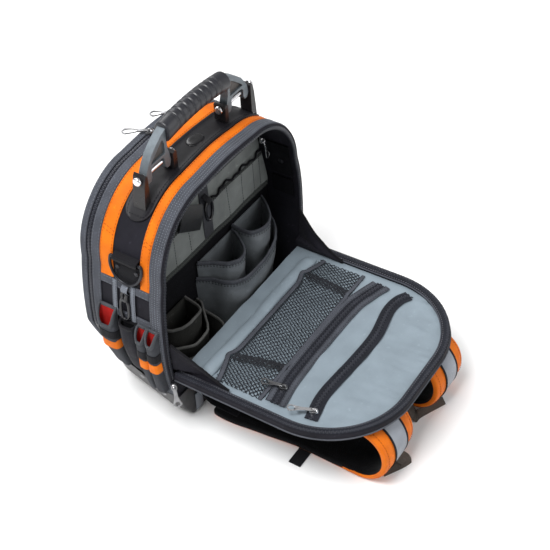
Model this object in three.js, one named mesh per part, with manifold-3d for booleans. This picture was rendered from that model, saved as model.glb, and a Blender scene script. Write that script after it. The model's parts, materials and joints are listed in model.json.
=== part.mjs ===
// An open tool backpack: moulded base, arched body, carry handle, pockets, and a back panel laid open.
// Millimetres. +Z is up and +Y points from the open back towards the front pouch. The origin is on the
// underside of the base tray, midway between its sides and below the middle of the body band.
import * as THREE from "three";
import { mergeVertices } from "three/addons/utils/BufferGeometryUtils.js";
import Module from "manifold-3d";

// Body band
const BODY_HALF_WIDTH = 170;
const BODY_TOP = 389;
const SHOULDER_RADIUS = 107.8;
const TOP_CROWN = 3;
const RIM_Y = -60;
const BODY_DEPTH = 119.6;
const CLOTH = 2.5;
const GAP = 0.3;
const LAYER_GAP = 0.6;
const ROUND_SIDES = 16;
const WIRE_SIDES = 6;
const FRONT_TUCK = 22;
const TUCK_TOP = 165;

// Strips laid over the body band, each from its own rear edge
const REAR_STRIP_WIDTH = 19.8;
const REAR_BAND_WIDTH = 15.7;
const FRONT_BAND_WIDTH = 22.7;
const FRONT_STRIP_WIDTH = 15.2;
const BAND_THICKNESS = 1.4;
const STRIP_THICKNESS = 1.8;
const BAND_END_DROP = 14.2;
const RIM_TAPE_WIDTH = 8;
const RIM_TAPE_THICKNESS = 1.6;
const RIM_TAPE_END_Z = 106;
const WEBBING_HEIGHT = 13;
const LOWER_WEBBING_DROP = 77.2;

// Front door and pouch
const FRONT_ZIP_WIDTH = 9;
const FRONT_ZIP_WALL = 2;
const DOOR_STRIP_WIDTH = 10.8;
const DOOR_STRIP_WALL = 2.2;
const DOOR_END_Z = 108;
const DOOR_THICKNESS = 3;
const POUCH_DEPTH = 36;
const POUCH_HALF_WIDTH = 130;
const POUCH_TOP_DROP = 44;
const POUCH_BOTTOM = 14;
const POUCH_CLOTH = 2.5;
const POUCH_ROOM = 3.6;

// Base tray
const TRAY_HEIGHT = 66;
const TRAY_WALL = 3;
const TRAY_FRONT_Y = 131;
const TRAY_ROUNDING = 7;
const TRAY_CORNER = 3.5;
const TRAY_FRONT_LEAN = 0.6;

// Lower back panel and flap (the back panel laid open)
const LOWER_PANEL_THICKNESS = 2.6;
const LOWER_PANEL_TOP = 104;
const FLAP_HEIGHT = 115.4;
const FLAP_TILT_DEG = 1.3;
const FLAP_HALF_WIDTH = 174;
const FLAP_LENGTH = 316;
const FLAP_CORNER = 129.8;
const FLAP_RIM_WIDTH = 13;
const FLAP_RIM_HEIGHT = 14;
const LINING_DEPTH = 7;
const FLAP_BOARD = 3.5;
const BACK_PAD_THICKNESS = 24;
const BACK_PAD_HALF_WIDTH = 122;
const BACK_PAD_START = 14;
const BACK_PAD_END = 236;
const BACK_PAD_CORNER = 30;
const LINING_ROLL_HEIGHT = 8;
const LINING_ROLL_WIDTH = 23;
const LINING_ROLL_START = 25;
const MESH_START = 51;
const MESH_END = 134;
const MESH_HALF_WIDTH = 144;
const MESH_BULGE = 7;
const MESH_THICKNESS = 1.4;
const MESH_COLUMNS = 10;
const ZIP_TAPE_WIDTH = 15;
const ZIP_TAPE_THICKNESS = 1.8;
const NEAR_ZIP_Y = 146;
const FAR_ZIP_Y = 207;
const ZIP_HALF_LENGTH = 143;
const PULL_PITCH_DEG = 8;
const PULL_WIDTH = 8.8;
const PULL_THICKNESS = 2;
const SLIDER_HEIGHT = 5;
const FRONT_PULL_PITCH_DEG = 39;
const RIM_PULL_LENGTH = 42;
const RIM_PULL_Z = 101;
const RIM_PULL_CLEARANCE = 2;
const PULL_LENGTH = 44;
const GUSSET_THICKNESS = 1.5;
const GUSSET_HEIGHT = 66;
const GUSSET_REACH = 88;

// Shoulder straps, folded under the flap
const STRAP_WIDTH = 80;
const STRAP_THICKNESS = 13;
const STRAP_CENTRE = 78;
const STRAP_LOOP_Y = -384;
const STRAP_LOOP_DEPTH = 49;
const STRAP_END_Y = -92;
const STRAP_SPREAD = 17;
const STRAP_SPREAD_LENGTH = 140;
const STRAP_ANCHOR = 34;
const LOWER_WEBBING_WIDTH = 25;
const LOWER_WEBBING_THICKNESS = 2;
const LOWER_WEBBING_SHIFT = 16;
const LOWER_WEBBING_LAP = 40;
const LOWER_WEBBING_RISE = 34;

// Carry handle
const HANDLE_Y = -4;
const PIVOT_RISE = 23.5;
const PAD_WIDTH = 45;
const PAD_THICKNESS = 3;
const PAD_END_ANGLE_DEG = 43;
const HANDLE_X = 4;
const GRIP_RISE = 47.5;
const GRIP_RADIUS = 15;
const GRIP_HALF_LENGTH = 71;
const GRIP_BOW = 6;
const GRIP_RIBS = 7;
const END_THICKNESS = 13;
const WEB_THICKNESS = 5;
const LEG_INNER_X = 66;
const LEG_OUTER_X = 121;
const LEG_WIDTH = 13;
const LEG_DROP = 11;
const WEB_DROP = 10;
const AXLE_RADIUS = 4;
const AXLE_CLEARANCE = 0.5;
const BOLT_HEAD_RADIUS = 6.5;
const BOLT_HEAD_THICKNESS = 4;
const POST_THICKNESS = 8;
const POST_WIDTH = 20;
const POST_TOP = 9;
const OUTER_POST_FOOT = 5;
const BOSS_RADIUS = 13;
const BOSS_HEIGHT = 2.4;

// Left side hardware and pockets
const RING_RISE = 25.8;
const RING_WIRE = 2.2;
const RING_HALF_WIDTH = 26;
const RING_DROP = 37;
const RING_LEAN_DEG = 10;
const TUNNEL_HALF_WIDTH = 21;
const TUNNEL_OVER = 4.2;
const TUNNEL_CLEARANCE = 0.5;
const TUNNEL_PLATE = 2.4;
const TUNNEL_PLATE_DROP = 12.7;
const RING_Y = -3;
const HOOK_Y = -0.5;
const HOOK_TOP_DROP = 25.2;
const HOOK_LENGTH = 48;
const HOOK_RADIUS = 6.8;
const HOOK_WIRE = 2.8;
const SIDE_POCKET_BACK = 3.1;
const SIDE_POCKET_WALL = 1.6;
const SHEATH_HALF_WIDTH = 14;
const SHEATH_DEPTH = 13;
const SHEATH_TOP_DROP = 78.2;
const SHEATH_BOTTOM_Z = 108;
const WIDE_POCKET_HALF_WIDTH = 15;
const WIDE_POCKET_DIP = 28;
const NARROW_POCKET_HALF_WIDTH = 8.6;
const NARROW_POCKET_DIP = 20;
const WIDE_POCKET_SPACE = 7.5;
const WIDE_POCKET_TOP_DROP = 65.2;
const WIDE_POCKET_BOTTOM_Z = 96;
const NARROW_POCKET_SPACE = 0.6;
const NARROW_POCKET_TOP_DROP = 77.2;
const NARROW_POCKET_BOTTOM_Z = 84;
const TOOL_POCKET_DEPTH = 14;
const TOOL_POCKET_TAPER = 0.3;
const SHEATH_TAPER = 0.45;
const SHEATH_DIP = 3;
const SHEATH_Y = -5;

// Inside
const DIVIDER_Y = 3;
const DIVIDER_THICKNESS = 2.5;
const INNER_MARGIN = 0.6;
const ORGANISER_BOTTOM = 214;
const ORGANISER_TOP_DROP = 21;
const ORGANISER_MARGIN = 14;
const ORGANISER_THICKNESS = 10;
const VINYL = 1.8;
const POCKET_FOOT_TAPER = 0.16;
const POCKET_DIP = 8;
const KEY_CLIP_LENGTH = 40;
const KEY_CLIP_RADIUS = 8;
const KEY_CLIP_WIRE = 2.6;
const KEY_CLIP_X = 11;
const KEY_CLIP_Z = 290;

// Body side, from the floor of the body to the shoulder. height is a share of the shoulder's height, half is
// a share of the body's half width.
const SIDE_ROWS = [
  { height: 0.0, half: 0.825 },
  { height: 0.04, half: 0.872 },
  { height: 0.085, half: 0.925 },
  { height: 0.235, half: 1.0 },
  { height: 0.41, half: 1.056 },
  { height: 0.587, half: 1.074 },
  { height: 0.765, half: 1.062 },
  { height: 0.903, half: 1.034 },
  { height: 1.0, half: 1.0 },
];
const ARC_STEPS = 9;
const CROWN_STEPS = 2;

// Plan of the tray in front of the body band. depth is a share of the way from the band's front to the
// tray's front, half is a share of the tray's half width at the band's front.
const TRAY_FRONT_ROWS = [
  { depth: 0.18, half: 0.965 },
  { depth: 0.38, half: 0.915 },
  { depth: 0.6, half: 0.83 },
  { depth: 0.79, half: 0.7 },
  { depth: 0.92, half: 0.52 },
  { depth: 0.985, half: 0.27 },
  { depth: 1.0, half: 0.0 },
];

// Front pouch outline: height, half and depth are shares of its height, half width and depth.
const POUCH_ROWS = [
  { height: 0.0, half: 0.8, depth: 0.45 },
  { height: 0.08, half: 0.88, depth: 0.62 },
  { height: 0.161, half: 0.92, depth: 0.76 },
  { height: 0.25, half: 0.95, depth: 0.95 },
  { height: 0.45, half: 1.0, depth: 1 },
  { height: 0.7, half: 1.0, depth: 1 },
  { height: 0.84, half: 0.99, depth: 1 },
  { height: 0.94, half: 0.91, depth: 0.96 },
  { height: 0.985, half: 0.79, depth: 0.93 },
  { height: 1.0, half: 0.62, depth: 0.92 },
];

// Pouch rings from the door outwards: depth and inset are shares of its depth, inset taken off all round.
const POUCH_RINGS = [
  { depth: 0, inset: 0.083 },
  { depth: 0.3, inset: 0 },
  { depth: 0.72, inset: 0.111 },
  { depth: 0.92, inset: 0.361 },
  { depth: 1, inset: 0.833 },
];

// Plan of a pocket on the left side: across is a share of its half width, out a share of its depth, and dip
// is the share of the mouth's dip at that place.
const SIDE_CUP_PLAN = [
  { across: -1, out: 0, dip: 0 },
  { across: 1, out: 0, dip: 0 },
  { across: 0.96, out: 0.62, dip: 0.25 },
  { across: 0.55, out: 1, dip: 1 },
  { across: -0.55, out: 1, dip: 1 },
  { across: -0.96, out: 0.62, dip: 0.25 },
];

// Plans of the pockets hung on the divider: across is a share of the pocket's width from the left, belly a
// share of its depth.
const BIG_POCKET_PLAN = [
  { across: 0, belly: 0 },
  { across: 0.07, belly: 0.3 },
  { across: 0.12, belly: 0.7 },
  { across: 0.23, belly: 0.95 },
  { across: 0.36, belly: 1 },
  { across: 0.52, belly: 0.99 },
  { across: 0.71, belly: 0.88 },
  { across: 0.87, belly: 0.66 },
  { across: 0.98, belly: 0.3 },
  { across: 1, belly: 0 },
];
const LEFT_VINYL_PLAN = [
  { across: 0, belly: 0 },
  { across: 0.18, belly: 0.4 },
  { across: 0.3, belly: 0.8 },
  { across: 0.45, belly: 0.98 },
  { across: 0.62, belly: 1 },
  { across: 0.78, belly: 0.84 },
  { across: 0.86, belly: 0.6 },
  { across: 0.97, belly: 0.25 },
  { across: 1, belly: 0 },
];
const RIGHT_VINYL_PLAN = [
  { across: 0, belly: 0 },
  { across: 0.02, belly: 0.5 },
  { across: 0.11, belly: 0.86 },
  { across: 0.3, belly: 1 },
  { across: 0.53, belly: 0.95 },
  { across: 0.7, belly: 0.77 },
  { across: 0.86, belly: 0.43 },
  { across: 1, belly: 0 },
];
const DARK_POCKET_PLAN = [
  { across: 0, belly: 0 },
  { across: 0.03, belly: 0.5 },
  { across: 0.17, belly: 0.78 },
  { across: 0.32, belly: 0.98 },
  { across: 0.5, belly: 1 },
  { across: 0.68, belly: 0.87 },
  { across: 0.82, belly: 0.55 },
  { across: 0.98, belly: 0.2 },
  { across: 1, belly: 0 },
];
const FRONT_DARK_PLAN = [
  { across: 0, belly: 0 },
  { across: 0.03, belly: 0.5 },
  { across: 0.2, belly: 0.84 },
  { across: 0.4, belly: 0.98 },
  { across: 0.66, belly: 1 },
  { across: 0.9, belly: 0.97 },
  { across: 0.99, belly: 0.7 },
  { across: 1, belly: 0 },
];

// Organiser panel from its foot: height is a share of its height, thick a share of its thickness.
const ORGANISER_ROWS = [
  { height: 0, thick: 0.9 },
  { height: 0.05, thick: 1 },
  { height: 0.42, thick: 0.8 },
  { height: 0.45, thick: 0.5 },
  { height: 0.73, thick: 0.4 },
  { height: 0.76, thick: 0.25 },
  { height: 1, thick: 0.2 },
];

// Each inner pocket hung below the organiser. depth is a share of the room behind the rim, height a share
// of the organiser's foot, left and right shares of the body's half width. layer counts the sheets that
// lie between its back and the divider.
const INNER_POCKETS = [
  { name: "vinyl_pocket_big", look: "vinyl", plan: BIG_POCKET_PLAN, layer: 0, depth: 1,
    mouth: { height: 0.706, left: -0.135, right: 0.965 },
    foot: { height: 0.056, left: -0.082, right: 0.747 } },
  { name: "vinyl_pocket_left", look: "vinyl", plan: LEFT_VINYL_PLAN, layer: 1, depth: 0.746,
    mouth: { height: 0.846, left: -0.112, right: 0.429 },
    foot: { height: 0.308, left: -0.071, right: 0.4 } },
  { name: "vinyl_pocket_right", look: "vinyl", plan: RIGHT_VINYL_PLAN, layer: 1, depth: 0.698,
    mouth: { height: 0.879, left: 0.433, right: 0.929 },
    foot: { height: 0.308, left: 0.435, right: 0.841 } },
  { name: "dark_pocket_front", look: "dark_pocket", plan: FRONT_DARK_PLAN, layer: 0, depth: 0.976,
    mouth: { height: 0.444, left: -0.835, right: -0.147 },
    foot: { height: 0.056, left: -0.718, right: -0.159 } },
  { name: "dark_pocket_middle", look: "dark_pocket", plan: DARK_POCKET_PLAN, layer: 1, depth: 0.857,
    mouth: { height: 0.542, left: -0.806, right: -0.165 },
    foot: { height: 0.131, left: -0.706, right: -0.182 } },
  { name: "dark_pocket_rear", look: "dark_pocket", plan: FRONT_DARK_PLAN, layer: 2, depth: 0.571,
    mouth: { height: 0.682, left: -0.765, right: -0.341 },
    foot: { height: 0.196, left: -0.676, right: -0.353 } },
];

// Sliders on the two sides of the front zip: across is a share of the body's half width, length a share of
// the pull's length.
const FRONT_PULLS = [
  { label: "left", across: -0.07, length: 1 },
  { label: "right", across: 0.224, length: 0.727 },
];

// Zip tapes on the flap: across is a share of the half length, away a share of the tape's width that it bends
// from its line, away from the hinge.
const NEAR_ZIP_ROWS = [
  { across: -1, away: 0.467 },
  { across: -0.6, away: 0 },
  { across: 0, away: -0.067 },
  { across: 0.55, away: 0.067 },
  { across: 0.8, away: 0.6 },
  { across: 1, away: 1.2 },
];
const FAR_ZIP_ROWS = [
  { across: -1, away: 0.333 },
  { across: -0.65, away: -0.2 },
  { across: -0.1, away: 0.133 },
  { across: 0.3, away: 0.2 },
  { across: 0.68, away: -0.4 },
  { across: 0.88, away: -0.267 },
  { across: 1, away: 0.333 },
];

// Sliders on the flap's zip tapes: across is a share of the tape's half length, length a share of the pull's
// length, and turn is the way that the pull points.
const FLAP_PULLS = [
  { label: "near", tapeY: NEAR_ZIP_Y, rows: NEAR_ZIP_ROWS, across: -0.797, length: 0.705, turn: 109 },
  { label: "far", tapeY: FAR_ZIP_Y, rows: FAR_ZIP_ROWS, across: -0.916, length: 0.818, turn: 119 },
];

// Fold of lining along the hinge: across is a share of its half length, full a share of its height.
const LINING_ROLL_ROWS = [
  { across: -1, full: 0.5 },
  { across: -0.93, full: 1 },
  { across: 0, full: 0.92 },
  { across: 0.93, full: 1 },
  { across: 1, full: 0.5 },
];

// Mesh pocket from its open edge to its sewn edge: along is a share of its depth, lift a share of its bulge.
const MESH_ROWS = [
  { along: 0, lift: 0.85 },
  { along: 0.12, lift: 1 },
  { along: 0.45, lift: 0.9 },
  { along: 0.8, lift: 0.45 },
  { along: 1, lift: 0 },
];

// Back pad from the flap down: drop is a share of its thickness, inset a share of its corner, taken off
// all round.
const BACK_PAD_ROWS = [
  { drop: 0, inset: 0 },
  { drop: 0.6, inset: 0 },
  { drop: 0.9, inset: 0.167 },
  { drop: 1, inset: 0.467 },
];

// Lower face of a strap's webbing from its lap on the strap to the tray's back: along is a share of that way,
// rise a share of how high it climbs.
const LOWER_WEBBING_ROWS = [
  { along: 0, rise: 0 },
  { along: 0.52, rise: 0 },
  { along: 0.74, rise: 0.04 },
  { along: 0.92, rise: 0.3 },
  { along: 1, rise: 0.62 },
  { along: 1, rise: 1 },
];

// Fold in each side gusset: reach and inwards are shares of its reach, height a share of its height.
const GUSSET_FOLDS = {
  left: { reach: 0.36, height: 0.85, inwards: 0.045 },
  right: { reach: 0.2, height: 0.55, inwards: 0.068 },
};

const LOOKS = {
  tray: { color: 0x2b2b2e, roughness: 0.62, metalness: 0 },
  black_cloth: { color: 0x24242a, roughness: 0.9, metalness: 0 },
  orange: { color: 0xff7a1e, roughness: 0.7, metalness: 0 },
  grey_web: { color: 0x6b7078, roughness: 0.85, metalness: 0 },
  zip_black: { color: 0x1c1c20, roughness: 0.8, metalness: 0 },
  lining: { color: 0x93a6b4, roughness: 0.8, metalness: 0 },
  vinyl: { color: 0x6e757a, roughness: 0.55, metalness: 0 },
  organiser: { color: 0x848c8a, roughness: 0.7, metalness: 0 },
  dark_pocket: { color: 0x3c3c3e, roughness: 0.85, metalness: 0 },
  moulded: { color: 0x232327, roughness: 0.5, metalness: 0 },
  rubber: { color: 0x2a2b30, roughness: 0.55, metalness: 0 },
  grey_metal: { color: 0x6d7a84, roughness: 0.45, metalness: 0.3 },
  steel: { color: 0xc8c8cc, roughness: 0.25, metalness: 1 },
  ring_black: { color: 0x2e2f33, roughness: 0.35, metalness: 0.4 },
  strap_black: { color: 0x1a1a1e, roughness: 0.9, metalness: 0 },
};

const wasm = await Module();
wasm.setup();
const root = new THREE.Group();

// Worked out from the sizes above
const SHOULDER_Z = BODY_TOP - SHOULDER_RADIUS;
const PIVOT_Z = BODY_TOP + PIVOT_RISE;
const RING_Z = SHOULDER_Z + RING_RISE;
const TUNNEL_PLATE_END_Z = SHOULDER_Z - TUNNEL_PLATE_DROP;
const BAND_END_Z = SHOULDER_Z - BAND_END_DROP;
const HOOK_TOP_Z = SHOULDER_Z - HOOK_TOP_DROP;
const LOWER_WEBBING_Z = SHOULDER_Z - LOWER_WEBBING_DROP;
const SHEATH_TOP_Z = SHOULDER_Z - SHEATH_TOP_DROP;
const WIDE_POCKET_TOP_Z = SHOULDER_Z - WIDE_POCKET_TOP_DROP;
const NARROW_POCKET_TOP_Z = SHOULDER_Z - NARROW_POCKET_TOP_DROP;
const POUCH_TOP = BODY_TOP - POUCH_TOP_DROP;
const ORGANISER_TOP = BODY_TOP - ORGANISER_TOP_DROP;
const INNER_DEPTH = DIVIDER_Y - RIM_Y;
const BAND_FRONT_Y = RIM_Y + BODY_DEPTH;
const FLOOR_Z = TRAY_WALL + GAP;
const REAR_BAND_Y = RIM_Y + REAR_STRIP_WIDTH;
const CENTRE_Y = REAR_BAND_Y + REAR_BAND_WIDTH;
const FRONT_STRIP_Y = BAND_FRONT_Y - FRONT_STRIP_WIDTH;
const FRONT_BAND_Y = FRONT_STRIP_Y - FRONT_BAND_WIDTH;
const DOOR_STRIP_Y = BAND_FRONT_Y + FRONT_ZIP_WIDTH + 2 * GAP;
const DOOR_Y = DOOR_STRIP_Y + DOOR_STRIP_WIDTH - DOOR_THICKNESS - GAP;
const PAD_TOP = LAYER_GAP + PAD_THICKNESS;
const LOWER_PANEL_Y = RIM_Y - GAP - LOWER_PANEL_THICKNESS;
const TRAY_BACK_Y = LOWER_PANEL_Y - GAP - TRAY_WALL;
const FLAP_Y = LOWER_PANEL_Y - GAP;
const BODY_FLOOR_Z = FLOOR_Z + CLOTH;
const STRIP_FOOT_Z = TRAY_HEIGHT + GAP + LAYER_GAP;

function add(name, geometry, look, parent = root) {
  const mesh = new THREE.Mesh(geometry, new THREE.MeshStandardMaterial(LOOKS[look]));
  mesh.name = name;
  parent.add(mesh);
  return mesh;
}

// Fan of triangles over a closed ring of points, seen along the ring's own normal.
function capTriangles(ring) {
  const normal = new THREE.Vector3();
  ring.forEach((p, i) => {
    const q = ring[(i + 1) % ring.length];
    normal.x += (p[1] - q[1]) * (p[2] + q[2]);
    normal.y += (p[2] - q[2]) * (p[0] + q[0]);
    normal.z += (p[0] - q[0]) * (p[1] + q[1]);
  });
  const size = [Math.abs(normal.x), Math.abs(normal.y), Math.abs(normal.z)];
  const drop = size.indexOf(Math.max(...size));
  const flat = ring.map((p) => new THREE.Vector2(p[(drop + 1) % 3], p[(drop + 2) % 3]));
  const turned = THREE.ShapeUtils.isClockWise(flat);
  return THREE.ShapeUtils.triangulateShape(flat, []).map((t) => (turned ? [t[0], t[2], t[1]] : t));
}

// Closed body through a row of rings that hold the same number of points. A closed row joins its last ring
// to its first, and any other row is capped at both ends.
function loft(rings, closed = false) {
  const count = rings[0].length;
  const index = [];
  const steps = closed ? rings.length : rings.length - 1;
  for (let i = 0; i < steps; i += 1) {
    const a = i * count;
    const b = ((i + 1) % rings.length) * count;
    for (let j = 0; j < count; j += 1) {
      const k = (j + 1) % count;
      index.push(a + j, b + j, b + k, a + j, b + k, a + k);
    }
  }
  if (!closed) {
    const last = (rings.length - 1) * count;
    const before = ringFacesForward(rings[0]);
    const after = ringFacesForward(rings[rings.length - 1]);
    capTriangles(rings[0]).forEach((t) => pushTriangle(index, t, 0, before));
    capTriangles(rings[rings.length - 1]).forEach((t) => pushTriangle(index, t, last, !after));
  }
  const geometry = new THREE.BufferGeometry();
  geometry.setAttribute("position", new THREE.Float32BufferAttribute(rings.flat(2), 3));
  geometry.setIndex(index);
  return outward(mergeVertices(geometry, 1e-4));
}

// True where the triangles that cap a ring run the same way round as the ring itself.
function ringFacesForward(ring) {
  const [first] = capTriangles(ring);
  const edges = [[first[0], first[1]], [first[1], first[2]], [first[2], first[0]]];
  return edges.some(([p, q]) => q === (p + 1) % ring.length);
}

function pushTriangle(index, t, base, reversed) {
  const [a, b, c] = t;
  if (reversed) index.push(base + a, base + b, base + c);
  else index.push(base + a, base + c, base + b);
}

// The same body with its triangles facing out and its normals worked out.
function outward(geometry) {
  const p = geometry.attributes.position;
  const ix = geometry.index;
  let volume = 0;
  const v = [new THREE.Vector3(), new THREE.Vector3(), new THREE.Vector3()];
  for (let i = 0; i < ix.count; i += 3) {
    v.forEach((point, k) => point.fromBufferAttribute(p, ix.getX(i + k)));
    volume += v[0].dot(v[1].cross(v[2]));
  }
  if (volume < 0) {
    for (let i = 0; i < ix.count; i += 3) {
      const keep = ix.getX(i + 1);
      ix.setX(i + 1, ix.getX(i + 2));
      ix.setX(i + 2, keep);
    }
  }
  geometry.computeVertexNormals();
  return geometry;
}

function toManifold(geometry) {
  const bare = geometry.clone();
  bare.deleteAttribute("normal");
  if (bare.attributes.uv) bare.deleteAttribute("uv");
  const merged = mergeVertices(bare, 1e-4);
  const mesh = new wasm.Mesh({
    numProp: 3,
    vertProperties: new Float32Array(merged.attributes.position.array),
    triVerts: new Uint32Array(merged.index.array),
  });
  return new wasm.Manifold(mesh);
}

function fromManifold(manifold) {
  const mesh = manifold.getMesh();
  const geometry = new THREE.BufferGeometry();
  geometry.setAttribute("position", new THREE.BufferAttribute(new Float32Array(mesh.vertProperties), 3));
  geometry.setIndex(new THREE.BufferAttribute(new Uint32Array(mesh.triVerts), 1));
  geometry.computeVertexNormals();
  return geometry;
}

// Half width of the body side at a height, straight between the rows of its table.
function sideHalf(z) {
  const share = (z - FLOOR_Z) / (SHOULDER_Z - FLOOR_Z);
  const upper = Math.max(1, SIDE_ROWS.findIndex((row) => row.height >= share));
  const [a, b] = [SIDE_ROWS[upper - 1], SIDE_ROWS[upper]];
  const t = Math.min(1, Math.max(0, (share - a.height) / (b.height - a.height)));
  return BODY_HALF_WIDTH * (a.half + t * (b.half - a.half));
}

function sideRowHeights() {
  return SIDE_ROWS.map((row) => FLOOR_Z + row.height * (SHOULDER_Z - FLOOR_Z));
}

// Points of the body outline seen along Y, from the left foot over the top to the right foot. Each holds its
// outward corner direction, scaled so that an offset moves both walls by that offset, and its tuck share.
function bodyOutline() {
  const left = sideRowHeights().map((z) => ({ x: -sideHalf(z), z }));
  const flat = BODY_HALF_WIDTH - SHOULDER_RADIUS;
  for (let i = 1; i <= ARC_STEPS; i += 1) {
    const angle = (i / ARC_STEPS) * (Math.PI / 2);
    const [across, up] = [SHOULDER_RADIUS * Math.cos(angle), SHOULDER_RADIUS * Math.sin(angle)];
    left.push({ x: -flat - across, z: SHOULDER_Z + up });
  }
  for (let i = 1; i < CROWN_STEPS; i += 1) {
    const t = 1 - i / CROWN_STEPS;
    left.push({ x: -flat * t, z: BODY_TOP + TOP_CROWN * (1 - t * t) });
  }
  const right = left.map((p) => ({ x: -p.x, z: p.z })).reverse();
  const points = [...left, { x: 0, z: BODY_TOP + TOP_CROWN }, ...right];
  return withCorners(points).map((p) => ({ ...p, fade: tuckFade(p.z) }));
}

// Share of the front tuck at a height: whole up to the first row above the tray, none above the tuck's top.
function tuckFade(z) {
  const wholeTo = sideRowHeights().find((height) => height > TRAY_HEIGHT);
  return Math.min(1, Math.max(0, (TUCK_TOP - z) / (TUCK_TOP - wholeTo)));
}

// Adds to each point of a closed outline the corner direction that keeps an offset's walls parallel.
function withCorners(points) {
  const turn = signedArea(points) > 0 ? 1 : -1;
  return points.map((p, i) => {
    const a = points[(i + points.length - 1) % points.length];
    const b = points[(i + 1) % points.length];
    const n1 = new THREE.Vector2(p.z - a.z, a.x - p.x).normalize().multiplyScalar(turn);
    const n2 = new THREE.Vector2(b.z - p.z, p.x - b.x).normalize().multiplyScalar(turn);
    const sum = n1.clone().add(n2);
    const scale = 2 / sum.lengthSq();
    return { x: p.x, z: p.z, mx: sum.x * scale, mz: sum.y * scale };
  });
}

function signedArea(points) {
  let area = 0;
  points.forEach((p, i) => {
    const q = points[(i + 1) % points.length];
    area += p.x * q.z - q.x * p.z;
  });
  return area / 2;
}

const OUTLINE = bodyOutline();

// Half width of the tray's plan at its top where the body band ends.
function trayFrontHalf() {
  return sideHalf(TRAY_HEIGHT) + GAP + TRAY_WALL - FRONT_TUCK;
}

// How far the side tucks in at a depth, at full share. In front of the band it follows the tray's plan.
function tuckAt(y) {
  if (y <= BAND_FRONT_Y) return (FRONT_TUCK * Math.max(0, y - REAR_BAND_Y)) / (BAND_FRONT_Y - REAR_BAND_Y);
  const share = (y - BAND_FRONT_Y) / (TRAY_FRONT_Y - BAND_FRONT_Y);
  const rows = [{ depth: 0, half: 1 }, ...TRAY_FRONT_ROWS];
  const upper = rows.findIndex((row) => row.depth >= share);
  const [a, b] = [rows[upper - 1], rows[upper]];
  const half = a.half + ((share - a.depth) / (b.depth - a.depth)) * (b.half - a.half);
  return FRONT_TUCK + (1 - half) * trayFrontHalf();
}

// A point of the body outline at a depth and an offset outwards from the cloth's outer face.
function place(v, y, offset) {
  return [v.x + v.mx * offset - Math.sign(v.x) * tuckAt(y) * v.fade, y, v.z + v.mz * offset];
}

// The stretch of the outline above a height, with its ends on the outline's own facets.
function runAbove(zEnd) {
  const out = [];
  OUTLINE.forEach((p, i) => {
    const before = OUTLINE[i - 1];
    if (before && (before.z < zEnd) !== (p.z < zEnd)) {
      const t = (zEnd - before.z) / (p.z - before.z);
      out.push(Object.fromEntries(Object.keys(p).map((k) => [k, before[k] + t * (p[k] - before[k])])));
    }
    if (p.z >= zEnd) out.push(p);
  });
  return out;
}

// Strip over the arch between two depths and two offsets, down to a height on both sides.
function archStrip(yFrom, yTo, low, high, zEnd) {
  return loft(runAbove(zEnd).map((v) => [
    place(v, yFrom, low), place(v, yTo, low), place(v, yTo, high), place(v, yFrom, high),
  ]));
}

// Plate with the body's outline between two heights, from one depth to another.
function archPlate(yFrom, yTo, offset, zLow, zHigh) {
  const points = zHigh < BODY_TOP ? between(zLow, zHigh) : runAbove(zLow);
  return loft([yFrom, yTo].map((y) => points.map((v) => place(v, y, offset))));
}

// Outline points between two heights: the left side upwards, then the right side downwards.
function between(zLow, zHigh) {
  const above = runAbove(zLow);
  const top = runAbove(zHigh);
  const half = above.length / 2;
  const left = above.slice(0, Math.ceil(half)).filter((v) => v.z < zHigh);
  const right = above.slice(Math.floor(half)).filter((v) => v.z < zHigh);
  return [...left, top[0], top[top.length - 1], ...right];
}

function buildBody() {
  const dividerMiddle = DIVIDER_Y + DIVIDER_THICKNESS / 2;
  const samples = [RIM_Y, REAR_BAND_Y, (REAR_BAND_Y + dividerMiddle) / 2, dividerMiddle, FRONT_STRIP_Y,
    BAND_FRONT_Y];
  add("body_shell", loft(OUTLINE.map((v) => [
    ...samples.map((y) => place(v, y, 0)),
    ...samples.map((y) => place(v, y, -CLOTH)).reverse(),
  ]), true), "black_cloth");
  const panel = archPlate(LOWER_PANEL_Y, RIM_Y - GAP, -INNER_MARGIN, FLOOR_Z + GAP, LOWER_PANEL_TOP);
  add("lower_back_panel", panel, "black_cloth");
  const lay = (thickness) => [LAYER_GAP, LAYER_GAP + thickness];
  const strips = [
    ["grey_strip_rear", RIM_Y, REAR_BAND_Y - GAP, STRIP_THICKNESS, STRIP_FOOT_Z, "grey_web"],
    ["orange_band_rear", REAR_BAND_Y, CENTRE_Y - GAP, BAND_THICKNESS, BAND_END_Z, "orange"],
    ["orange_band_front", FRONT_BAND_Y + GAP, FRONT_STRIP_Y, BAND_THICKNESS, BAND_END_Z, "orange"],
    ["grey_strip_front", FRONT_STRIP_Y + GAP, BAND_FRONT_Y, STRIP_THICKNESS, STRIP_FOOT_Z, "grey_web"],
  ];
  strips.forEach(([name, from, to, thick, end, look]) => {
    add(name, archStrip(from, to, ...lay(thick), end), look);
  });
  add("rim_zip_tape", archStrip(RIM_Y - GAP - RIM_TAPE_THICKNESS, RIM_Y - GAP, -RIM_TAPE_WIDTH, 0,
    RIM_TAPE_END_Z), "zip_black");
  const zipFrom = BAND_FRONT_Y + GAP;
  const zip = archStrip(zipFrom, zipFrom + FRONT_ZIP_WIDTH, -FRONT_ZIP_WALL, 0, DOOR_END_Z);
  add("front_zip_tape", zip, "zip_black");
  add("door_edge_strip", archStrip(DOOR_STRIP_Y, DOOR_STRIP_Y + DOOR_STRIP_WIDTH, -DOOR_STRIP_WALL / 2,
    DOOR_STRIP_WALL / 2, DOOR_END_Z), "grey_web");
}

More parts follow.
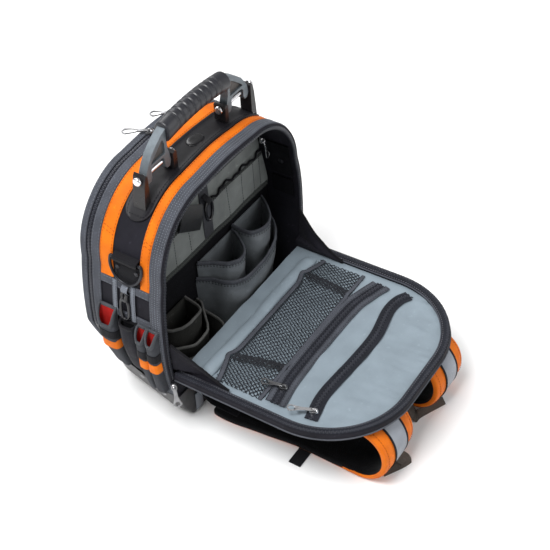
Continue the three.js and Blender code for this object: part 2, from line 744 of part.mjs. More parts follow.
// Grey webbing laid across one side between the grey strips.
function buildSideWebbing() {
  const levels = [["upper", BAND_END_Z - GAP - WEBBING_HEIGHT], ["lower", LOWER_WEBBING_Z]];
  const low = LAYER_GAP;
  const high = LAYER_GAP + STRIP_THICKNESS;
  levels.forEach(([level, z]) => {
    const points = between(z, z + WEBBING_HEIGHT);
    const halves = [["left", points.slice(0, points.length / 2)], ["right", points.slice(points.length / 2)]];
    halves.forEach(([side, run]) => add(`side_webbing_${side}_${level}`, loft(run.map((v) => [
      place(v, REAR_BAND_Y, low), place(v, FRONT_STRIP_Y, low),
      place(v, FRONT_STRIP_Y, high), place(v, REAR_BAND_Y, high),
    ])), "grey_web"));
  });
}

// Front door: a cloth plate inside its grey edge strip, and a hollow pouch open towards it.
function buildFront() {
  add("front_door", archPlate(DOOR_Y, DOOR_Y + DOOR_THICKNESS, -DOOR_STRIP_WALL / 2 - LAYER_GAP,
    BODY_FLOOR_Z, BODY_TOP + TOP_CROWN), "black_cloth");
  const start = DOOR_Y + DOOR_THICKNESS + GAP;
  const inner = POUCH_RINGS.map((row) => pouchRing(start, row, POUCH_CLOTH));
  const outer = POUCH_RINGS.map((row) => pouchRing(start, row, 0));
  add("front_pouch", loft([...inner.reverse(), ...outer]), "black_cloth");
}

// Outline of the pouch at one ring, with its cloth's thickness taken off for the inner face. Below the
// tray's top it keeps inside the tray.
function pouchRing(start, ring, cloth) {
  const inset = ring.inset * POUCH_DEPTH;
  const left = POUCH_ROWS.map((row) => {
    const height = POUCH_BOTTOM + row.height * (POUCH_TOP - POUCH_BOTTOM);
    const z = row.height < 0.5 ? height + inset * 0.3 + cloth : height - inset - cloth;
    const reach = ring.depth * POUCH_DEPTH * row.depth;
    const full = row.half * POUCH_HALF_WIDTH - inset - cloth;
    const room = z < TRAY_HEIGHT + 2 ? trayInnerHalf(start + reach, z) - POUCH_ROOM - cloth : full;
    return [Math.min(full, room), start + reach - ring.depth * cloth, z];
  });
  return [...left.map(([x, y, z]) => [-x, y, z]), ...left.reverse()];
}

// Room inside the tray on one side at a depth and a height.
function trayInnerHalf(y, z) {
  const ring = trayRing(z, Math.max(FLOOR_Z, Math.min(z, TRAY_HEIGHT)), -TRAY_WALL).filter((p) => p[0] <= 0);
  const i = ring.findIndex((p, k) => k > 0 && ring[k - 1][1] <= y && p[1] >= y);
  const [a, b] = [ring[i - 1], ring[i]];
  return -(a[0] + ((y - a[1]) / (b[1] - a[1])) * (b[0] - a[0]));
}

// Plan of the tray at its top: left side from the back, round the front, and back down the right side.
function trayPlan() {
  const wall = GAP + TRAY_WALL;
  const topHalf = sideHalf(TRAY_HEIGHT) + wall;
  const frontHalf = trayFrontHalf();
  const left = [
    { x: -topHalf + TRAY_CORNER, z: TRAY_BACK_Y }, { x: -topHalf + TRAY_CORNER * 0.29, z: TRAY_BACK_Y
      + TRAY_CORNER * 0.29 }, { x: -topHalf, z: TRAY_BACK_Y + TRAY_CORNER }, { x: -topHalf, z: REAR_BAND_Y },
    { x: -frontHalf, z: BAND_FRONT_Y },
  ];
  TRAY_FRONT_ROWS.forEach((row) => left.push({
    x: -frontHalf * row.half, z: BAND_FRONT_Y + row.depth * (TRAY_FRONT_Y - BAND_FRONT_Y),
  }));
  const right = left.slice(0, -1).map((p) => ({ x: -p.x, z: p.z })).reverse();
  return [...left, ...right];
}

// The tray's plan at a height, inset as the body side is, with an offset for its inner face.
function trayRing(z, planZ, offset) {
  const topHalf = sideHalf(TRAY_HEIGHT) + GAP + TRAY_WALL;
  const inset = sideHalf(TRAY_HEIGHT) - sideHalf(planZ) + (z < FLOOR_Z && offset === 0 ? TRAY_ROUNDING : 0);
  const reach = TRAY_FRONT_Y - BAND_FRONT_Y;
  const behind = z < FLOOR_Z && offset === 0 ? TRAY_ROUNDING / 2 : 0;
  const scaled = trayPlan().map((p) => ({
    x: p.x * (1 - inset / topHalf),
    z: p.z > BAND_FRONT_Y ? BAND_FRONT_Y + (p.z - BAND_FRONT_Y) * (1 - (TRAY_FRONT_LEAN * inset) / reach)
      : p.z + (p.z < 0 ? behind : 0),
  }));
  return withCorners(scaled).map((p) => [p.x + p.mx * offset, p.z + p.mz * offset, z]);
}

function buildTray() {
  const levels = [TRAY_HEIGHT, ...sideRowHeights().filter((z) => z < TRAY_HEIGHT).reverse()];
  const outer = [...levels.map((z) => trayRing(z, z, 0)), trayRing(0, FLOOR_Z, 0)];
  const inner = [...levels.slice(0, -1), TRAY_WALL].map((z) => trayRing(z, Math.max(z, FLOOR_Z), -TRAY_WALL));
  add("base_tray", loft([...inner.reverse(), ...outer]), "tray");
}

// Height of a layer over the arch's top at a place across it, on the outline's own facets.
function surfaceZ(x, offset) {
  const line = OUTLINE.map((v) => ({ x: v.x + v.mx * offset, z: v.z + v.mz * offset }))
    .filter((p) => p.z > SHOULDER_Z);
  const i = line.findIndex((p, k) => k > 0 && line[k - 1].x <= x && p.x >= x);
  const [a, b] = [line[i - 1], line[i]];
  return a.z + ((x - a.x) / (b.x - a.x)) * (b.z - a.z);
}

// Points of a layer's surface between two places across the arch, the ends included.
function surfaceRun(from, to, offset) {
  const inside = OUTLINE.map((v) => ({ x: v.x + v.mx * offset, z: v.z + v.mz * offset }))
    .filter((p) => p.x > from && p.x < to && p.z > SHOULDER_Z);
  return [[from, surfaceZ(from, offset)], ...inside.map((p) => [p.x, p.z]), [to, surfaceZ(to, offset)]];
}

// Plate with an outline in X and Z and a thickness in Y about a depth.
function sidePlate(points, width, y = 0) {
  return loft([y - width / 2, y + width / 2].map((depth) => points.map(([x, z]) => [x, depth, z])));
}

// Rod along X with a radius for each stretch; a row is [x, radius].
function turned(rows, sides, y, z) {
  return loft(rows.map(([x, radius]) => circle(sides, radius).map(([u, w]) => [x, y + u, z + w])));
}

function circle(sides, radius) {
  return Array.from({ length: sides }, (_, i) => {
    const angle = (i / sides) * 2 * Math.PI;
    return [radius * Math.cos(angle), radius * Math.sin(angle)];
  });
}

function buildHandlePad() {
  const endZ = SHOULDER_Z + SHOULDER_RADIUS * Math.sin(THREE.MathUtils.degToRad(PAD_END_ANGLE_DEG));
  const run = runAbove(endZ);
  const half = PAD_WIDTH / 2;
  const middle = (CENTRE_Y + FRONT_BAND_Y) / 2;
  const rings = run.map((v, i) => {
    const ends = Math.min(i, run.length - 1 - i);
    const reach = half * (ends === 0 ? 0.55 : ends === 1 ? 0.92 : 1) - GAP;
    return [
      place(v, middle - reach, LAYER_GAP), place(v, middle + reach, LAYER_GAP),
      place(v, middle + reach, PAD_TOP - 1), place(v, middle + reach - 2, PAD_TOP),
      place(v, middle - reach + 2, PAD_TOP), place(v, middle - reach, PAD_TOP - 1),
    ];
  });
  const crest = surfaceZ(HANDLE_X, PAD_TOP);
  const boss = turnedUp([[crest - PAD_THICKNESS / 2, BOSS_RADIUS], [crest + BOSS_HEIGHT * 0.6, BOSS_RADIUS],
    [crest + BOSS_HEIGHT, BOSS_RADIUS * 0.8]], ROUND_SIDES, HANDLE_X, middle);
  add("handle_pad", fromManifold(toManifold(loft(rings)).add(toManifold(boss))), "moulded");
}

// Round piece along Z with a radius for each height; a row is [z, radius].
function turnedUp(rows, sides, x, y) {
  return loft(rows.map(([z, radius]) => circle(sides, radius).map(([u, w]) => [x + u, y + w, z])));
}

// The two posts that hold one axle, each standing on the pad. side is -1 for left and 1 for right.
function buildPosts(side, label) {
  const boreRadius = AXLE_RADIUS + AXLE_CLEARANCE;
  const outerFrom = LEG_OUTER_X + 2 * GAP;
  const outerTo = outerFrom + POST_THICKNESS;
  const innerTo = LEG_INNER_X - 2 * GAP;
  const innerFrom = innerTo - POST_THICKNESS;
  const top = PIVOT_Z + POST_TOP;
  const shapes = [
    ["outer",
      [[outerFrom, top - 3], [outerFrom + 3, top], [outerTo - 2, top - 4], [outerTo + 1, PIVOT_Z - 8]],
      outerFrom, outerTo + OUTER_POST_FOOT],
    ["inner", [[innerFrom, top - 2], [innerFrom + 3, top], [innerTo, top - 2]], innerFrom, innerTo],
  ];
  shapes.forEach(([which, crest, from, to]) => {
    const ends = [HANDLE_X + side * from, HANDLE_X + side * to];
    const foot = surfaceRun(Math.min(...ends), Math.max(...ends), PAD_TOP + GAP);
    if (side > 0) foot.reverse();
    const outline = [...crest.map(([x, z]) => [HANDLE_X + side * x, z]), ...foot];
    const plate = toManifold(sidePlate(outline, POST_WIDTH, HANDLE_Y));
    const bore = toManifold(turned([[HANDLE_X + side * (from - 5), boreRadius],
      [HANDLE_X + side * (to + 5), boreRadius]], ROUND_SIDES, HANDLE_Y, PIVOT_Z));
    add(`bracket_${which}_${label}`, fromManifold(plate.subtract(bore)), "moulded");
  });
  const headIn = innerFrom - GAP;
  const headOut = outerTo + 1 + GAP;
  const head = BOLT_HEAD_THICKNESS;
  const rows = [
    [headIn - head, BOLT_HEAD_RADIUS * 0.8], [headIn - head * 0.7, BOLT_HEAD_RADIUS],
    [headIn, BOLT_HEAD_RADIUS], [headIn, AXLE_RADIUS],
    [headOut, AXLE_RADIUS], [headOut, BOLT_HEAD_RADIUS],
    [headOut + head * 0.7, BOLT_HEAD_RADIUS], [headOut + head, BOLT_HEAD_RADIUS * 0.8],
  ];
  add(`axle_${label}`, turned(rows.map(([x, radius]) => [HANDLE_X + side * x, radius]), ROUND_SIDES, HANDLE_Y,
    PIVOT_Z), "steel");
}

// One forked end of the handle about the pivot: two legs, a recessed web between them, and a face that meets
// the grip. Points are in X and Z from the pivot.
function buildHandleEnd(side, label, parent) {
  const top = GRIP_RISE - GRIP_BOW;
  const meet = GRIP_HALF_LENGTH + GAP;
  const outerLeg = LEG_OUTER_X - LEG_WIDTH;
  const innerLeg = LEG_INNER_X + LEG_WIDTH;
  const outline = [
    [meet, top + 9], [meet + 11, top + 4], [meet + 23, top - 4], [LEG_OUTER_X - 16, top - 13],
    [LEG_OUTER_X - 8, top - 24], [LEG_OUTER_X - 2, 7], [LEG_OUTER_X, -4], [LEG_OUTER_X - 4, -LEG_DROP],
    [outerLeg + 3, -LEG_DROP], [outerLeg, -5], [outerLeg, WEB_DROP - 4], [outerLeg - 4, WEB_DROP],
    [innerLeg + 4, WEB_DROP], [innerLeg, WEB_DROP - 4], [innerLeg, -5], [innerLeg - 3, -LEG_DROP],
    [LEG_INNER_X + 4, -LEG_DROP], [LEG_INNER_X, -4], [LEG_INNER_X + 2, 9], [LEG_INNER_X + 5, 18],
    [meet, top - 14],
  ];
  const mirror = (points) => points.map(([x, z]) => [side * x, z]);
  let body = toManifold(sidePlate(mirror(outline), END_THICKNESS));
  const recess = mirror([
    [innerLeg - 2, WEB_DROP + 4], [outerLeg - 1, WEB_DROP + 4], [outerLeg - 3, top - 24],
    [meet + 21, top - 13], [meet + 9, top - 4], [meet + 5, top - 12],
  ]);
  const cutDepth = (END_THICKNESS - WEB_THICKNESS) / 2;
  [-1, 1].forEach((face) => {
    const y = face * (END_THICKNESS / 2 - cutDepth / 2 + 0.5);
    body = body.subtract(toManifold(sidePlate(recess, cutDepth + 1, y)));
  });
  const bore = turned([[side * (LEG_INNER_X - 5), AXLE_RADIUS + AXLE_CLEARANCE],
    [side * (LEG_OUTER_X + 5), AXLE_RADIUS + AXLE_CLEARANCE]], ROUND_SIDES, 0, 0);
  add(`handle_end_${label}`, fromManifold(body.subtract(toManifold(bore))), "grey_metal", parent);
}

// Rubber grip: a bowed round bar with finger ribs along its middle and a plain collar at each end.
function buildGrip(parent) {
  const ribSpan = GRIP_HALF_LENGTH * 1.36;
  const perRib = 3;
  const steps = GRIP_RIBS * perRib;
  const rows = [[-GRIP_HALF_LENGTH, 0.86], [-GRIP_HALF_LENGTH * 0.96, 0.97]];
  for (let i = 0; i <= steps; i += 1) {
    const x = -ribSpan / 2 + (i / steps) * ribSpan;
    rows.push([x, 1 - (i % perRib === 0 ? 0.09 : 0)]);
  }
  rows.push([GRIP_HALF_LENGTH * 0.96, 0.97], [GRIP_HALF_LENGTH, 0.86]);
  add("handle_grip", loft(rows.map(([x, share]) => {
    const rise = GRIP_RISE - GRIP_BOW * (x / GRIP_HALF_LENGTH) ** 2;
    return circle(12, GRIP_RADIUS * share).map(([u, w]) => [x, u * 0.92, rise + w]);
  })), "rubber", parent);
}

function buildHandle() {
  buildHandlePad();
  const handle = new THREE.Group();
  handle.position.set(HANDLE_X, HANDLE_Y, PIVOT_Z);
  root.add(handle);
  [[-1, "left"], [1, "right"]].forEach(([side, label]) => {
    buildPosts(side, label);
    buildHandleEnd(side, label, handle);
  });
  buildGrip(handle);
}

// Outward face of the left side at a height, as a positive distance from the middle, on the outline's facets.
function leftFace(z, y) {
  const i = OUTLINE.findIndex((v, k) => k > 0 && OUTLINE[k - 1].z <= z && v.z >= z);
  const [a, b] = [OUTLINE[i - 1], OUTLINE[i]];
  const t = (z - a.z) / (b.z - a.z);
  const fade = a.fade + t * (b.fade - a.fade);
  return -(a.x + t * (b.x - a.x)) - tuckAt(y) * fade;
}

// Heights between two ends with those of the side's rows that lie between them, from the top down.
function sideLevels(top, bottom) {
  const rows = OUTLINE.slice(0, SIDE_ROWS.length + ARC_STEPS).map((v) => v.z);
  return [top, ...rows.filter((z) => z < top - 1 && z > bottom + 1).reverse(), bottom];
}

// Cup on the left side: a flat back along the side and a rounded front, open at its top, where its mouth
// dips towards the front.
function sideCup(name, look, y, half, [depth, taper], [top, bottom], dip) {
  const ring = (z, inset, levelZ) => {
    const share = (top - levelZ) / (top - bottom);
    const reach = depth * (1 - taper * share);
    return SIDE_CUP_PLAN.map((row) => {
      const across = y + row.across * (half - inset);
      const out = row.out === 0 ? inset : row.out * (reach - inset);
      const height = levelZ === top ? z - dip * row.dip : z;
      return [-leftFace(levelZ, across) - SIDE_POCKET_BACK - out, across, height];
    });
  };
  const levels = [top, ...sideLevels(top - dip - 4, bottom)];
  const outer = levels.map((z) => ring(z, 0, z));
  const floor = levels.length - 1;
  const inner = levels.map((z, i) => ring(i === floor ? z + SIDE_POCKET_WALL : z, SIDE_POCKET_WALL, z));
  add(name, loft([...inner.reverse(), ...outer]), look);
}

// Closed round bar along a loop of points that faces along X.
function wireLoop(points, radius) {
  const curve = new THREE.CatmullRomCurve3(points.map((p) => new THREE.Vector3(...p)), true, "centripetal");
  const count = points.length * 2;
  const rings = Array.from({ length: count }, (_, i) => {
    const p = curve.getPoint(i / count);
    const t = curve.getTangent(i / count);
    return circle(WIRE_SIDES, radius).map(([u, w]) => [p.x + u, p.y - t.z * w, p.z + t.y * w]);
  });
  return loft(rings, true);
}

function ringAxisX() {
  return leftFace(RING_Z, RING_Y) + LAYER_GAP + TUNNEL_OVER + 1;
}

// A point that stands off the left side at a depth and a height.
function offSide(y, z, off) {
  return [-leftFace(z, y) - off, y, z];
}

// Flat strip down the left side between two heights, standing off it.
function sideStrip(y, width, top, bottom, off, thickness) {
  return loft(sideLevels(top, bottom).map((z) => [
    offSide(y - width / 2, z, off), offSide(y + width / 2, z, off),
    offSide(y + width / 2, z, off + thickness), offSide(y - width / 2, z, off + thickness),
  ]));
}

function buildRing() {
  const h = RING_HALF_WIDTH;
  const shape = [
    [-h, 0], [-h * 0.85, 0], [-h * 0.5, 0], [h * 0.5, 0], [h * 0.85, 0], [h, 0], [h + 1, -RING_DROP * 0.35],
    [h * 0.78, -RING_DROP * 0.74], [h * 0.3, -RING_DROP * 0.98], [-h * 0.3, -RING_DROP * 0.98],
    [-h * 0.78, -RING_DROP * 0.74],
    [-h - 1, -RING_DROP * 0.35],
  ];
  const ring = new THREE.Group();
  ring.position.set(-ringAxisX(), RING_Y, RING_Z);
  ring.rotation.y = THREE.MathUtils.degToRad(RING_LEAN_DEG);
  root.add(ring);
  add("d_ring", wireLoop(shape.map(([y, z]) => [0, y, z]), RING_WIRE), "ring_black", ring);
}

// Webbing folded round the ring's bar, with its two ends laid down the side.
function buildTunnel() {
  const x = -ringAxisX();
  const [upper] = offSide(RING_Y, RING_Z + 6, LAYER_GAP);
  const [lower] = offSide(RING_Y, RING_Z - 6.5, LAYER_GAP);
  const side = [[upper, RING_Z + 6], [x - 1, RING_Z + 5], [x - TUNNEL_OVER, RING_Z], [x - 1, RING_Z - 5],
    [lower, RING_Z - 6.5]];
  const fold = toManifold(sidePlate(side, 2 * TUNNEL_HALF_WIDTH, RING_Y));
  const boreEnd = TUNNEL_HALF_WIDTH + 9;
  const bore = toManifold(loft([-boreEnd, boreEnd].map((y) => (
    circle(10, RING_WIRE + TUNNEL_CLEARANCE).map(([u, w]) => [x + u, RING_Y + y, RING_Z + w])
  ))));
  const plate = toManifold(sideStrip(RING_Y, 2 * TUNNEL_HALF_WIDTH, RING_Z - 5, TUNNEL_PLATE_END_Z, LAYER_GAP,
    TUNNEL_PLATE));
  add("ring_tunnel", fromManifold(fold.subtract(bore).add(plate)), "strap_black");
}

function buildSideHardware() {
  buildRing();
  buildTunnel();
  const off = LAYER_GAP + STRIP_THICKNESS + GAP;
  const hook = [[0, 0], [-HOOK_RADIUS * 0.55, -5], [-HOOK_RADIUS * 0.45, -12],
    [-HOOK_RADIUS, -HOOK_LENGTH * 0.45], [-HOOK_RADIUS * 0.9, -HOOK_LENGTH * 0.88], [0, -HOOK_LENGTH],
    [HOOK_RADIUS * 0.9, -HOOK_LENGTH * 0.88],
    [HOOK_RADIUS, -HOOK_LENGTH * 0.45], [HOOK_RADIUS * 0.45, -12], [HOOK_RADIUS * 0.55, -5]];
  const stand = off + HOOK_WIRE + LAYER_GAP;
  add("snap_hook", wireLoop(hook.map(([y, z]) => offSide(HOOK_Y + y, HOOK_TOP_Z + z, stand)), HOOK_WIRE),
    "moulded");
  const wideY = SHEATH_Y + SHEATH_HALF_WIDTH + WIDE_POCKET_SPACE + WIDE_POCKET_HALF_WIDTH;
  const firstY = SHEATH_Y - SHEATH_HALF_WIDTH - NARROW_POCKET_SPACE - NARROW_POCKET_HALF_WIDTH;
  const secondY = firstY - 2 * NARROW_POCKET_HALF_WIDTH - GAP;
  sideCup("side_sheath", "strap_black", SHEATH_Y, SHEATH_HALF_WIDTH, [SHEATH_DEPTH, SHEATH_TAPER],
    [SHEATH_TOP_Z, SHEATH_BOTTOM_Z], SHEATH_DIP);
  const reach = [TOOL_POCKET_DEPTH, TOOL_POCKET_TAPER];
  sideCup("tool_pocket_wide", "grey_web", wideY, WIDE_POCKET_HALF_WIDTH, reach,
    [WIDE_POCKET_TOP_Z, WIDE_POCKET_BOTTOM_Z], WIDE_POCKET_DIP);
  [["front", firstY], ["rear", secondY]].forEach(([label, y]) => {
    sideCup(`tool_pocket_narrow_${label}`, "grey_web", y, NARROW_POCKET_HALF_WIDTH, reach,
      [NARROW_POCKET_TOP_Z, NARROW_POCKET_BOTTOM_Z], NARROW_POCKET_DIP);
  });
}

// Thickness of the organiser panel at a height.
function organiserThickness(z) {
  const share = (z - ORGANISER_BOTTOM) / (ORGANISER_TOP - ORGANISER_BOTTOM);
  const upper = ORGANISER_ROWS.findIndex((row) => row.height >= share);
  const [a, b] = [ORGANISER_ROWS[upper - 1], ORGANISER_ROWS[upper]];
  const t = (share - a.height) / (b.height - a.height);
  return ORGANISER_THICKNESS * (a.thick + t * (b.thick - a.thick));
}

function buildInside() {
  const inner = -CLOTH - INNER_MARGIN;
  add("divider", archPlate(DIVIDER_Y, DIVIDER_Y + DIVIDER_THICKNESS, inner, BODY_FLOOR_Z + GAP,
    BODY_TOP + TOP_CROWN), "black_cloth");
  const face = DIVIDER_Y - GAP;
  add("organiser_panel", loft(ORGANISER_ROWS.map((row) => {
    const z = ORGANISER_BOTTOM + row.height * (ORGANISER_TOP - ORGANISER_BOTTOM);
    const half = leftFace(z, RIM_Y) - ORGANISER_MARGIN;
    const thick = row.thick * ORGANISER_THICKNESS;
    return [[-half, face, z], [half, face, z], [half, face - thick, z], [-half, face - thick, z]];
  })), "organiser");
  const clipY = face - organiserThickness(KEY_CLIP_Z - KEY_CLIP_LENGTH) - GAP - KEY_CLIP_WIRE;
  const clip = [[0, 0], [-5, -5], [-KEY_CLIP_RADIUS, -KEY_CLIP_LENGTH * 0.4], [-KEY_CLIP_RADIUS * 0.8,
    -KEY_CLIP_LENGTH * 0.85], [0, -KEY_CLIP_LENGTH], [KEY_CLIP_RADIUS * 0.8, -KEY_CLIP_LENGTH * 0.85],
  [KEY_CLIP_RADIUS, -KEY_CLIP_LENGTH * 0.4], [5, -5]];
  const loop = wireLoop(clip.map(([y, z]) => [0, y, KEY_CLIP_Z + z]), KEY_CLIP_WIRE);
  const key = add("key_clip", loop, "moulded");
  key.rotation.z = -Math.PI / 2;
  key.position.set(KEY_CLIP_X, clipY, 0);
  INNER_POCKETS.forEach((pocket) => buildPocket(pocket, face - pocket.layer * (VINYL + GAP)));
}

// Pocket hung on the divider: a cup with a flat back and a rounded belly, open at its top and narrower at
// its foot.
function buildPocket({ name, look, plan, depth, mouth, foot }, back) {
  const ring = (z, inset, share) => plan.map((row) => {
    const left = BODY_HALF_WIDTH * (mouth.left + share * (foot.left - mouth.left)) + inset;
    const right = BODY_HALF_WIDTH * (mouth.right + share * (foot.right - mouth.right)) - inset;
    const reach = INNER_DEPTH * depth * (1 - POCKET_FOOT_TAPER * share) - 2 * inset;
    const dip = share === 0 ? POCKET_DIP * row.belly : 0;
    return [left + row.across * (right - left), back - inset - row.belly * reach, z - dip];
  });
  const [top, bottom] = [mouth, foot].map((row) => row.height * ORGANISER_BOTTOM);
  const halfway = { z: (top + bottom) / 2, share: 0.25 };
  const levels = [{ z: top, share: 0 }, halfway, { z: bottom, share: 1 }];
  const outer = levels.map((level) => ring(level.z, 0, level.share));
  const inner = levels.map((level) => ring(level.z + (level.share === 1 ? VINYL : 0), VINYL, level.share));
  add(name, loft([...inner.reverse(), ...outer]), look);
}

// Points round the flap's U outline from its left hinge end to its right hinge end, inset from its edge.
function flapOutline(inset, start) {
  const half = FLAP_HALF_WIDTH - inset;
  const corner = FLAP_CORNER - inset;
  const flat = FLAP_HALF_WIDTH - FLAP_CORNER;
  const end = FLAP_LENGTH - inset;
  const left = [[-half, -start], [-half, -(end - corner) * 0.5]];
  for (let i = 0; i <= 9; i += 1) {
    const angle = (i / 9) * (Math.PI / 2);
    left.push([-flat - corner * Math.cos(angle), -(end - corner) - corner * Math.sin(angle)]);
  }
  return [...left, ...left.map(([x, y]) => [-x, y]).reverse()];
}

function buildFlap() {
  const flap = new THREE.Group();
  flap.position.set(0, FLAP_Y, FLAP_HEIGHT);
  flap.rotation.x = -THREE.MathUtils.degToRad(FLAP_TILT_DEG);
  root.add(flap);
  const edge = flapOutline(0, 0.5);
  const inside = flapOutline(FLAP_RIM_WIDTH, 0.5);
  add("flap_rim", loft(edge.map((p, i) => [
    [...p, -1.5], [p[0] * 0.3 + inside[i][0] * 0.7, p[1] * 0.3 + inside[i][1] * 0.7, 0], [...inside[i], -1.5],
    [...inside[i], -FLAP_RIM_HEIGHT], [...p, -FLAP_RIM_HEIGHT],
  ])), "zip_black", flap);
  const board = flapOutline(FLAP_RIM_WIDTH + GAP, 0.5);
  add("flap_board", loft([-LINING_DEPTH - FLAP_BOARD, -LINING_DEPTH].map((z) => board.map((p) => [...p, z]))),
    "lining", flap);
  const under = -LINING_DEPTH - FLAP_BOARD - GAP;
  buildBackPad(flap, under);
  const over = -LINING_DEPTH + GAP;
  buildLiningRoll(flap, over);
  buildMeshPocket(flap, over);
  buildZipTape(flap, "zip_tape_near", NEAR_ZIP_Y, over, NEAR_ZIP_ROWS);
  buildZipTape(flap, "zip_tape_far", FAR_ZIP_Y, over, FAR_ZIP_ROWS);
  FLAP_PULLS.forEach(({ label, tapeY, rows, across, length, turn }) => {
    const angle = THREE.MathUtils.degToRad(turn);
    const at = [across * ZIP_HALF_LENGTH, -tapeY - tapeBend(rows, across), over + ZIP_TAPE_THICKNESS + GAP];
    buildPull(flap, `zip_pull_${label}`, at, [Math.cos(angle), Math.sin(angle), 0], [0, 0, 1],
      length * PULL_LENGTH, PULL_PITCH_DEG);
  });
}

// Padded back: a block with rounded plan corners and a soft lower edge.
function buildBackPad(parent, top) {
  const plan = (inset, z) => {
    const points = [];
    const half = BACK_PAD_HALF_WIDTH - inset;
    const middle = (BACK_PAD_START + BACK_PAD_END) / 2;
    const reach = (BACK_PAD_END - BACK_PAD_START) / 2 - inset;
    const corner = BACK_PAD_CORNER - inset;
    [[1, 1, 0], [-1, 1, 90], [-1, -1, 180], [1, -1, 270]].forEach(([sx, sy, turn]) => {
      for (let i = 0; i <= 3; i += 1) {
        const angle = THREE.MathUtils.degToRad(turn + 30 * i);
        points.push([sx * (half - corner) + corner * Math.cos(angle),
          -middle + sy * (reach - corner) + corner * Math.sin(angle), z]);
      }
    });
    return points;
  };
  const rings = BACK_PAD_ROWS.map((row) => (
    plan(row.inset * BACK_PAD_CORNER, top - row.drop * BACK_PAD_THICKNESS)));
  add("back_pad", loft(rings), "strap_black", parent);
}

// Fold of lining along the hinge: a low half round that narrows at both ends.
function buildLiningRoll(parent, z) {
  const middle = -LINING_ROLL_START - LINING_ROLL_WIDTH / 2;
  add("lining_roll", loft(LINING_ROLL_ROWS.map((row) => {
    const half = (LINING_ROLL_WIDTH / 2) * (0.7 + 0.3 * row.full);
    const high = LINING_ROLL_HEIGHT * row.full;
    const x = row.across * (MESH_HALF_WIDTH - 4);
    return [0, 30, 60, 90, 120, 150, 180].map((deg) => {
      const angle = THREE.MathUtils.degToRad(deg);
      return [x, middle + half * Math.cos(angle), z + high * Math.sin(angle)];
    });
  })), "lining", parent);
}

// Mesh pocket: a sheet that rises from its sewn far edge and ends and stands open along its near edge.
function buildMeshPocket(parent, z) {
  add("mesh_pocket", loft(Array.from({ length: MESH_COLUMNS + 1 }, (_, i) => {
    const share = (2 * i) / MESH_COLUMNS - 1;
    const bulge = MESH_BULGE * (1 - share ** 4);
    const points = MESH_ROWS.map((row) => {
      const y = -MESH_START - row.along * (MESH_END - MESH_START);
      return [share * MESH_HALF_WIDTH, y, z + bulge * row.lift];
    });
    return [...points, ...points.map(([x, y, h]) => [x, y, h + MESH_THICKNESS]).reverse()];
  })), "dark_pocket", parent);
}

// How far a zip tape bends from its line at a place along it, straight between the rows of its table.
function tapeBend(rows, across) {
  const upper = rows.findIndex((row, k) => k > 0 && row.across >= across);
  const [a, b] = [rows[upper - 1], rows[upper]];
  const t = (across - a.across) / (b.across - a.across);
  return ZIP_TAPE_WIDTH * (a.away + t * (b.away - a.away));
}

// Zip tape across the flap, bent as its table says.
function buildZipTape(parent, name, y, z, rows) {
  const half = ZIP_TAPE_WIDTH / 2;
  add(name, loft(rows.map((row) => {
    const x = row.across * ZIP_HALF_LENGTH;
    const middle = -y - row.away * ZIP_TAPE_WIDTH;
    return [[x, middle - half, z], [x, middle + half, z], [x, middle + half, z + ZIP_TAPE_THICKNESS * 0.6],
      [x, middle, z + ZIP_TAPE_THICKNESS], [x, middle - half, z + ZIP_TAPE_THICKNESS * 0.6]];
  })), "zip_black", parent);
}

// Zip slider with a slotted pull. at is the slider's middle on its tape, along is the way that it points,
// facing is the direction that it stands up in, and pitch is how far its pull is raised from the tape.
function buildPull(parent, name, at, along, facing, length, pitch) {
  const half = PULL_WIDTH / 2;
  const plate = [[3, -half * 0.7], [length * 0.55, -half * 0.6], [length - 5, -half], [length, -half * 0.5],
    [length, half * 0.5], [length - 5, half], [length * 0.55, half * 0.6], [3, half * 0.7]];
  const slot = [[length - 12, -half * 0.4], [length - 4, -half * 0.55], [length - 4, half * 0.55],
    [length - 12, half * 0.4]];
  const slab = (points, low, high) => (
    toManifold(loft([low, high].map((z) => points.map(([x, y]) => [x, y, z]))))
  );
  const slider = slab([[-7, -half * 0.7], [-4, -half], [4, -half], [7, -half * 0.5], [7, half * 0.5],
    [4, half], [-4, half], [-7, half * 0.7]], 0, SLIDER_HEIGHT);
  const leaf = slab(plate, 0, PULL_THICKNESS).subtract(slab(slot, -1, PULL_THICKNESS + 1));
  const raised = leaf.rotate([0, -pitch, 0]).translate([0, 0, 1.5]);
  const pull = add(name, fromManifold(slider.add(raised)), "steel", parent);
  const x = new THREE.Vector3(...along).normalize();
  const z = new THREE.Vector3(...facing);
  const y = z.clone().cross(x).normalize();
  pull.position.set(...at);
  pull.quaternion.setFromRotationMatrix(new THREE.Matrix4().makeBasis(x, y, x.clone().cross(y)));
}

// The two sliders on the front zip, whose pulls stand up, and the one at the left foot of the rim zip.
function buildBodyPulls() {
  const zipY = BAND_FRONT_Y + GAP + FRONT_ZIP_WIDTH / 2;
  FRONT_PULLS.forEach(({ label, across, length }) => {
    const x = across * BODY_HALF_WIDTH;
    buildPull(root, `zip_pull_front_${label}`, [x, zipY, surfaceZ(x, 0) + LAYER_GAP], [-1, 0, 0], [0, 0, 1],
      length * PULL_LENGTH, FRONT_PULL_PITCH_DEG);
  });
  const rimHalf = Math.max(leftFace(RIM_PULL_Z, RIM_Y), FLAP_HALF_WIDTH + RIM_PULL_CLEARANCE);
  const rimX = -rimHalf - PULL_WIDTH / 2;
  buildPull(root, "zip_pull_rim", [rimX, LOWER_PANEL_Y - GAP, RIM_PULL_Z], [0.06, 0, -1], [0, -1, 0],
    RIM_PULL_LENGTH, 2);
}

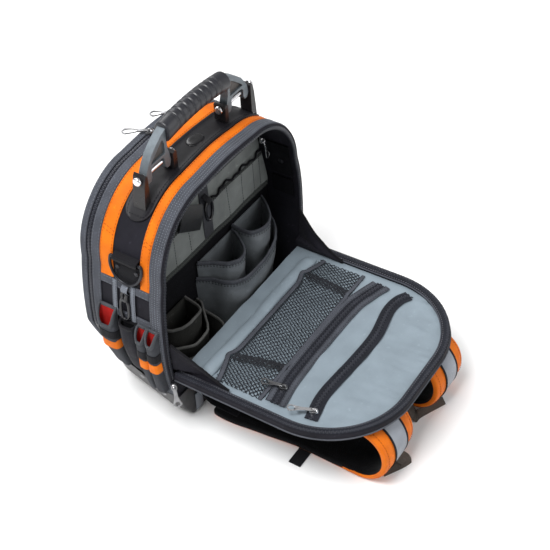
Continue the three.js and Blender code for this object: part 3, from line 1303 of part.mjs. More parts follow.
// Triangular cloth wall from the body's rim to the flap's rim on one side, with one fold.
function buildGusset(side, label) {
  const rimX = (z) => leftFace(z, RIM_Y) - RIM_TAPE_WIDTH - 3 * GAP;
  const flapX = FLAP_HALF_WIDTH - FLAP_RIM_WIDTH - 2 * GAP;
  const low = FLAP_HEIGHT - LINING_DEPTH + 1;
  const top = low + GUSSET_HEIGHT;
  const start = RIM_Y - 1;
  const clear = FLAP_HEIGHT + 1;
  const fold = GUSSET_FOLDS[label];
  const outer = [
    [rimX(top), start, top],
    [rimX(top) - GUSSET_REACH * fold.inwards, start - GUSSET_REACH * fold.reach,
      low + GUSSET_HEIGHT * fold.height],
    [flapX - 2, start - GUSSET_REACH, low + 9], [flapX - 2, start - GUSSET_REACH, low + 3],
    [flapX, start - 1.5, low + 1], [flapX, start - 1, clear], [rimX(clear + 12), start - 0.2, clear + 12],
  ];
  const rings = [0, GUSSET_THICKNESS].map((inwards) => outer.map(([x, y, z]) => [side * (x - inwards), y, z]));
  add(`gusset_${label}`, loft(rings), "black_cloth");
}

// Middle line of a strap in Y and Z: under the flap, round its loop, and back along the floor.
function strapPath() {
  const half = STRAP_THICKNESS / 2;
  const slope = Math.tan(THREE.MathUtils.degToRad(FLAP_TILT_DEG));
  const loopY = STRAP_LOOP_Y + STRAP_LOOP_DEPTH;
  const under = (y) => FLAP_HEIGHT + (FLAP_Y - y) * slope - FLAP_RIM_HEIGHT - GAP - half - 0.5;
  const low = GAP + half;
  const high = under(loopY);
  const centre = (high + low) / 2;
  const rows = [[loopY + STRAP_ANCHOR, under(loopY + STRAP_ANCHOR)]];
  for (let i = 0; i <= 8; i += 1) {
    const angle = THREE.MathUtils.degToRad(90 + (180 * i) / 8);
    const [along, up] = [(STRAP_LOOP_DEPTH - half) * Math.cos(angle), ((high - low) / 2) * Math.sin(angle)];
    rows.push([loopY + along, centre + up]);
  }
  [0.3, 0.6, 0.85, 1].forEach((t) => rows.push([loopY + t * (STRAP_END_Y - loopY), low]));
  return rows;
}

function buildStrap(side, label) {
  const path = strapPath();
  const rings = path.map(([y, z], i) => {
    const a = path[Math.max(0, i - 1)];
    const b = path[Math.min(path.length - 1, i + 1)];
    const t = new THREE.Vector2(b[0] - a[0], b[1] - a[1]).normalize();
    const half = (STRAP_WIDTH / 2) * (i === path.length - 1 ? 0.8 : 1);
    const thin = STRAP_THICKNESS / 2;
    const spread = STRAP_SPREAD * Math.max(0, 1 + (y - STRAP_END_Y) / STRAP_SPREAD_LENGTH);
    const centre = STRAP_CENTRE + spread;
    const section = [[-half, -0.4], [-half * 0.93, -1], [half * 0.93, -1], [half, -0.4], [half, 0.4],
      [half * 0.93, 1], [-half * 0.93, 1], [-half, 0.4]];
    return section.map(([u, w]) => [side * (centre + u), y - t.y * w * thin, z + t.x * w * thin]);
  });
  add(`shoulder_strap_${label}`, loft(rings), "orange");
  const from = path[path.length - 1][0] - LOWER_WEBBING_LAP;
  const foot = GAP + STRAP_THICKNESS + GAP;
  const route = LOWER_WEBBING_ROWS.map((row) => (
    [from + row.along * (TRAY_BACK_Y - GAP - from), foot + row.rise * LOWER_WEBBING_RISE]));
  const centre = STRAP_CENTRE + STRAP_SPREAD + LOWER_WEBBING_SHIFT;
  const edges = [-1, 1].map((edge) => side * (centre + (edge * LOWER_WEBBING_WIDTH) / 2));
  add(`strap_webbing_${label}`, loft(route.map(([y, z], i) => {
    const a = route[Math.max(0, i - 1)];
    const b = route[Math.min(route.length - 1, i + 1)];
    const t = new THREE.Vector2(b[0] - a[0], b[1] - a[1]).setLength(LOWER_WEBBING_THICKNESS);
    return [[edges[0], y, z], [edges[1], y, z], [edges[1], y - t.y, z + t.x], [edges[0], y - t.y, z + t.x]];
  })), "strap_black");
}

buildTray();
buildBody();
buildSideWebbing();
buildFront();
buildHandle();
buildSideHardware();
buildInside();
buildFlap();
buildBodyPulls();
[[-1, "left"], [1, "right"]].forEach(([side, label]) => {
  buildGusset(side, label);
  buildStrap(side, label);
});

export default root;
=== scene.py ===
"""Dresses the open tool backpack: cloth, webbing, zips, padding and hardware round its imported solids.

Sizes are in millimetres in this file and become metres when a mesh is made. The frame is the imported
model's: +Z is up, +Y points from the open back to the front pouch, and +X is to the right.
"""

from __future__ import annotations

import json
import logging
import math
from dataclasses import dataclass
from enum import Enum
from typing import Optional, Sequence

import bmesh
import bpy
import numpy as np
from mathutils import Matrix, Vector

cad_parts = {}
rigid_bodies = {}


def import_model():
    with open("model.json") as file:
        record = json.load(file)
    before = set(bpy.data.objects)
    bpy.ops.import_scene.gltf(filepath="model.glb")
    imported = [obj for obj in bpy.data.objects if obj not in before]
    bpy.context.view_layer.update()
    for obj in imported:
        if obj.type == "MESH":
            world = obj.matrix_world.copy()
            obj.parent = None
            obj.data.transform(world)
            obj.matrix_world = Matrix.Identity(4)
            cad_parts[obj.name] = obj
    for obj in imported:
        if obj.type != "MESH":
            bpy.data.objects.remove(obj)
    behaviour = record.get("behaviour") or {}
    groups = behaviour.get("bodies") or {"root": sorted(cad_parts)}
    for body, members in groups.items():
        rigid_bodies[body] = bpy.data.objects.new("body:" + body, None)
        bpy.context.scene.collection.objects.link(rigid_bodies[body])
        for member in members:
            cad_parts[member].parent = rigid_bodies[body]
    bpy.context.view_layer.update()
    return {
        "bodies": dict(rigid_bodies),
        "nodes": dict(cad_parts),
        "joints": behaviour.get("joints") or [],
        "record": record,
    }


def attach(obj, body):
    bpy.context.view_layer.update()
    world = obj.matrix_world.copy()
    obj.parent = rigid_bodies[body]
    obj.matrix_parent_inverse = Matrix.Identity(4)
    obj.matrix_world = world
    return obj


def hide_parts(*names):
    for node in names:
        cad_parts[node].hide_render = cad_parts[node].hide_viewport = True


LOG = logging.getLogger("tool_backpack")
MM = 0.001
BODY = "pack"
HANDLE_BODY = "handle"
RING_BODY = "ring"
WAVE_PERIOD = 0.31416
UP = np.array([0.0, 0.0, 1.0])
REAR = np.array([0.0, -1.0, 0.0])


class Side(Enum):
    """A side of the backpack, seen from behind its open back."""

    LEFT = -1
    RIGHT = 1


class Axis(Enum):
    """A coordinate that a pattern runs along."""

    ACROSS = "X"
    ALONG = "Y"


# Surfaces


@dataclass
class Surface:
    """Points in millimetres with the quads and triangles that join them, each with its own UV corners."""

    points: np.ndarray
    quads: np.ndarray
    quad_uv: np.ndarray
    tris: np.ndarray
    tri_uv: np.ndarray
    tints: Optional[np.ndarray] = None

    def volume(self) -> float:
        """Signed volume: the sum of the tetrahedra from the origin to every triangle."""
        q = self.points[self.quads]
        halves = np.concatenate([q[:, [0, 1, 2]], q[:, [0, 2, 3]], self.points[self.tris]])
        return float(np.einsum("ij,ij->i", halves[:, 0], np.cross(halves[:, 1], halves[:, 2])).sum() / 6)

    def outward(self) -> "Surface":
        """The same surface with its faces turned out where its signed volume is below zero."""
        if self.volume() >= 0:
            return self
        return Surface(self.points, self.quads[:, ::-1], self.quad_uv[:, ::-1], self.tris[:, ::-1],
                       self.tri_uv[:, ::-1], self.tints)

    def moved(self, offset: Sequence[float]) -> "Surface":
        """The same surface with an offset added to every point."""
        return Surface(self.points + np.asarray(offset, float), self.quads, self.quad_uv, self.tris,
                       self.tri_uv, self.tints)


def unit(vectors: np.ndarray) -> np.ndarray:
    """Each vector divided by its own length."""
    return vectors / np.maximum(np.linalg.norm(vectors, axis=-1, keepdims=True), 1e-12)


def run_length(points: np.ndarray, closed: bool = False) -> np.ndarray:
    """Distance along a row of points from its first, with the closing step where it is closed."""
    row = np.concatenate([points, points[:1]]) if closed else points
    steps = np.linalg.norm(np.diff(row, axis=0), axis=1)
    return np.concatenate([[0.0], np.cumsum(steps)])


def resample(points: np.ndarray, count: int, closed: bool = False) -> np.ndarray:
    """Points at even steps of length along a row of points, joined by straight lines."""
    row = np.concatenate([points, points[:1]]) if closed else points
    reach = run_length(row)
    at = np.linspace(0, reach[-1], count, endpoint=not closed)
    return between(row, reach, at)


def between(points: np.ndarray, reach: np.ndarray, at: np.ndarray) -> np.ndarray:
    """Points at given lengths along a row of points, joined by straight lines."""
    return np.stack([np.interp(at, reach, points[:, k]) for k in range(points.shape[1])], axis=1)


def curve(points: Sequence[Sequence[float]], count: int, closed: bool = False) -> np.ndarray:
    """Points at even steps along the smooth curve through the given points.

    Between two neighbours the curve is the cubic whose slope at each is half the step between the points on
    either side of it (Catmull-Rom).

    Args:
        points: the places that the curve runs through.
        count: how many points come back.
        closed: whether the last place joins the first.

    Returns:
        An array of count points.
    """
    p = np.asarray(points, float)
    n = len(p)
    if closed:
        i = np.arange(n)
        a, b, c, d = p[(i - 1) % n], p[i], p[(i + 1) % n], p[(i + 2) % n]
    else:
        wide = np.concatenate([2 * p[:1] - p[1:2], p, 2 * p[-1:] - p[-2:-1]])
        i = np.arange(n - 1)
        a, b, c, d = wide[i], wide[i + 1], wide[i + 2], wide[i + 3]
    t = np.linspace(0, 1, 16, endpoint=False)[None, :, None]
    a, b, c, d = (x[:, None, :] for x in (a, b, c, d))
    dense = 0.5 * (2 * b + (c - a) * t + (2 * a - 5 * b + 4 * c - d) * t**2 + (3 * b - a - 3 * c + d) * t**3)
    dense = dense.reshape(-1, p.shape[1])
    if not closed:
        dense = np.concatenate([dense, p[-1:]])
    return resample(dense, count, closed)


def lattice(grid: np.ndarray, loop_rows: bool = False, loop_columns: bool = False,
            caps: bool = False) -> Surface:
    """Surface through a grid of points, with UV corners in metres along its rows and columns.

    Args:
        grid: points as rows, columns, 3.
        loop_rows: whether the last row joins the first.
        loop_columns: whether the last column joins the first.
        caps: whether the first and last rows are closed by a fan about their middle.

    Returns:
        The surface, turned outwards where it is closed.
    """
    rows, columns = grid.shape[:2]
    i = np.arange(rows if loop_rows else rows - 1)[:, None]
    j = np.arange(columns if loop_columns else columns - 1)[None, :]
    i2, j2 = (i + 1) % rows, (j + 1) % columns
    quads = np.stack([i * columns + j, i2 * columns + j, i2 * columns + j2, i * columns + j2], -1)
    quads = quads.reshape(-1, 4)
    down = run_length(grid[:, columns // 2], loop_rows) * MM
    over = run_length(grid[rows // 2], loop_columns) * MM
    u, v = np.broadcast_arrays(down[i], over[j])
    u2, v2 = np.broadcast_arrays(down[i + 1], over[j + 1])
    quad_uv = np.stack([np.stack([v, u], -1), np.stack([v, u2], -1), np.stack([v2, u2], -1),
                        np.stack([v2, u], -1)], 2).reshape(-1, 4, 2)
    points = grid.reshape(-1, 3)
    tris = np.zeros((0, 3), int)
    tri_uv = np.zeros((0, 3, 2))
    if caps:
        ring = np.arange(columns)
        after = (ring + 1) % columns
        first = np.stack([np.full(columns, len(points)), ring, after], 1)
        end = (rows - 1) * columns
        last = np.stack([np.full(columns, len(points) + 1), end + after, end + ring], 1)
        tris = np.concatenate([first, last])
        points = np.concatenate([points, grid[:1].mean(1), grid[-1:].mean(1)])
        tri_uv = points[tris][:, :, :2] * MM
    surface = Surface(points, quads, quad_uv, tris, tri_uv)
    return surface.outward() if caps or (loop_rows and loop_columns) else surface


def solid(rings: Sequence[np.ndarray]) -> Surface:
    """Closed surface through rings of points, with a fan over the first and the last of them."""
    return lattice(np.asarray(rings, float), loop_columns=True, caps=True)


def rings(outline: np.ndarray, rows: Sequence[Sequence[float]]) -> np.ndarray:
    """Rings of one outline: for each row, the outline times a factor, at a height."""
    return np.stack([np.column_stack([outline * factor, np.full(len(outline), height)])
                     for factor, height in rows])


def joined(surfaces: Sequence[Surface]) -> Surface:
    """Several surfaces as one, each keeping its own points. A tint for each face marks which it came from."""
    starts = np.cumsum([0] + [len(s.points) for s in surfaces])[:-1]
    quads = np.concatenate([s.quads + start for s, start in zip(surfaces, starts)])
    tris = np.concatenate([s.tris + start for s, start in zip(surfaces, starts)])
    quad_tints = np.concatenate([np.full(len(s.quads), k) for k, s in enumerate(surfaces)])
    tri_tints = np.concatenate([np.full(len(s.tris), k) for k, s in enumerate(surfaces)])
    return Surface(np.concatenate([s.points for s in surfaces]), quads,
                   np.concatenate([s.quad_uv for s in surfaces]), tris,
                   np.concatenate([s.tri_uv for s in surfaces]), np.concatenate([quad_tints, tri_tints]))


def joined_plain(surfaces: Sequence[Surface]) -> Surface:
    """Several surfaces as one, all in the first finish."""
    whole = joined(surfaces)
    whole.tints = None
    return whole


def copies(base: Surface, places: np.ndarray, axes: np.ndarray) -> Surface:
    """A small surface repeated: each copy is its place plus the base's points times its three axes.

    Args:
        base: the surface to repeat, about the origin.
        places: one place for each copy.
        axes: one right-handed set of three axes for each copy, as rows.

    Returns:
        All the copies as one surface.
    """
    n, size = len(places), len(base.points)
    points = (places[:, None, :] + np.einsum("pk,nkd->npd", base.points, axes)).reshape(-1, 3)
    step = (np.arange(n) * size)[:, None, None]
    quads = (base.quads[None] + step).reshape(-1, 4)
    tris = (base.tris[None] + step).reshape(-1, 3)
    return Surface(points, quads, np.tile(base.quad_uv, (n, 1, 1)), tris, np.tile(base.tri_uv, (n, 1, 1)))


def pill(width: float, thickness: float, count: int = 20, power: float = 5.0) -> np.ndarray:
    """Rounded oblong section: cosine and sine of an angle, raised to 2 over power, times the half sizes."""
    angle = np.linspace(0, 2 * math.pi, count, endpoint=False) + math.pi / count
    c, s = np.cos(angle), np.sin(angle)
    shape = np.stack([np.sign(c) * np.abs(c) ** (2 / power), np.sign(s) * np.abs(s) ** (2 / power)], 1)
    return shape * np.array([width, thickness]) / 2


def disc(radius: float, count: int) -> np.ndarray:
    """Circle section: radius times the cosine and sine of even angles."""
    angle = np.linspace(0, 2 * math.pi, count, endpoint=False)
    return radius * np.stack([np.cos(angle), np.sin(angle)], 1)


def tangents(path: np.ndarray, closed: bool = False) -> np.ndarray:
    """Unit direction at each point of a path, from the points on either side of it."""
    if closed:
        return unit(np.roll(path, -1, 0) - np.roll(path, 1, 0))
    return unit(np.gradient(path, axis=0))


def sweep(path: np.ndarray, up: np.ndarray, section: np.ndarray, closed: bool = False,
          scale: Optional[np.ndarray] = None) -> Surface:
    """A section carried along a path: point + side times u + up times w, for each (u, w) of the section.

    Args:
        path: the points of the path.
        up: the direction of w, one for all points or one for each. It is made square to the path.
        section: closed outline as (u, w) rows.
        closed: whether the path is a loop.
        scale: factor on the section at each point of the path, or none.

    Returns:
        A closed surface, with its ends capped where the path is open.
    """
    along = tangents(path, closed)
    rise = np.broadcast_to(np.asarray(up, float), path.shape)
    side = unit(np.cross(along, rise))
    rise = np.cross(side, along)
    factor = np.ones(len(path)) if scale is None else scale
    u = section[None, :, 0, None] * factor[:, None, None]
    w = section[None, :, 1, None] * factor[:, None, None]
    grid = path[:, None, :] + side[:, None, :] * u + rise[:, None, :] * w
    return lattice(grid, loop_rows=closed, loop_columns=True, caps=not closed)


def walled(outer: np.ndarray, inner: np.ndarray) -> Surface:
    """Closed shell between two grids of the same size, joined round their edges.

    Each row runs out along the outer grid and back along the inner one, and the first and last rows are
    closed by strips between the two grids.
    """
    rows, columns = outer.shape[:2]
    ring = np.concatenate([outer, inner[:, ::-1]], axis=1)
    body = lattice(ring, loop_columns=True)
    count = 2 * columns
    ends = []
    for row in (0, rows - 1):
        j = np.arange(columns - 1)
        ends.append(np.stack([row * count + j, row * count + j + 1, row * count + count - 2 - j,
                              row * count + count - 1 - j], 1))
    ends[1] = ends[1][:, ::-1]
    caps = np.concatenate(ends)
    uv = body.points[caps][:, :, :2] * MM
    surface = Surface(body.points, np.concatenate([body.quads, caps]), np.concatenate([body.quad_uv, uv]),
                      body.tris, body.tri_uv)
    return surface.outward()


def waves(points: np.ndarray, size: float, seed: int) -> np.ndarray:
    """Smooth uneven field from -1 to 1: the mean of six sine waves in fixed directions with seeded phases."""
    rng = np.random.default_rng(seed)
    heading = unit(rng.normal(size=(6, 3)))
    pitch = size * rng.uniform(0.6, 1.6, 6)
    phase = rng.uniform(0, 2 * math.pi, 6)
    return np.sin(points @ heading.T * (2 * math.pi / pitch) + phase).mean(-1) * 1.6


def placed_object(name: str, data: bpy.types.ID) -> bpy.types.Object:
    """A new object at the origin, in the scene."""
    thing = bpy.data.objects.new(name, data)
    bpy.context.scene.collection.objects.link(thing)
    return thing


def mesh_object(name: str, surface: Surface, sharp_deg: float = 42.0) -> bpy.types.Object:
    """Puts a surface into a new mesh object at the origin, in metres, smooth but for its sharp edges."""
    mesh = bpy.data.meshes.new(name)
    mesh.vertices.add(len(surface.points))
    mesh.vertices.foreach_set("co", (surface.points * MM).astype(np.float32).ravel())
    quads, tris = surface.quads, surface.tris
    mesh.loops.add(quads.size + tris.size)
    mesh.loops.foreach_set("vertex_index", np.concatenate([quads.ravel(), tris.ravel()]).astype(np.int32))
    mesh.polygons.add(len(quads) + len(tris))
    starts = np.concatenate([np.arange(len(quads)) * 4, quads.size + np.arange(len(tris)) * 3])
    mesh.polygons.foreach_set("loop_start", starts.astype(np.int32))
    layer = mesh.uv_layers.new(name="UVMap")
    uv = np.concatenate([surface.quad_uv.reshape(-1, 2), surface.tri_uv.reshape(-1, 2)])
    layer.data.foreach_set("uv", uv.astype(np.float32).ravel())
    mesh.update(calc_edges=True)
    mesh.validate()
    mesh.polygons.foreach_set("use_smooth", np.ones(len(mesh.polygons), bool))
    mesh.set_sharp_from_angle(angle=math.radians(sharp_deg))
    if surface.tints is not None:
        mesh.polygons.foreach_set("material_index", surface.tints.astype(np.int32))
    return placed_object(name, mesh)


# Finishes


class Graph:
    """A material's node tree with short calls for adding and joining nodes."""

    def __init__(self, name: str) -> None:
        """Makes an empty material with one shader."""
        self.material = bpy.data.materials.new(name)
        self.material.use_nodes = True
        self.tree = self.material.node_tree
        self.shader = self.tree.nodes["Principled BSDF"]

    def node(self, kind: str, **sockets: object) -> bpy.types.Node:
        """Adds a node and sets its properties, or its sockets where no property has that name."""
        made = self.tree.nodes.new(kind)
        for key, value in sockets.items():
            if hasattr(made, key):
                setattr(made, key, value)
            else:
                made.inputs[key.replace("_", " ")].default_value = value
        return made

    def join(self, source: bpy.types.NodeSocket, target: bpy.types.NodeSocket) -> None:
        """Links one socket to another."""
        self.tree.links.new(source, target)

    def place(self, uv: bool, size: Sequence[float] = (1, 1, 1), turn: float = 0.0) -> bpy.types.NodeSocket:
        """Coordinates of the surface, from its UV map or from the object, scaled and turned."""
        read = self.node("ShaderNodeTexCoord").outputs["UV" if uv else "Object"]
        mapping = self.node("ShaderNodeMapping")
        mapping.inputs["Scale"].default_value = size
        mapping.inputs["Rotation"].default_value = (0, 0, turn)
        self.join(read, mapping.inputs["Vector"])
        return mapping.outputs["Vector"]

    def noise(self, where: bpy.types.NodeSocket, size_mm: float, detail: float = 2.0) -> bpy.types.NodeSocket:
        """Noise whose features are about as large as the size given."""
        made = self.node("ShaderNodeTexNoise", Scale=1 / (size_mm * MM), Detail=detail)
        self.join(where, made.inputs["Vector"])
        return made.outputs["Fac"]

    def bands(self, where: bpy.types.NodeSocket, axis: Axis, pitch_mm: float,
              distortion: float = 0.0) -> bpy.types.NodeSocket:
        """Sine bands that repeat at a pitch along one axis."""
        made = self.node("ShaderNodeTexWave", bands_direction=axis.value, Scale=WAVE_PERIOD / (pitch_mm * MM),
                         Distortion=distortion)
        self.join(where, made.inputs["Vector"])
        return made.outputs["Fac"]

    def fill(self, slot: bpy.types.NodeSocket, value: object) -> None:
        """Joins a socket to a slot, or gives the slot a constant value."""
        if isinstance(value, bpy.types.NodeSocket):
            self.join(value, slot)
        else:
            slot.default_value = value

    def set(self, **sockets: object) -> None:
        """Fills the shader's own sockets, with _ for each space in a socket's name."""
        for key, value in sockets.items():
            self.fill(self.shader.inputs[key.replace("_", " ")], value)

    def maths(self, operation: str, *values: object) -> bpy.types.NodeSocket:
        """Result of one sum on two or three values or sockets."""
        made = self.node("ShaderNodeMath", operation=operation)
        for slot, value in zip(made.inputs, values):
            self.fill(slot, value)
        return made.outputs[0]

    def ramp(self, factor: bpy.types.NodeSocket, low: float, high: float) -> bpy.types.NodeSocket:
        """The factor stretched so that low becomes 0 and high becomes 1."""
        made = self.node("ShaderNodeMapRange")
        made.inputs["From Min"].default_value = low
        made.inputs["From Max"].default_value = high
        self.join(factor, made.inputs["Value"])
        return made.outputs["Result"]

    def mix(self, factor: bpy.types.NodeSocket, first: object, second: object) -> bpy.types.NodeSocket:
        """Colour between two colours or sockets by a factor."""
        made = self.node("ShaderNodeMix", data_type="RGBA")
        self.join(factor, made.inputs["Factor"])
        for slot, value in ((made.inputs[6], first), (made.inputs[7], second)):
            self.fill(slot, value if isinstance(value, bpy.types.NodeSocket) else (*value, 1.0))
        return made.outputs[2]

    def dimmed(self, colour: bpy.types.NodeSocket, factor: float) -> bpy.types.NodeSocket:
        """A colour socket multiplied by a grey."""
        made = self.node("ShaderNodeMix", data_type="RGBA", blend_type="MULTIPLY")
        made.inputs["Factor"].default_value = 1.0
        self.join(colour, made.inputs[6])
        made.inputs[7].default_value = (factor, factor, factor, 1.0)
        return made.outputs[2]

    def relief(self, height: bpy.types.NodeSocket, depth_mm: float, strength: float = 1.0) -> None:
        """Adds a bump of a given depth to the shader's normal, over any bump already there."""
        made = self.node("ShaderNodeBump", Strength=strength, Distance=depth_mm * MM)
        self.join(height, made.inputs["Height"])
        target = self.shader.inputs["Normal"]
        if target.is_linked:
            self.join(target.links[0].from_socket, made.inputs["Normal"])
        self.join(made.outputs["Normal"], target)


def shade(colour: Sequence[float], factor: float) -> tuple[float, ...]:
    """A colour made lighter or darker by a factor, kept between 0 and 1."""
    return tuple(min(1.0, c * factor) for c in colour)


@dataclass(frozen=True)
class Cloth:
    """Woven cloth: crossing threads as relief, uneven dye, and paler rubbed places."""

    name: str
    colour: tuple[float, float, float]
    thread_mm: float = 1.3
    depth_mm: float = 0.25
    roughness: float = 0.8
    sheen: float = 0.03
    rub: float = 1.5
    coat: float = 0.0
    wrinkle_mm: float = 0.5
    specular: float = 0.16
    dye: float = 1.0
    uv: bool = True

    def material(self) -> bpy.types.Material:
        """Builds the material: two thread waves multiplied, and noise for dye, wrinkles and wear."""
        g = Graph(self.name)
        where = g.place(self.uv)
        body = g.place(False)
        warp = g.bands(where, Axis.ACROSS, self.thread_mm)
        weft = g.bands(where, Axis.ALONG, self.thread_mm)
        weave = g.maths("MULTIPLY", warp, weft)
        dye = g.ramp(g.noise(body, 38.0, 3.0), 0.35, 0.68)
        base = g.mix(dye, shade(self.colour, 1 - 0.2 * self.dye), shade(self.colour, 1 + 0.14 * self.dye))
        threads = g.mix(g.ramp(weave, 0.1, 0.9), g.dimmed(base, 1 - 0.3 * self.dye), base)
        worn = g.ramp(g.noise(body, 7.0, 6.0), 0.63, 0.8)
        g.set(Base_Color=g.mix(worn, threads, shade(self.colour, self.rub)),
              Roughness=g.maths("MULTIPLY_ADD", g.noise(body, 12.0, 3.0), 0.22, self.roughness - 0.1),
              Specular_IOR_Level=self.specular, Sheen_Weight=self.sheen, Sheen_Roughness=0.4,
              Coat_Weight=self.coat, Coat_Roughness=0.45)
        g.relief(g.noise(body, 26.0, 3.0), self.wrinkle_mm, 0.6)
        g.relief(weave, self.depth_mm, 0.7)
        return g.material


@dataclass(frozen=True)
class Webbing:
    """Ribbed webbing: fine ribs across with a slanted twill and a little fuzz."""

    name: str
    colour: tuple[float, float, float]
    rib_mm: float = 2.2
    depth_mm: float = 0.35
    roughness: float = 0.82

    def material(self) -> bpy.types.Material:
        """Builds the material: ribs along the tape crossed by a slanted wave, with uneven dye over them."""
        g = Graph(self.name)
        where = g.place(True)
        slanted = g.place(True, turn=math.radians(32))
        body = g.place(False)
        ribs = g.bands(where, Axis.ALONG, self.rib_mm, 0.4)
        twill = g.bands(slanted, Axis.ACROSS, self.rib_mm * 0.9, 0.6)
        weave = g.maths("MULTIPLY", ribs, twill)
        dye = g.ramp(g.noise(body, 30.0, 3.0), 0.35, 0.7)
        base = g.mix(dye, shade(self.colour, 0.82), shade(self.colour, 1.15))
        threads = g.mix(g.ramp(weave, 0.0, 0.8), g.dimmed(base, 0.62), base)
        fuzz = g.ramp(g.noise(body, 2.2, 5.0), 0.6, 0.75)
        g.set(Base_Color=g.mix(fuzz, threads, shade(self.colour, 1.35)), Roughness=self.roughness,
              Specular_IOR_Level=0.18, Sheen_Weight=0.04)
        g.relief(weave, self.depth_mm, 0.9)
        return g.material


@dataclass(frozen=True)
class Moulded:
    """Moulded plastic or rubber: fine grain, uneven gloss, and scuffs."""

    name: str
    colour: tuple[float, float, float]
    roughness: float = 0.5
    grain_mm: float = 0.9
    depth_mm: float = 0.08
    scuff: float = 1.8
    specular: float = 0.5

    def material(self) -> bpy.types.Material:
        """Builds the material: a pebble grain as relief, soft blotches in colour, and scuffs in the gloss."""
        g = Graph(self.name)
        body = g.place(False)
        grain = g.noise(body, self.grain_mm, 3.0)
        blotch = g.ramp(g.noise(body, 22.0, 4.0), 0.35, 0.7)
        base = g.mix(blotch, shade(self.colour, 0.86), shade(self.colour, 1.16))
        scuffs = g.ramp(g.noise(body, 5.0, 8.0), 0.62, 0.78)
        g.set(Base_Color=g.mix(scuffs, base, shade(self.colour, self.scuff)),
              Roughness=g.maths("MULTIPLY_ADD", g.noise(body, 9.0, 5.0), 0.25, self.roughness - 0.12),
              Specular_IOR_Level=self.specular)
        g.relief(grain, self.depth_mm, 0.8)
        return g.material


@dataclass(frozen=True)
class Metal:
    """Plated or painted metal: fine brushing and duller patches."""

    name: str
    colour: tuple[float, float, float]
    metallic: float = 1.0
    roughness: float = 0.25

    def material(self) -> bpy.types.Material:
        """Builds the material: noise drawn out along one axis for brushing, and a larger noise for patches.
        """
        g = Graph(self.name)
        body = g.place(False)
        drawn = g.place(False, (0.15, 1, 1))
        brush = g.noise(drawn, 0.5, 3.0)
        patch = g.ramp(g.noise(body, 8.0, 4.0), 0.4, 0.7)
        g.set(Base_Color=g.mix(patch, shade(self.colour, 0.88), shade(self.colour, 1.08)),
              Roughness=g.maths("MULTIPLY_ADD", brush, 0.3, self.roughness - 0.1), Metallic=self.metallic)
        g.relief(brush, 0.03, 0.5)
        return g.material


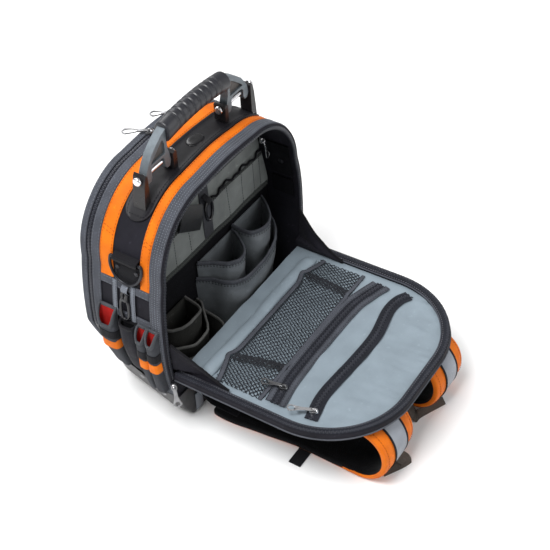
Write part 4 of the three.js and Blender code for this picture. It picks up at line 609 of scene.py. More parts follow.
class Finishes:
    """Every finish of the backpack by a plain name, made once."""

    LIBRARY = (
        Cloth("black_nylon", (0.014, 0.0135, 0.020), thread_mm=1.5, rub=2.2, roughness=0.74),
        # Painted shade: the outer black nylon darkened, for cloth inside the pack where shade falls.
        Cloth("inner_black_nylon", (0.004, 0.004, 0.006), thread_mm=1.5, rub=2.2, specular=0.12),
        Cloth("orange_nylon", (0.97, 0.205, 0.006), thread_mm=1.4, rub=1.1, roughness=0.62, wrinkle_mm=0.3),
        Cloth("strap_orange", (0.97, 0.20, 0.006), thread_mm=1.4, rub=1.1, roughness=0.6, wrinkle_mm=0.9),
        Webbing("slate_webbing", (0.085, 0.092, 0.112)),
        Webbing("black_webbing", (0.008, 0.008, 0.011)),
        Webbing("dark_webbing", (0.045, 0.047, 0.055)),
        Webbing("organiser_binding", (0.06, 0.066, 0.062), rib_mm=1.6, depth_mm=0.25),
        Webbing("pocket_binding", (0.085, 0.092, 0.105), rib_mm=1.6, depth_mm=0.3),
        Webbing("pale_webbing", (0.22, 0.24, 0.28)),
        Webbing("grey_binding", (0.105, 0.112, 0.132), rib_mm=1.6, depth_mm=0.25),
        Webbing("pale_binding", (0.16, 0.16, 0.155), rib_mm=1.2, depth_mm=0.2),
        Webbing("brown_webbing", (0.10, 0.084, 0.072), rib_mm=1.8, depth_mm=0.3),
        Cloth("sky_lining", (0.245, 0.30, 0.345), thread_mm=1.2, depth_mm=0.12, sheen=0.06, rub=1.1,
              roughness=0.6, wrinkle_mm=1.6, specular=0.3, dye=0.35),
        Cloth("coated_grey", (0.215, 0.236, 0.256), thread_mm=1.0, depth_mm=0.06, rub=1.15,
              roughness=0.42, coat=0.1, wrinkle_mm=1.0, specular=0.35),
        Cloth("organiser_grey", (0.195, 0.21, 0.205), thread_mm=1.4, depth_mm=0.15, rub=1.2, roughness=0.75),
        Cloth("pocket_grey", (0.06, 0.064, 0.075), thread_mm=1.5, rub=1.3),
        Cloth("red_lining", (0.55, 0.015, 0.012), thread_mm=1.4, rub=1.1),
        Cloth("dark_knit", (0.034, 0.034, 0.031), thread_mm=2.4, depth_mm=0.5, rub=2.4, roughness=0.9),
        Cloth("foam_mesh", (0.006, 0.006, 0.007), thread_mm=3.0, depth_mm=0.7, rub=1.8, roughness=0.9),
        Cloth("net_strand", (0.016, 0.018, 0.024), thread_mm=0.8, depth_mm=0.1, rub=1.6, roughness=0.6),
        Cloth("reflective_tape", (0.33, 0.36, 0.41), thread_mm=0.9, depth_mm=0.05, rub=1.1, roughness=0.42,
              coat=0.1, wrinkle_mm=0.2, specular=0.3),
        Cloth("bare_label", (0.006, 0.006, 0.007), thread_mm=0.7, depth_mm=0.05, rub=1.4, roughness=0.45,
              specular=0.35),
        Webbing("zip_cloth", (0.022, 0.024, 0.033), rib_mm=1.4, depth_mm=0.2),
        Moulded("zip_teeth", (0.035, 0.037, 0.048), roughness=0.34, grain_mm=0.6, depth_mm=0.03, scuff=2.0,
                specular=0.6),
        Moulded("tray_rubber", (0.010, 0.010, 0.012), roughness=0.42, grain_mm=1.4, depth_mm=0.12, scuff=2.0,
                specular=0.35),
        Moulded("pad_rubber", (0.009, 0.0085, 0.011), roughness=0.5, grain_mm=1.0, depth_mm=0.08, scuff=1.7,
                specular=0.25),
        Moulded("bracket_plastic", (0.012, 0.011, 0.012), roughness=0.3, grain_mm=1.2, depth_mm=0.04,
                scuff=1.9, specular=0.4),
        Moulded("grip_rubber", (0.010, 0.0105, 0.015), roughness=0.4, grain_mm=0.8, depth_mm=0.04, scuff=1.9,
                specular=0.6),
        Moulded("gloss_plastic", (0.007, 0.007, 0.009), roughness=0.2, grain_mm=1.5, depth_mm=0.02,
                scuff=1.8),
        Metal("painted_metal", (0.145, 0.17, 0.19), metallic=0.4, roughness=0.4),
        Metal("web_metal", (0.10, 0.09, 0.085), metallic=0.3, roughness=0.55),
        Metal("bright_steel", (0.80, 0.80, 0.82), roughness=0.16),
        Metal("pull_steel", (0.30, 0.30, 0.31), roughness=0.24),
        Metal("black_steel", (0.018, 0.019, 0.024), metallic=0.5, roughness=0.28),
        Cloth("pale_thread", (0.20, 0.21, 0.24), thread_mm=0.6, depth_mm=0.05, rub=1.2),
        Cloth("dark_thread", (0.012, 0.012, 0.016), thread_mm=0.6, depth_mm=0.05, rub=1.6),
        Cloth("rust_thread", (0.42, 0.07, 0.01), thread_mm=0.6, depth_mm=0.05, rub=1.2),
    )

    def __init__(self) -> None:
        """Makes each material of the library."""
        self.made = {finish.name: finish.material() for finish in self.LIBRARY}

    def __getitem__(self, name: str) -> bpy.types.Material:
        """The material of a finish."""
        return self.made[name]


class Workshop:
    """Puts finished pieces into the scene, on their bodies, and counts them."""

    def __init__(self, nodes: dict[str, bpy.types.Object]) -> None:
        """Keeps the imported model's nodes and makes the finishes."""
        self.nodes = nodes
        self.finishes = Finishes()

    def put(self, name: str, surface: Surface | Sequence[Surface], finish: str | Sequence[str],
            body: str = BODY, replaces: Sequence[str] = (), sharp_deg: float = 42.0) -> bpy.types.Object:
        """Makes a piece from a surface.

        Args:
            name: the piece's name.
            surface: its surface, or several that are joined, in millimetres.
            finish: its finish, or one for each tint of the surface.
            body: the body that it moves with.
            replaces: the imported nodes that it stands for.
            sharp_deg: the angle past which an edge is shown sharp.

        Returns:
            The new object.
        """
        whole = surface if isinstance(surface, Surface) else joined_plain(surface)
        thing = mesh_object(name, whole, sharp_deg)
        self.dress(thing, finish)
        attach(thing, body)
        if replaces:
            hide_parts(*replaces)
        LOG.info("%s: %d faces on %s", name, len(thing.data.polygons), body)
        return thing

    def dress(self, thing: bpy.types.Object, finish: str | Sequence[str]) -> None:
        """Gives an object its materials."""
        names = [finish] if isinstance(finish, str) else list(finish)
        if thing.data.materials:
            thing.data.materials.clear()
        for each in names:
            thing.data.materials.append(self.finishes[each])

    def refined(self, node: str, finish: str, bevel_mm: float, segments: int = 2,
                body: str = BODY, angle_deg: float = 28.0) -> bpy.types.Object:
        """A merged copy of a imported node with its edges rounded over, in that node's place.

        Args:
            node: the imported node.
            finish: the copy's finish.
            bevel_mm: how far each edge is rounded.
            segments: steps in the rounding.
            body: the body that the copy moves with.
            angle_deg: the angle past which an edge is rounded.

        Returns:
            The copy.
        """
        mesh = self.nodes[node].data.copy()
        shape = bmesh.new()
        shape.from_mesh(mesh)
        bmesh.ops.remove_doubles(shape, verts=shape.verts, dist=1e-6)
        bmesh.ops.dissolve_limit(shape, angle_limit=math.radians(1), verts=shape.verts, edges=shape.edges)
        shape.to_mesh(mesh)
        shape.free()
        face_uv(mesh)
        mesh.polygons.foreach_set("use_smooth", np.ones(len(mesh.polygons), bool))
        mesh.set_sharp_from_angle(angle=math.radians(40))
        thing = placed_object(f"{node}_finished", mesh)
        bevel = thing.modifiers.new("rounding", "BEVEL")
        bevel.width = bevel_mm * MM
        bevel.segments = segments
        bevel.limit_method = "ANGLE"
        bevel.angle_limit = math.radians(angle_deg)
        self.dress(thing, finish)
        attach(thing, body)
        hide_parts(node)
        LOG.info("%s_finished: %d faces on %s", node, len(mesh.polygons), body)
        return thing


def read(items: bpy.types.bpy_prop_collection, key: str, width: int, kind: type = np.float32) -> np.ndarray:
    """One property of every item of a mesh, as rows of a given width."""
    values = np.zeros(len(items) * width, kind)
    items.foreach_get(key, values)
    return values.reshape(-1, width)


def face_uv(mesh: bpy.types.Mesh) -> None:
    """Gives a mesh UV corners in metres: the two coordinates across the main direction of each face."""
    corner = read(mesh.loops, "vertex_index", 1, np.int32)[:, 0]
    totals = read(mesh.polygons, "loop_total", 1, np.int32)[:, 0]
    main = np.repeat(np.abs(read(mesh.polygons, "normal", 3)).argmax(1), totals)
    picks = np.array([[1, 2], [0, 2], [0, 1]])[main]
    uv = np.take_along_axis(read(mesh.vertices, "co", 3)[corner], picks, axis=1)
    layer = mesh.uv_layers.active or mesh.uv_layers.new(name="UVMap")
    layer.data.foreach_set("uv", uv.astype(np.float32).ravel())


# Trims


@dataclass(frozen=True)
class Stitching:
    """Rows of sewn stitches: short round-ended bars that lie along a line."""

    length: float = 3.3
    gap: float = 1.7
    radius: float = 0.45

    def along(self, path: np.ndarray, up: np.ndarray, closed: bool = False) -> Surface:
        """One stitch at each step of a path, sunk to a third of its thickness.

        Args:
            path: the seam's points.
            up: direction away from the cloth, one for all points or one for each.
            closed: whether the seam is a loop.

        Returns:
            All the stitches as one surface.
        """
        reach = run_length(path, closed)
        count = max(1, int(reach[-1] / (self.length + self.gap)))
        row = np.concatenate([path, path[:1]]) if closed else path
        rise = np.broadcast_to(np.asarray(up, float), path.shape)
        rise = np.concatenate([rise, rise[:1]]) if closed else rise
        ends = (np.arange(count)[:, None] + np.array([0.0, self.length / (self.length + self.gap)])) / count
        at = ends * reach[-1]
        first, last = between(row, reach, at[:, 0]), between(row, reach, at[:, 1])
        along = unit(last - first)
        up_here = between(rise, reach, at.mean(1))
        side = unit(np.cross(along, up_here))
        up_here = np.cross(side, along)
        half = np.linalg.norm(last - first, axis=1) / 2
        axes = np.stack([along * half[:, None], side, up_here], 1)
        return copies(self.bar(), (first + last) / 2 + up_here * self.radius * 0.3, axes)

    def bar(self) -> Surface:
        """One stitch: three rings of six points along X from -1 to 1, with a point at each end."""
        ring = disc(self.radius, 6)
        rows = [np.column_stack([np.full(6, x), ring * f])
                for x, f in ((-0.8, 0.75), (0.0, 1.0), (0.8, 0.75))]
        bar = solid(rows)
        bar.points[-2, 0], bar.points[-1, 0] = -1.0, 1.0
        return bar


@dataclass(frozen=True)
class Teeth:
    """Zip teeth: a row of small blocks across a tape, every other one shifted to the other side."""

    pitch: float = 2.6
    width: float = 4.6
    height: float = 1.5
    shift: float = 0.7

    def along(self, path: np.ndarray, up: np.ndarray, closed: bool = False) -> Surface:
        """One tooth at each pitch of a path, standing along up.

        Args:
            path: the middle of the zip.
            up: direction away from the tape, one for all points or one for each.
            closed: whether the zip is a loop.

        Returns:
            All the teeth as one surface.
        """
        reach = run_length(path, closed)[-1]
        count = max(2, int(reach / self.pitch))
        rise = np.broadcast_to(np.asarray(up, float), path.shape)
        spots = resample(np.concatenate([path, rise], axis=1), count, closed)
        places, up_here = spots[:, :3], unit(spots[:, 3:])
        along = tangents(places, closed)
        side = unit(np.cross(along, up_here))
        up_here = np.cross(side, along)
        sway = np.where(np.arange(count) % 2, self.shift, -self.shift)[:, None]
        return copies(self.block(), places + side * sway, np.stack([along, side, up_here], 1))

    def block(self) -> Surface:
        """One tooth: an eight-sided oblong in plan, narrowed towards its top."""
        plan = pill(self.pitch * 0.62, self.width, 8, 4.0)
        return solid(rings(plan, ((1.0, 0.0), (0.96, self.height * 0.7), (0.74, self.height))))


@dataclass(frozen=True)
class Rivet:
    """Round rivet: a low dome on a flat rim."""

    radius: float = 4.2
    height: float = 1.8

    def at(self, place: np.ndarray, up: np.ndarray) -> Surface:
        """The rivet at a place, facing up: rings of 20 points from its rim to its crown."""
        rows = ((1.0, 0.0), (1.0, 0.35), (0.86, 0.55), (0.62, 0.6), (0.5, 0.95), (0.2, 1.0))
        dome = solid(rings(disc(self.radius, 20), [(r, self.height * h) for r, h in rows]))
        up = unit(np.asarray(up, float))
        side = unit(np.cross(up, [0.3, 0.5, 0.81]))
        return copies(dome, np.asarray([place], float), np.stack([side, np.cross(up, side), up])[None])


@dataclass(frozen=True)
class Pull:
    """Zip pull: a slider with its bridge, and a leaf whose wide end has a long hole."""

    length: float
    width: float = 12.0
    thick: float = 1.8
    hole: float = 3.6
    hole_length: float = 9.0
    neck: float = 2.6
    slider: tuple[float, float, float] = (13.0, 9.0, 4.6)

    def at(self, place: Sequence[float], along: Sequence[float], facing: Sequence[float]) -> Surface:
        """The pull on its tape.

        Args:
            place: where the slider stands.
            along: the way that the leaf lies.
            facing: away from the tape.

        Returns:
            Slider, bridge and leaf as one surface.
        """
        out = unit(np.asarray(facing, float))
        way = unit(np.asarray(along, float))
        side = unit(np.cross(out, way))
        flat = np.cross(side, out)
        place = np.asarray([place], float)
        lift = out * (self.slider[2] + 1.6)
        axes = np.stack([flat, side, out])[None]
        leaf = copies(self.leaf(), place + lift, np.stack([way, side, np.cross(way, side)])[None])
        return joined_plain([copies(self.block(), place, axes), copies(self.bridge(), place, axes), leaf])

    def block(self) -> Surface:
        """Slider: an oblong plan that narrows towards its top."""
        long, wide, high = self.slider
        plan = pill(long, wide, 24, 3.4)
        return solid(rings(plan, ((0.96, 0), (1, 0.2 * high), (0.96, 0.8 * high), (0.84, high))))

    def bridge(self) -> Surface:
        """Bridge: a flat wire bent over the slider, which holds the leaf."""
        high = self.slider[2]
        line = curve([(-4.6, high - 1), (-3.4, high + 2.2), (0, high + 3.4), (3.4, high + 2.2),
                      (4.6, high - 1)], 20)
        path = np.column_stack([line[:, 0], np.zeros(20), line[:, 1]])
        return sweep(path, -REAR, pill(1.5, 3.2, 10, 3.0))

    def leaf(self) -> Surface:
        """Leaf: rings between its drop-shaped outline and the outline of its hole, on both faces."""
        end, half = self.length, self.width / 2
        outline = [(0, 0), (1.0, -self.neck), (end * 0.45, -self.neck * 1.15),
                   (end - half * 1.5, -half * 0.86),
                   (end - half * 0.6, -half * 0.96), (end, 0), (end - half * 0.6, half * 0.96),
                   (end - half * 1.5, half * 0.86), (end * 0.45, self.neck * 1.15), (1.0, self.neck)]
        edge = curve(outline, 72, closed=True)
        middle = end - 2.2 - self.hole_length / 2
        turn = np.arctan2(edge[:, 1] / half, (edge[:, 0] - middle) / (self.hole_length / 2 + 2))
        hole = np.column_stack([middle + self.hole_length / 2 * np.cos(turn), self.hole * np.sin(turn)])
        rows = []
        for share, level in ((0.0, 0.3), (0.12, 0.5), (0.88, 0.5), (1.0, 0.3), (1.0, -0.3), (0.88, -0.5),
                             (0.12, -0.5), (0.0, -0.3)):
            rows.append(np.column_stack([edge + (hole - edge) * share, np.full(72, level * self.thick)]))
        return lattice(np.stack(rows), loop_rows=True, loop_columns=True)


# Body


@dataclass
class Arch:
    """The body band's outline seen along Y, and points and layers laid over it.

    An outline point has a place (x, z) and an outward direction. At a depth y and an offset, a layer's point
    is the place plus the direction times the offset, drawn in towards the middle by the front tuck, with a
    slow ripple that every layer shares.
    """

    half_width: float = 170.0
    top: float = 389.0
    shoulder_radius: float = 107.8
    crown: float = 3.0
    floor: float = 3.3
    rim_y: float = -60.0
    rear_band_y: float = -40.2
    centre_y: float = -24.5
    front_band_y: float = 21.7
    front_strip_y: float = 44.4
    front_y: float = 59.6
    tray_front_y: float = 131.0
    tray_height: float = 66.0
    tuck: float = 22.0
    tuck_top: float = 165.0
    tuck_full: float = 68.6
    ripple: float = 0.9
    side_rows: tuple[tuple[float, float], ...] = (
        (0.0, 0.825), (0.04, 0.872), (0.085, 0.925), (0.235, 1.0), (0.41, 1.056), (0.587, 1.074),
        (0.765, 1.062), (0.903, 1.034), (1.0, 1.0))
    tray_rows: tuple[tuple[float, float], ...] = (
        (0.0, 1.0), (0.18, 0.965), (0.38, 0.915), (0.6, 0.83), (0.79, 0.7), (0.92, 0.52), (0.985, 0.27),
        (1.0, 0.0))

    def __post_init__(self) -> None:
        """Works out the outline: side rows, quarter circle and crowned top, then the same mirrored."""
        rows = np.array(self.side_rows)
        height = self.floor + rows[:, 0] * (self.shoulder - self.floor)
        side = curve(np.stack([-self.half_width * rows[:, 1], height], 1), 60)
        angle = np.linspace(0, math.pi / 2, 32)[1:, None]
        flat = self.half_width - self.shoulder_radius
        arc = np.array([-flat, self.shoulder]) + self.shoulder_radius * np.concatenate(
            [-np.cos(angle), np.sin(angle)], 1)
        across = np.linspace(-flat, 0, 14)[1:]
        top = np.stack([across, self.top + self.crown * (1 - (across / flat) ** 2)], 1)
        left = np.concatenate([side, arc, top])
        self.line = resample(np.concatenate([left, (left * [-1, 1])[::-1][1:]]), 301)
        step = unit(np.gradient(self.line, axis=0))
        self.normal = np.stack([-step[:, 1], step[:, 0]], 1)

    @property
    def shoulder(self) -> float:
        """Height where the side meets the rounded top."""
        return self.top - self.shoulder_radius

    def tray_half(self) -> float:
        """Half width of the tray where the body band ends."""
        side = np.array(self.side_rows)
        share = (self.tray_height - self.floor) / (self.shoulder - self.floor)
        return self.half_width * np.interp(share, side[:, 0], side[:, 1]) + 3.3 - self.tuck

    def tuck_at(self, y: np.ndarray) -> np.ndarray:
        """How far the side draws in at a depth: evenly to the band's front, then along the tray's plan."""
        y = np.asarray(y, float)
        rows = np.array(self.tray_rows)
        near = self.tuck * np.clip((y - self.rear_band_y) / (self.front_y - self.rear_band_y), 0, 1)
        share = (y - self.front_y) / (self.tray_front_y - self.front_y)
        beyond = (1 - np.interp(share, rows[:, 0], rows[:, 1])) * self.tray_half()
        return near + np.where(y > self.front_y, beyond, 0.0)

    def fade(self, z: np.ndarray) -> np.ndarray:
        """Share of the tuck at a height: whole low down, none above its top."""
        return np.clip((self.tuck_top - z) / (self.tuck_top - self.tuck_full), 0, 1)

    def place(self, xz: np.ndarray, normal: np.ndarray, y: np.ndarray, offset: np.ndarray) -> np.ndarray:
        """Points at outline places, depths and offsets, which are arrays that fit each other's shapes."""
        y, offset = np.asarray(y, float), np.asarray(offset, float)
        x, z = xz[..., 0], xz[..., 1]
        bare = np.stack(np.broadcast_arrays(x, y, z), -1)
        rise = offset + self.ripple * waves(bare, 95.0, 11)
        inward = np.sign(x) * self.tuck_at(y) * self.fade(z)
        return np.stack(np.broadcast_arrays(x + normal[..., 0] * rise - inward, y,
                                            z + normal[..., 1] * rise), -1)

    def run(self, z_end: float, step: float = 3.5) -> tuple[np.ndarray, np.ndarray]:
        """Outline places and directions above a height, about a step apart, with their ends at it."""
        both = np.concatenate([self.line, self.normal], 1)
        middle = len(both) // 2
        halves = []
        for part in (both[:middle + 1], both[middle:][::-1]):
            start = np.stack([np.interp(z_end, part[:, 1], part[:, k]) for k in range(4)])
            halves.append(np.concatenate([start[None], part[part[:, 1] > z_end + 0.01]]))
        whole = np.concatenate([halves[0], halves[1][::-1][1:]])
        count = int(run_length(whole[:, :2])[-1] / step)
        even = resample(whole, count)
        return even[:, :2], unit(even[:, 2:])

    def layer(self, section: np.ndarray, z_end: float, step: float = 3.5) -> Surface:
        """A closed section of (y, offset) rows carried over the arch above a height, with capped ends."""
        xz, normal = self.run(z_end, step)
        grid = self.place(xz[:, None], normal[:, None], section[None, :, 0], section[None, :, 1])
        return solid(grid)

    def strip(self, y_from: float, y_to: float, low: float, high: float, z_end: float,
              round_mm: float = 0.8) -> Surface:
        """A flat strip over the arch between two depths and offsets, with rounded edges.

        Args:
            y_from: its rear edge.
            y_to: its front edge.
            low: offset of its inner face.
            high: offset of its outer face.
            z_end: height of its two ends.
            round_mm: how far its edges are rounded.

        Returns:
            The strip.
        """
        across = max(4, int((y_to - y_from) / 3.5))
        flat = np.linspace(y_from + round_mm, y_to - round_mm, across)
        edge = (high + low) / 2
        upper = np.column_stack([flat, np.full(across, high)])
        lower = np.column_stack([flat[::-1], np.full(across, low)])
        tips = [[y_to - round_mm * 0.25, (high + edge) / 2], [y_to, edge],
                [y_to - round_mm * 0.25, (low + edge) / 2]]
        back = [[y_from + round_mm * 0.25, (low + edge) / 2], [y_from, edge],
                [y_from + round_mm * 0.25, (high + edge) / 2]]
        return self.layer(np.concatenate([upper, tips, lower, back]), z_end)

    def seam(self, y: float, offset: float, z_end: float, step: float = 3.0) -> tuple[np.ndarray, np.ndarray]:
        """A line over the arch at one depth and offset, and its outward directions."""
        xz, normal = self.run(z_end, step)
        points = self.place(xz, normal, np.full(len(xz), y), np.full(len(xz), offset))
        return points, np.stack([normal[:, 0], np.zeros(len(xz)), normal[:, 1]], 1)

    def face(self, side: Side, y: Sequence[float], z: Sequence[float],
             offset: float | Sequence[float] = 0.0) -> tuple[np.ndarray, np.ndarray]:
        """Points on one side of the body at depths and heights, and their outward directions."""
        y, z = np.broadcast_arrays(np.asarray(y, float), np.asarray(z, float))
        left = self.line[:len(self.line) // 2 + 1]
        turn = self.normal[:len(self.line) // 2 + 1]
        x, nx, nz = (np.interp(z, left[:, 1], values) for values in (left[:, 0], turn[:, 0], turn[:, 1]))
        points = self.place(np.stack([x, z], -1), np.stack([nx, nz], -1), y, offset)
        out = np.stack([nx, np.zeros_like(nx), nz], -1)
        if side is Side.RIGHT:
            points, out = points * [-1, 1, 1], out * [-1, 1, 1]
        return points, out

    def top_z(self, x: np.ndarray, offset: float = 0.0) -> np.ndarray:
        """Height of the arch's top at places across it."""
        upper = self.line[self.line[:, 1] > self.shoulder]
        lifted = upper + self.normal[self.line[:, 1] > self.shoulder] * offset
        return np.interp(x, lifted[:, 0], lifted[:, 1])


@dataclass
class Body:
    """The arched body: shell, lower back panel, grey and orange bands, rim zip and side webbing."""

    arch: Arch
    cloth: float = 2.5
    lay: float = 0.6
    strip: float = 1.8
    band: float = 1.4
    band_end_z: float = 267.0
    foot_z: float = 66.9
    webbing: float = 13.0
    lower_webbing_z: float = 204.0

    def build(self, shop: Workshop) -> None:
        """Builds and dresses the body's pieces."""
        self.shell(shop)
        self.bands(shop)
        self.rim(shop)
        self.webbings(shop)

    def shell(self, shop: Workshop) -> None:
        """The cloth band round the body: its section carried along the outline and back over the floor."""
        arch = self.arch
        depths = np.linspace(arch.rim_y, arch.front_y, 22)
        section = np.concatenate([np.column_stack([depths, np.zeros(22)]),
                                  np.column_stack([depths[::-1], np.full(22, -self.cloth)])])
        xz, normal = arch.line[::2], arch.normal[::2]
        foot = np.linspace(xz[-1], xz[0], 40)[1:-1]
        xz = np.concatenate([xz, foot])
        normal = np.concatenate([normal, np.tile([0.0, -1.0], (len(foot), 1))])
        grid = arch.place(xz[:, None], normal[:, None], section[None, :, 0], section[None, :, 1])
        grid[..., 2] = np.maximum(grid[..., 2], arch.floor)
        shop.put("body_cloth", lattice(grid, loop_rows=True, loop_columns=True), "black_nylon",
                 replaces=["body_shell"])
        shop.refined("lower_back_panel", "black_nylon", 0.8)

    def bands(self, shop: Workshop) -> None:
        """Grey strips down to the tray and orange bands down to the side webbing, with their seams."""
        arch = self.arch
        low, high, thin = self.lay, self.lay + self.strip, self.lay + self.band
        rows = (
            ("grey_webbing_rear", arch.rim_y, arch.rear_band_y - 0.3, high, self.foot_z, "slate_webbing",
             "grey_web", "grey_strip_rear"),
            ("orange_panel_rear", arch.rear_band_y, arch.centre_y - 0.3, thin, self.band_end_z,
             "orange_nylon", "orange_cloth", "orange_band_rear"),
            ("orange_panel_front", arch.front_band_y + 0.3, arch.front_strip_y, thin, self.band_end_z,
             "orange_nylon", "orange_cloth", "orange_band_front"),
            ("grey_webbing_front", arch.front_strip_y + 0.3, arch.front_y, high, self.foot_z, "slate_webbing",
             "grey_web", "grey_strip_front"),
        )
        for name, start, end, top, z_end, finish, slot, node in rows:
            shop.put(name, arch.strip(start, end, low, top, z_end), finish, replaces=[node])
        sew = Stitching()
        grey = [sew.along(*arch.seam(y, high, self.foot_z + 4)) for y in (
            arch.rim_y + 2.2, arch.rear_band_y - 2.4, arch.front_strip_y + 2.4, arch.front_y - 2.2)]
        shop.put("grey_strip_stitches", grey, "pale_thread")
        rust = [sew.along(*arch.seam(y, thin, self.band_end_z + 6)) for y in (
            arch.rear_band_y + 2.0, arch.centre_y - 2.3, arch.front_band_y + 2.4, arch.front_strip_y - 2.0)]
        for y_from, y_to, height in ((arch.rear_band_y + 1, arch.centre_y - 1.5, 331.0),
                                     (arch.front_band_y + 1.5, arch.front_strip_y - 1, 331.0)):
            for side in Side:
                for gap in (0.0, 5.0):
                    y = np.linspace(y_from, y_to, 12)
                    line, rise = arch.face(side, y, height + gap + (y - y_from) * 0.25, thin)
                    rust.append(sew.along(line, rise))
        shop.put("orange_band_stitches", rust, "rust_thread")
        dots = []
        for y in (arch.rim_y + 5.4, arch.rim_y + 9.8, arch.rim_y + 14.2):
            dots.append(Stitching(1.1, 2.6, 0.5).along(*arch.seam(y, high - 0.15, self.foot_z + 2)))
        shop.put("grey_strip_dots", dots, "reflective_tape")

    def rim(self, shop: Workshop) -> None:
        """Zip tape round the open back, with teeth in its middle and a corded outer edge."""
        arch = self.arch
        y = arch.rim_y - 1.1
        grid_section = np.column_stack([y + pill(8.0, 1.6, 16)[:, 1], -4.0 + pill(8.0, 1.6, 16)[:, 0]])
        tape = arch.layer(grid_section, 106.0)
        points, _ = arch.seam(y - 0.7, -4.4, 108.0, 2.0)
        teeth = Teeth(2.5, 4.2, 1.3, 0.6).along(points, REAR)
        surface = joined([tape, teeth])
        shop.put("rim_zip", surface, ["zip_cloth", "zip_teeth"], replaces=["rim_zip_tape"])
        edge, _ = arch.seam(y + 0.2, -0.2, 106.0)
        shop.put("rim_piping", sweep(edge, REAR, disc(1.5, 10)), "black_nylon")

    def webbings(self, shop: Workshop) -> None:
        """Flat webbing across both sides at two heights, between the grey strips, sewn at its ends."""
        arch = self.arch
        stitches = []
        levels = (("upper", self.band_end_z - 0.3 - self.webbing / 2),
                  ("lower", self.lower_webbing_z + self.webbing / 2))
        for side in Side:
            for level, z in levels:
                y = np.linspace(arch.rear_band_y, arch.front_strip_y, 26)
                label = side.name.lower()
                path, out = arch.face(side, y, np.full(26, z), self.lay + self.strip / 2)
                piece = sweep(path, out, pill(self.webbing, self.strip, 20))
                shop.put(f"webbing_{label}_{level}", piece, "slate_webbing",
                         replaces=[f"side_webbing_{label}_{level}"])
                for edge in (-4.6, 4.6):
                    seam, rise = arch.face(side, y[1:-1], np.full(24, z + edge), self.lay + self.strip)
                    stitches.append(Stitching().along(seam, rise))
        shop.put("webbing_stitches", stitches, "pale_thread")


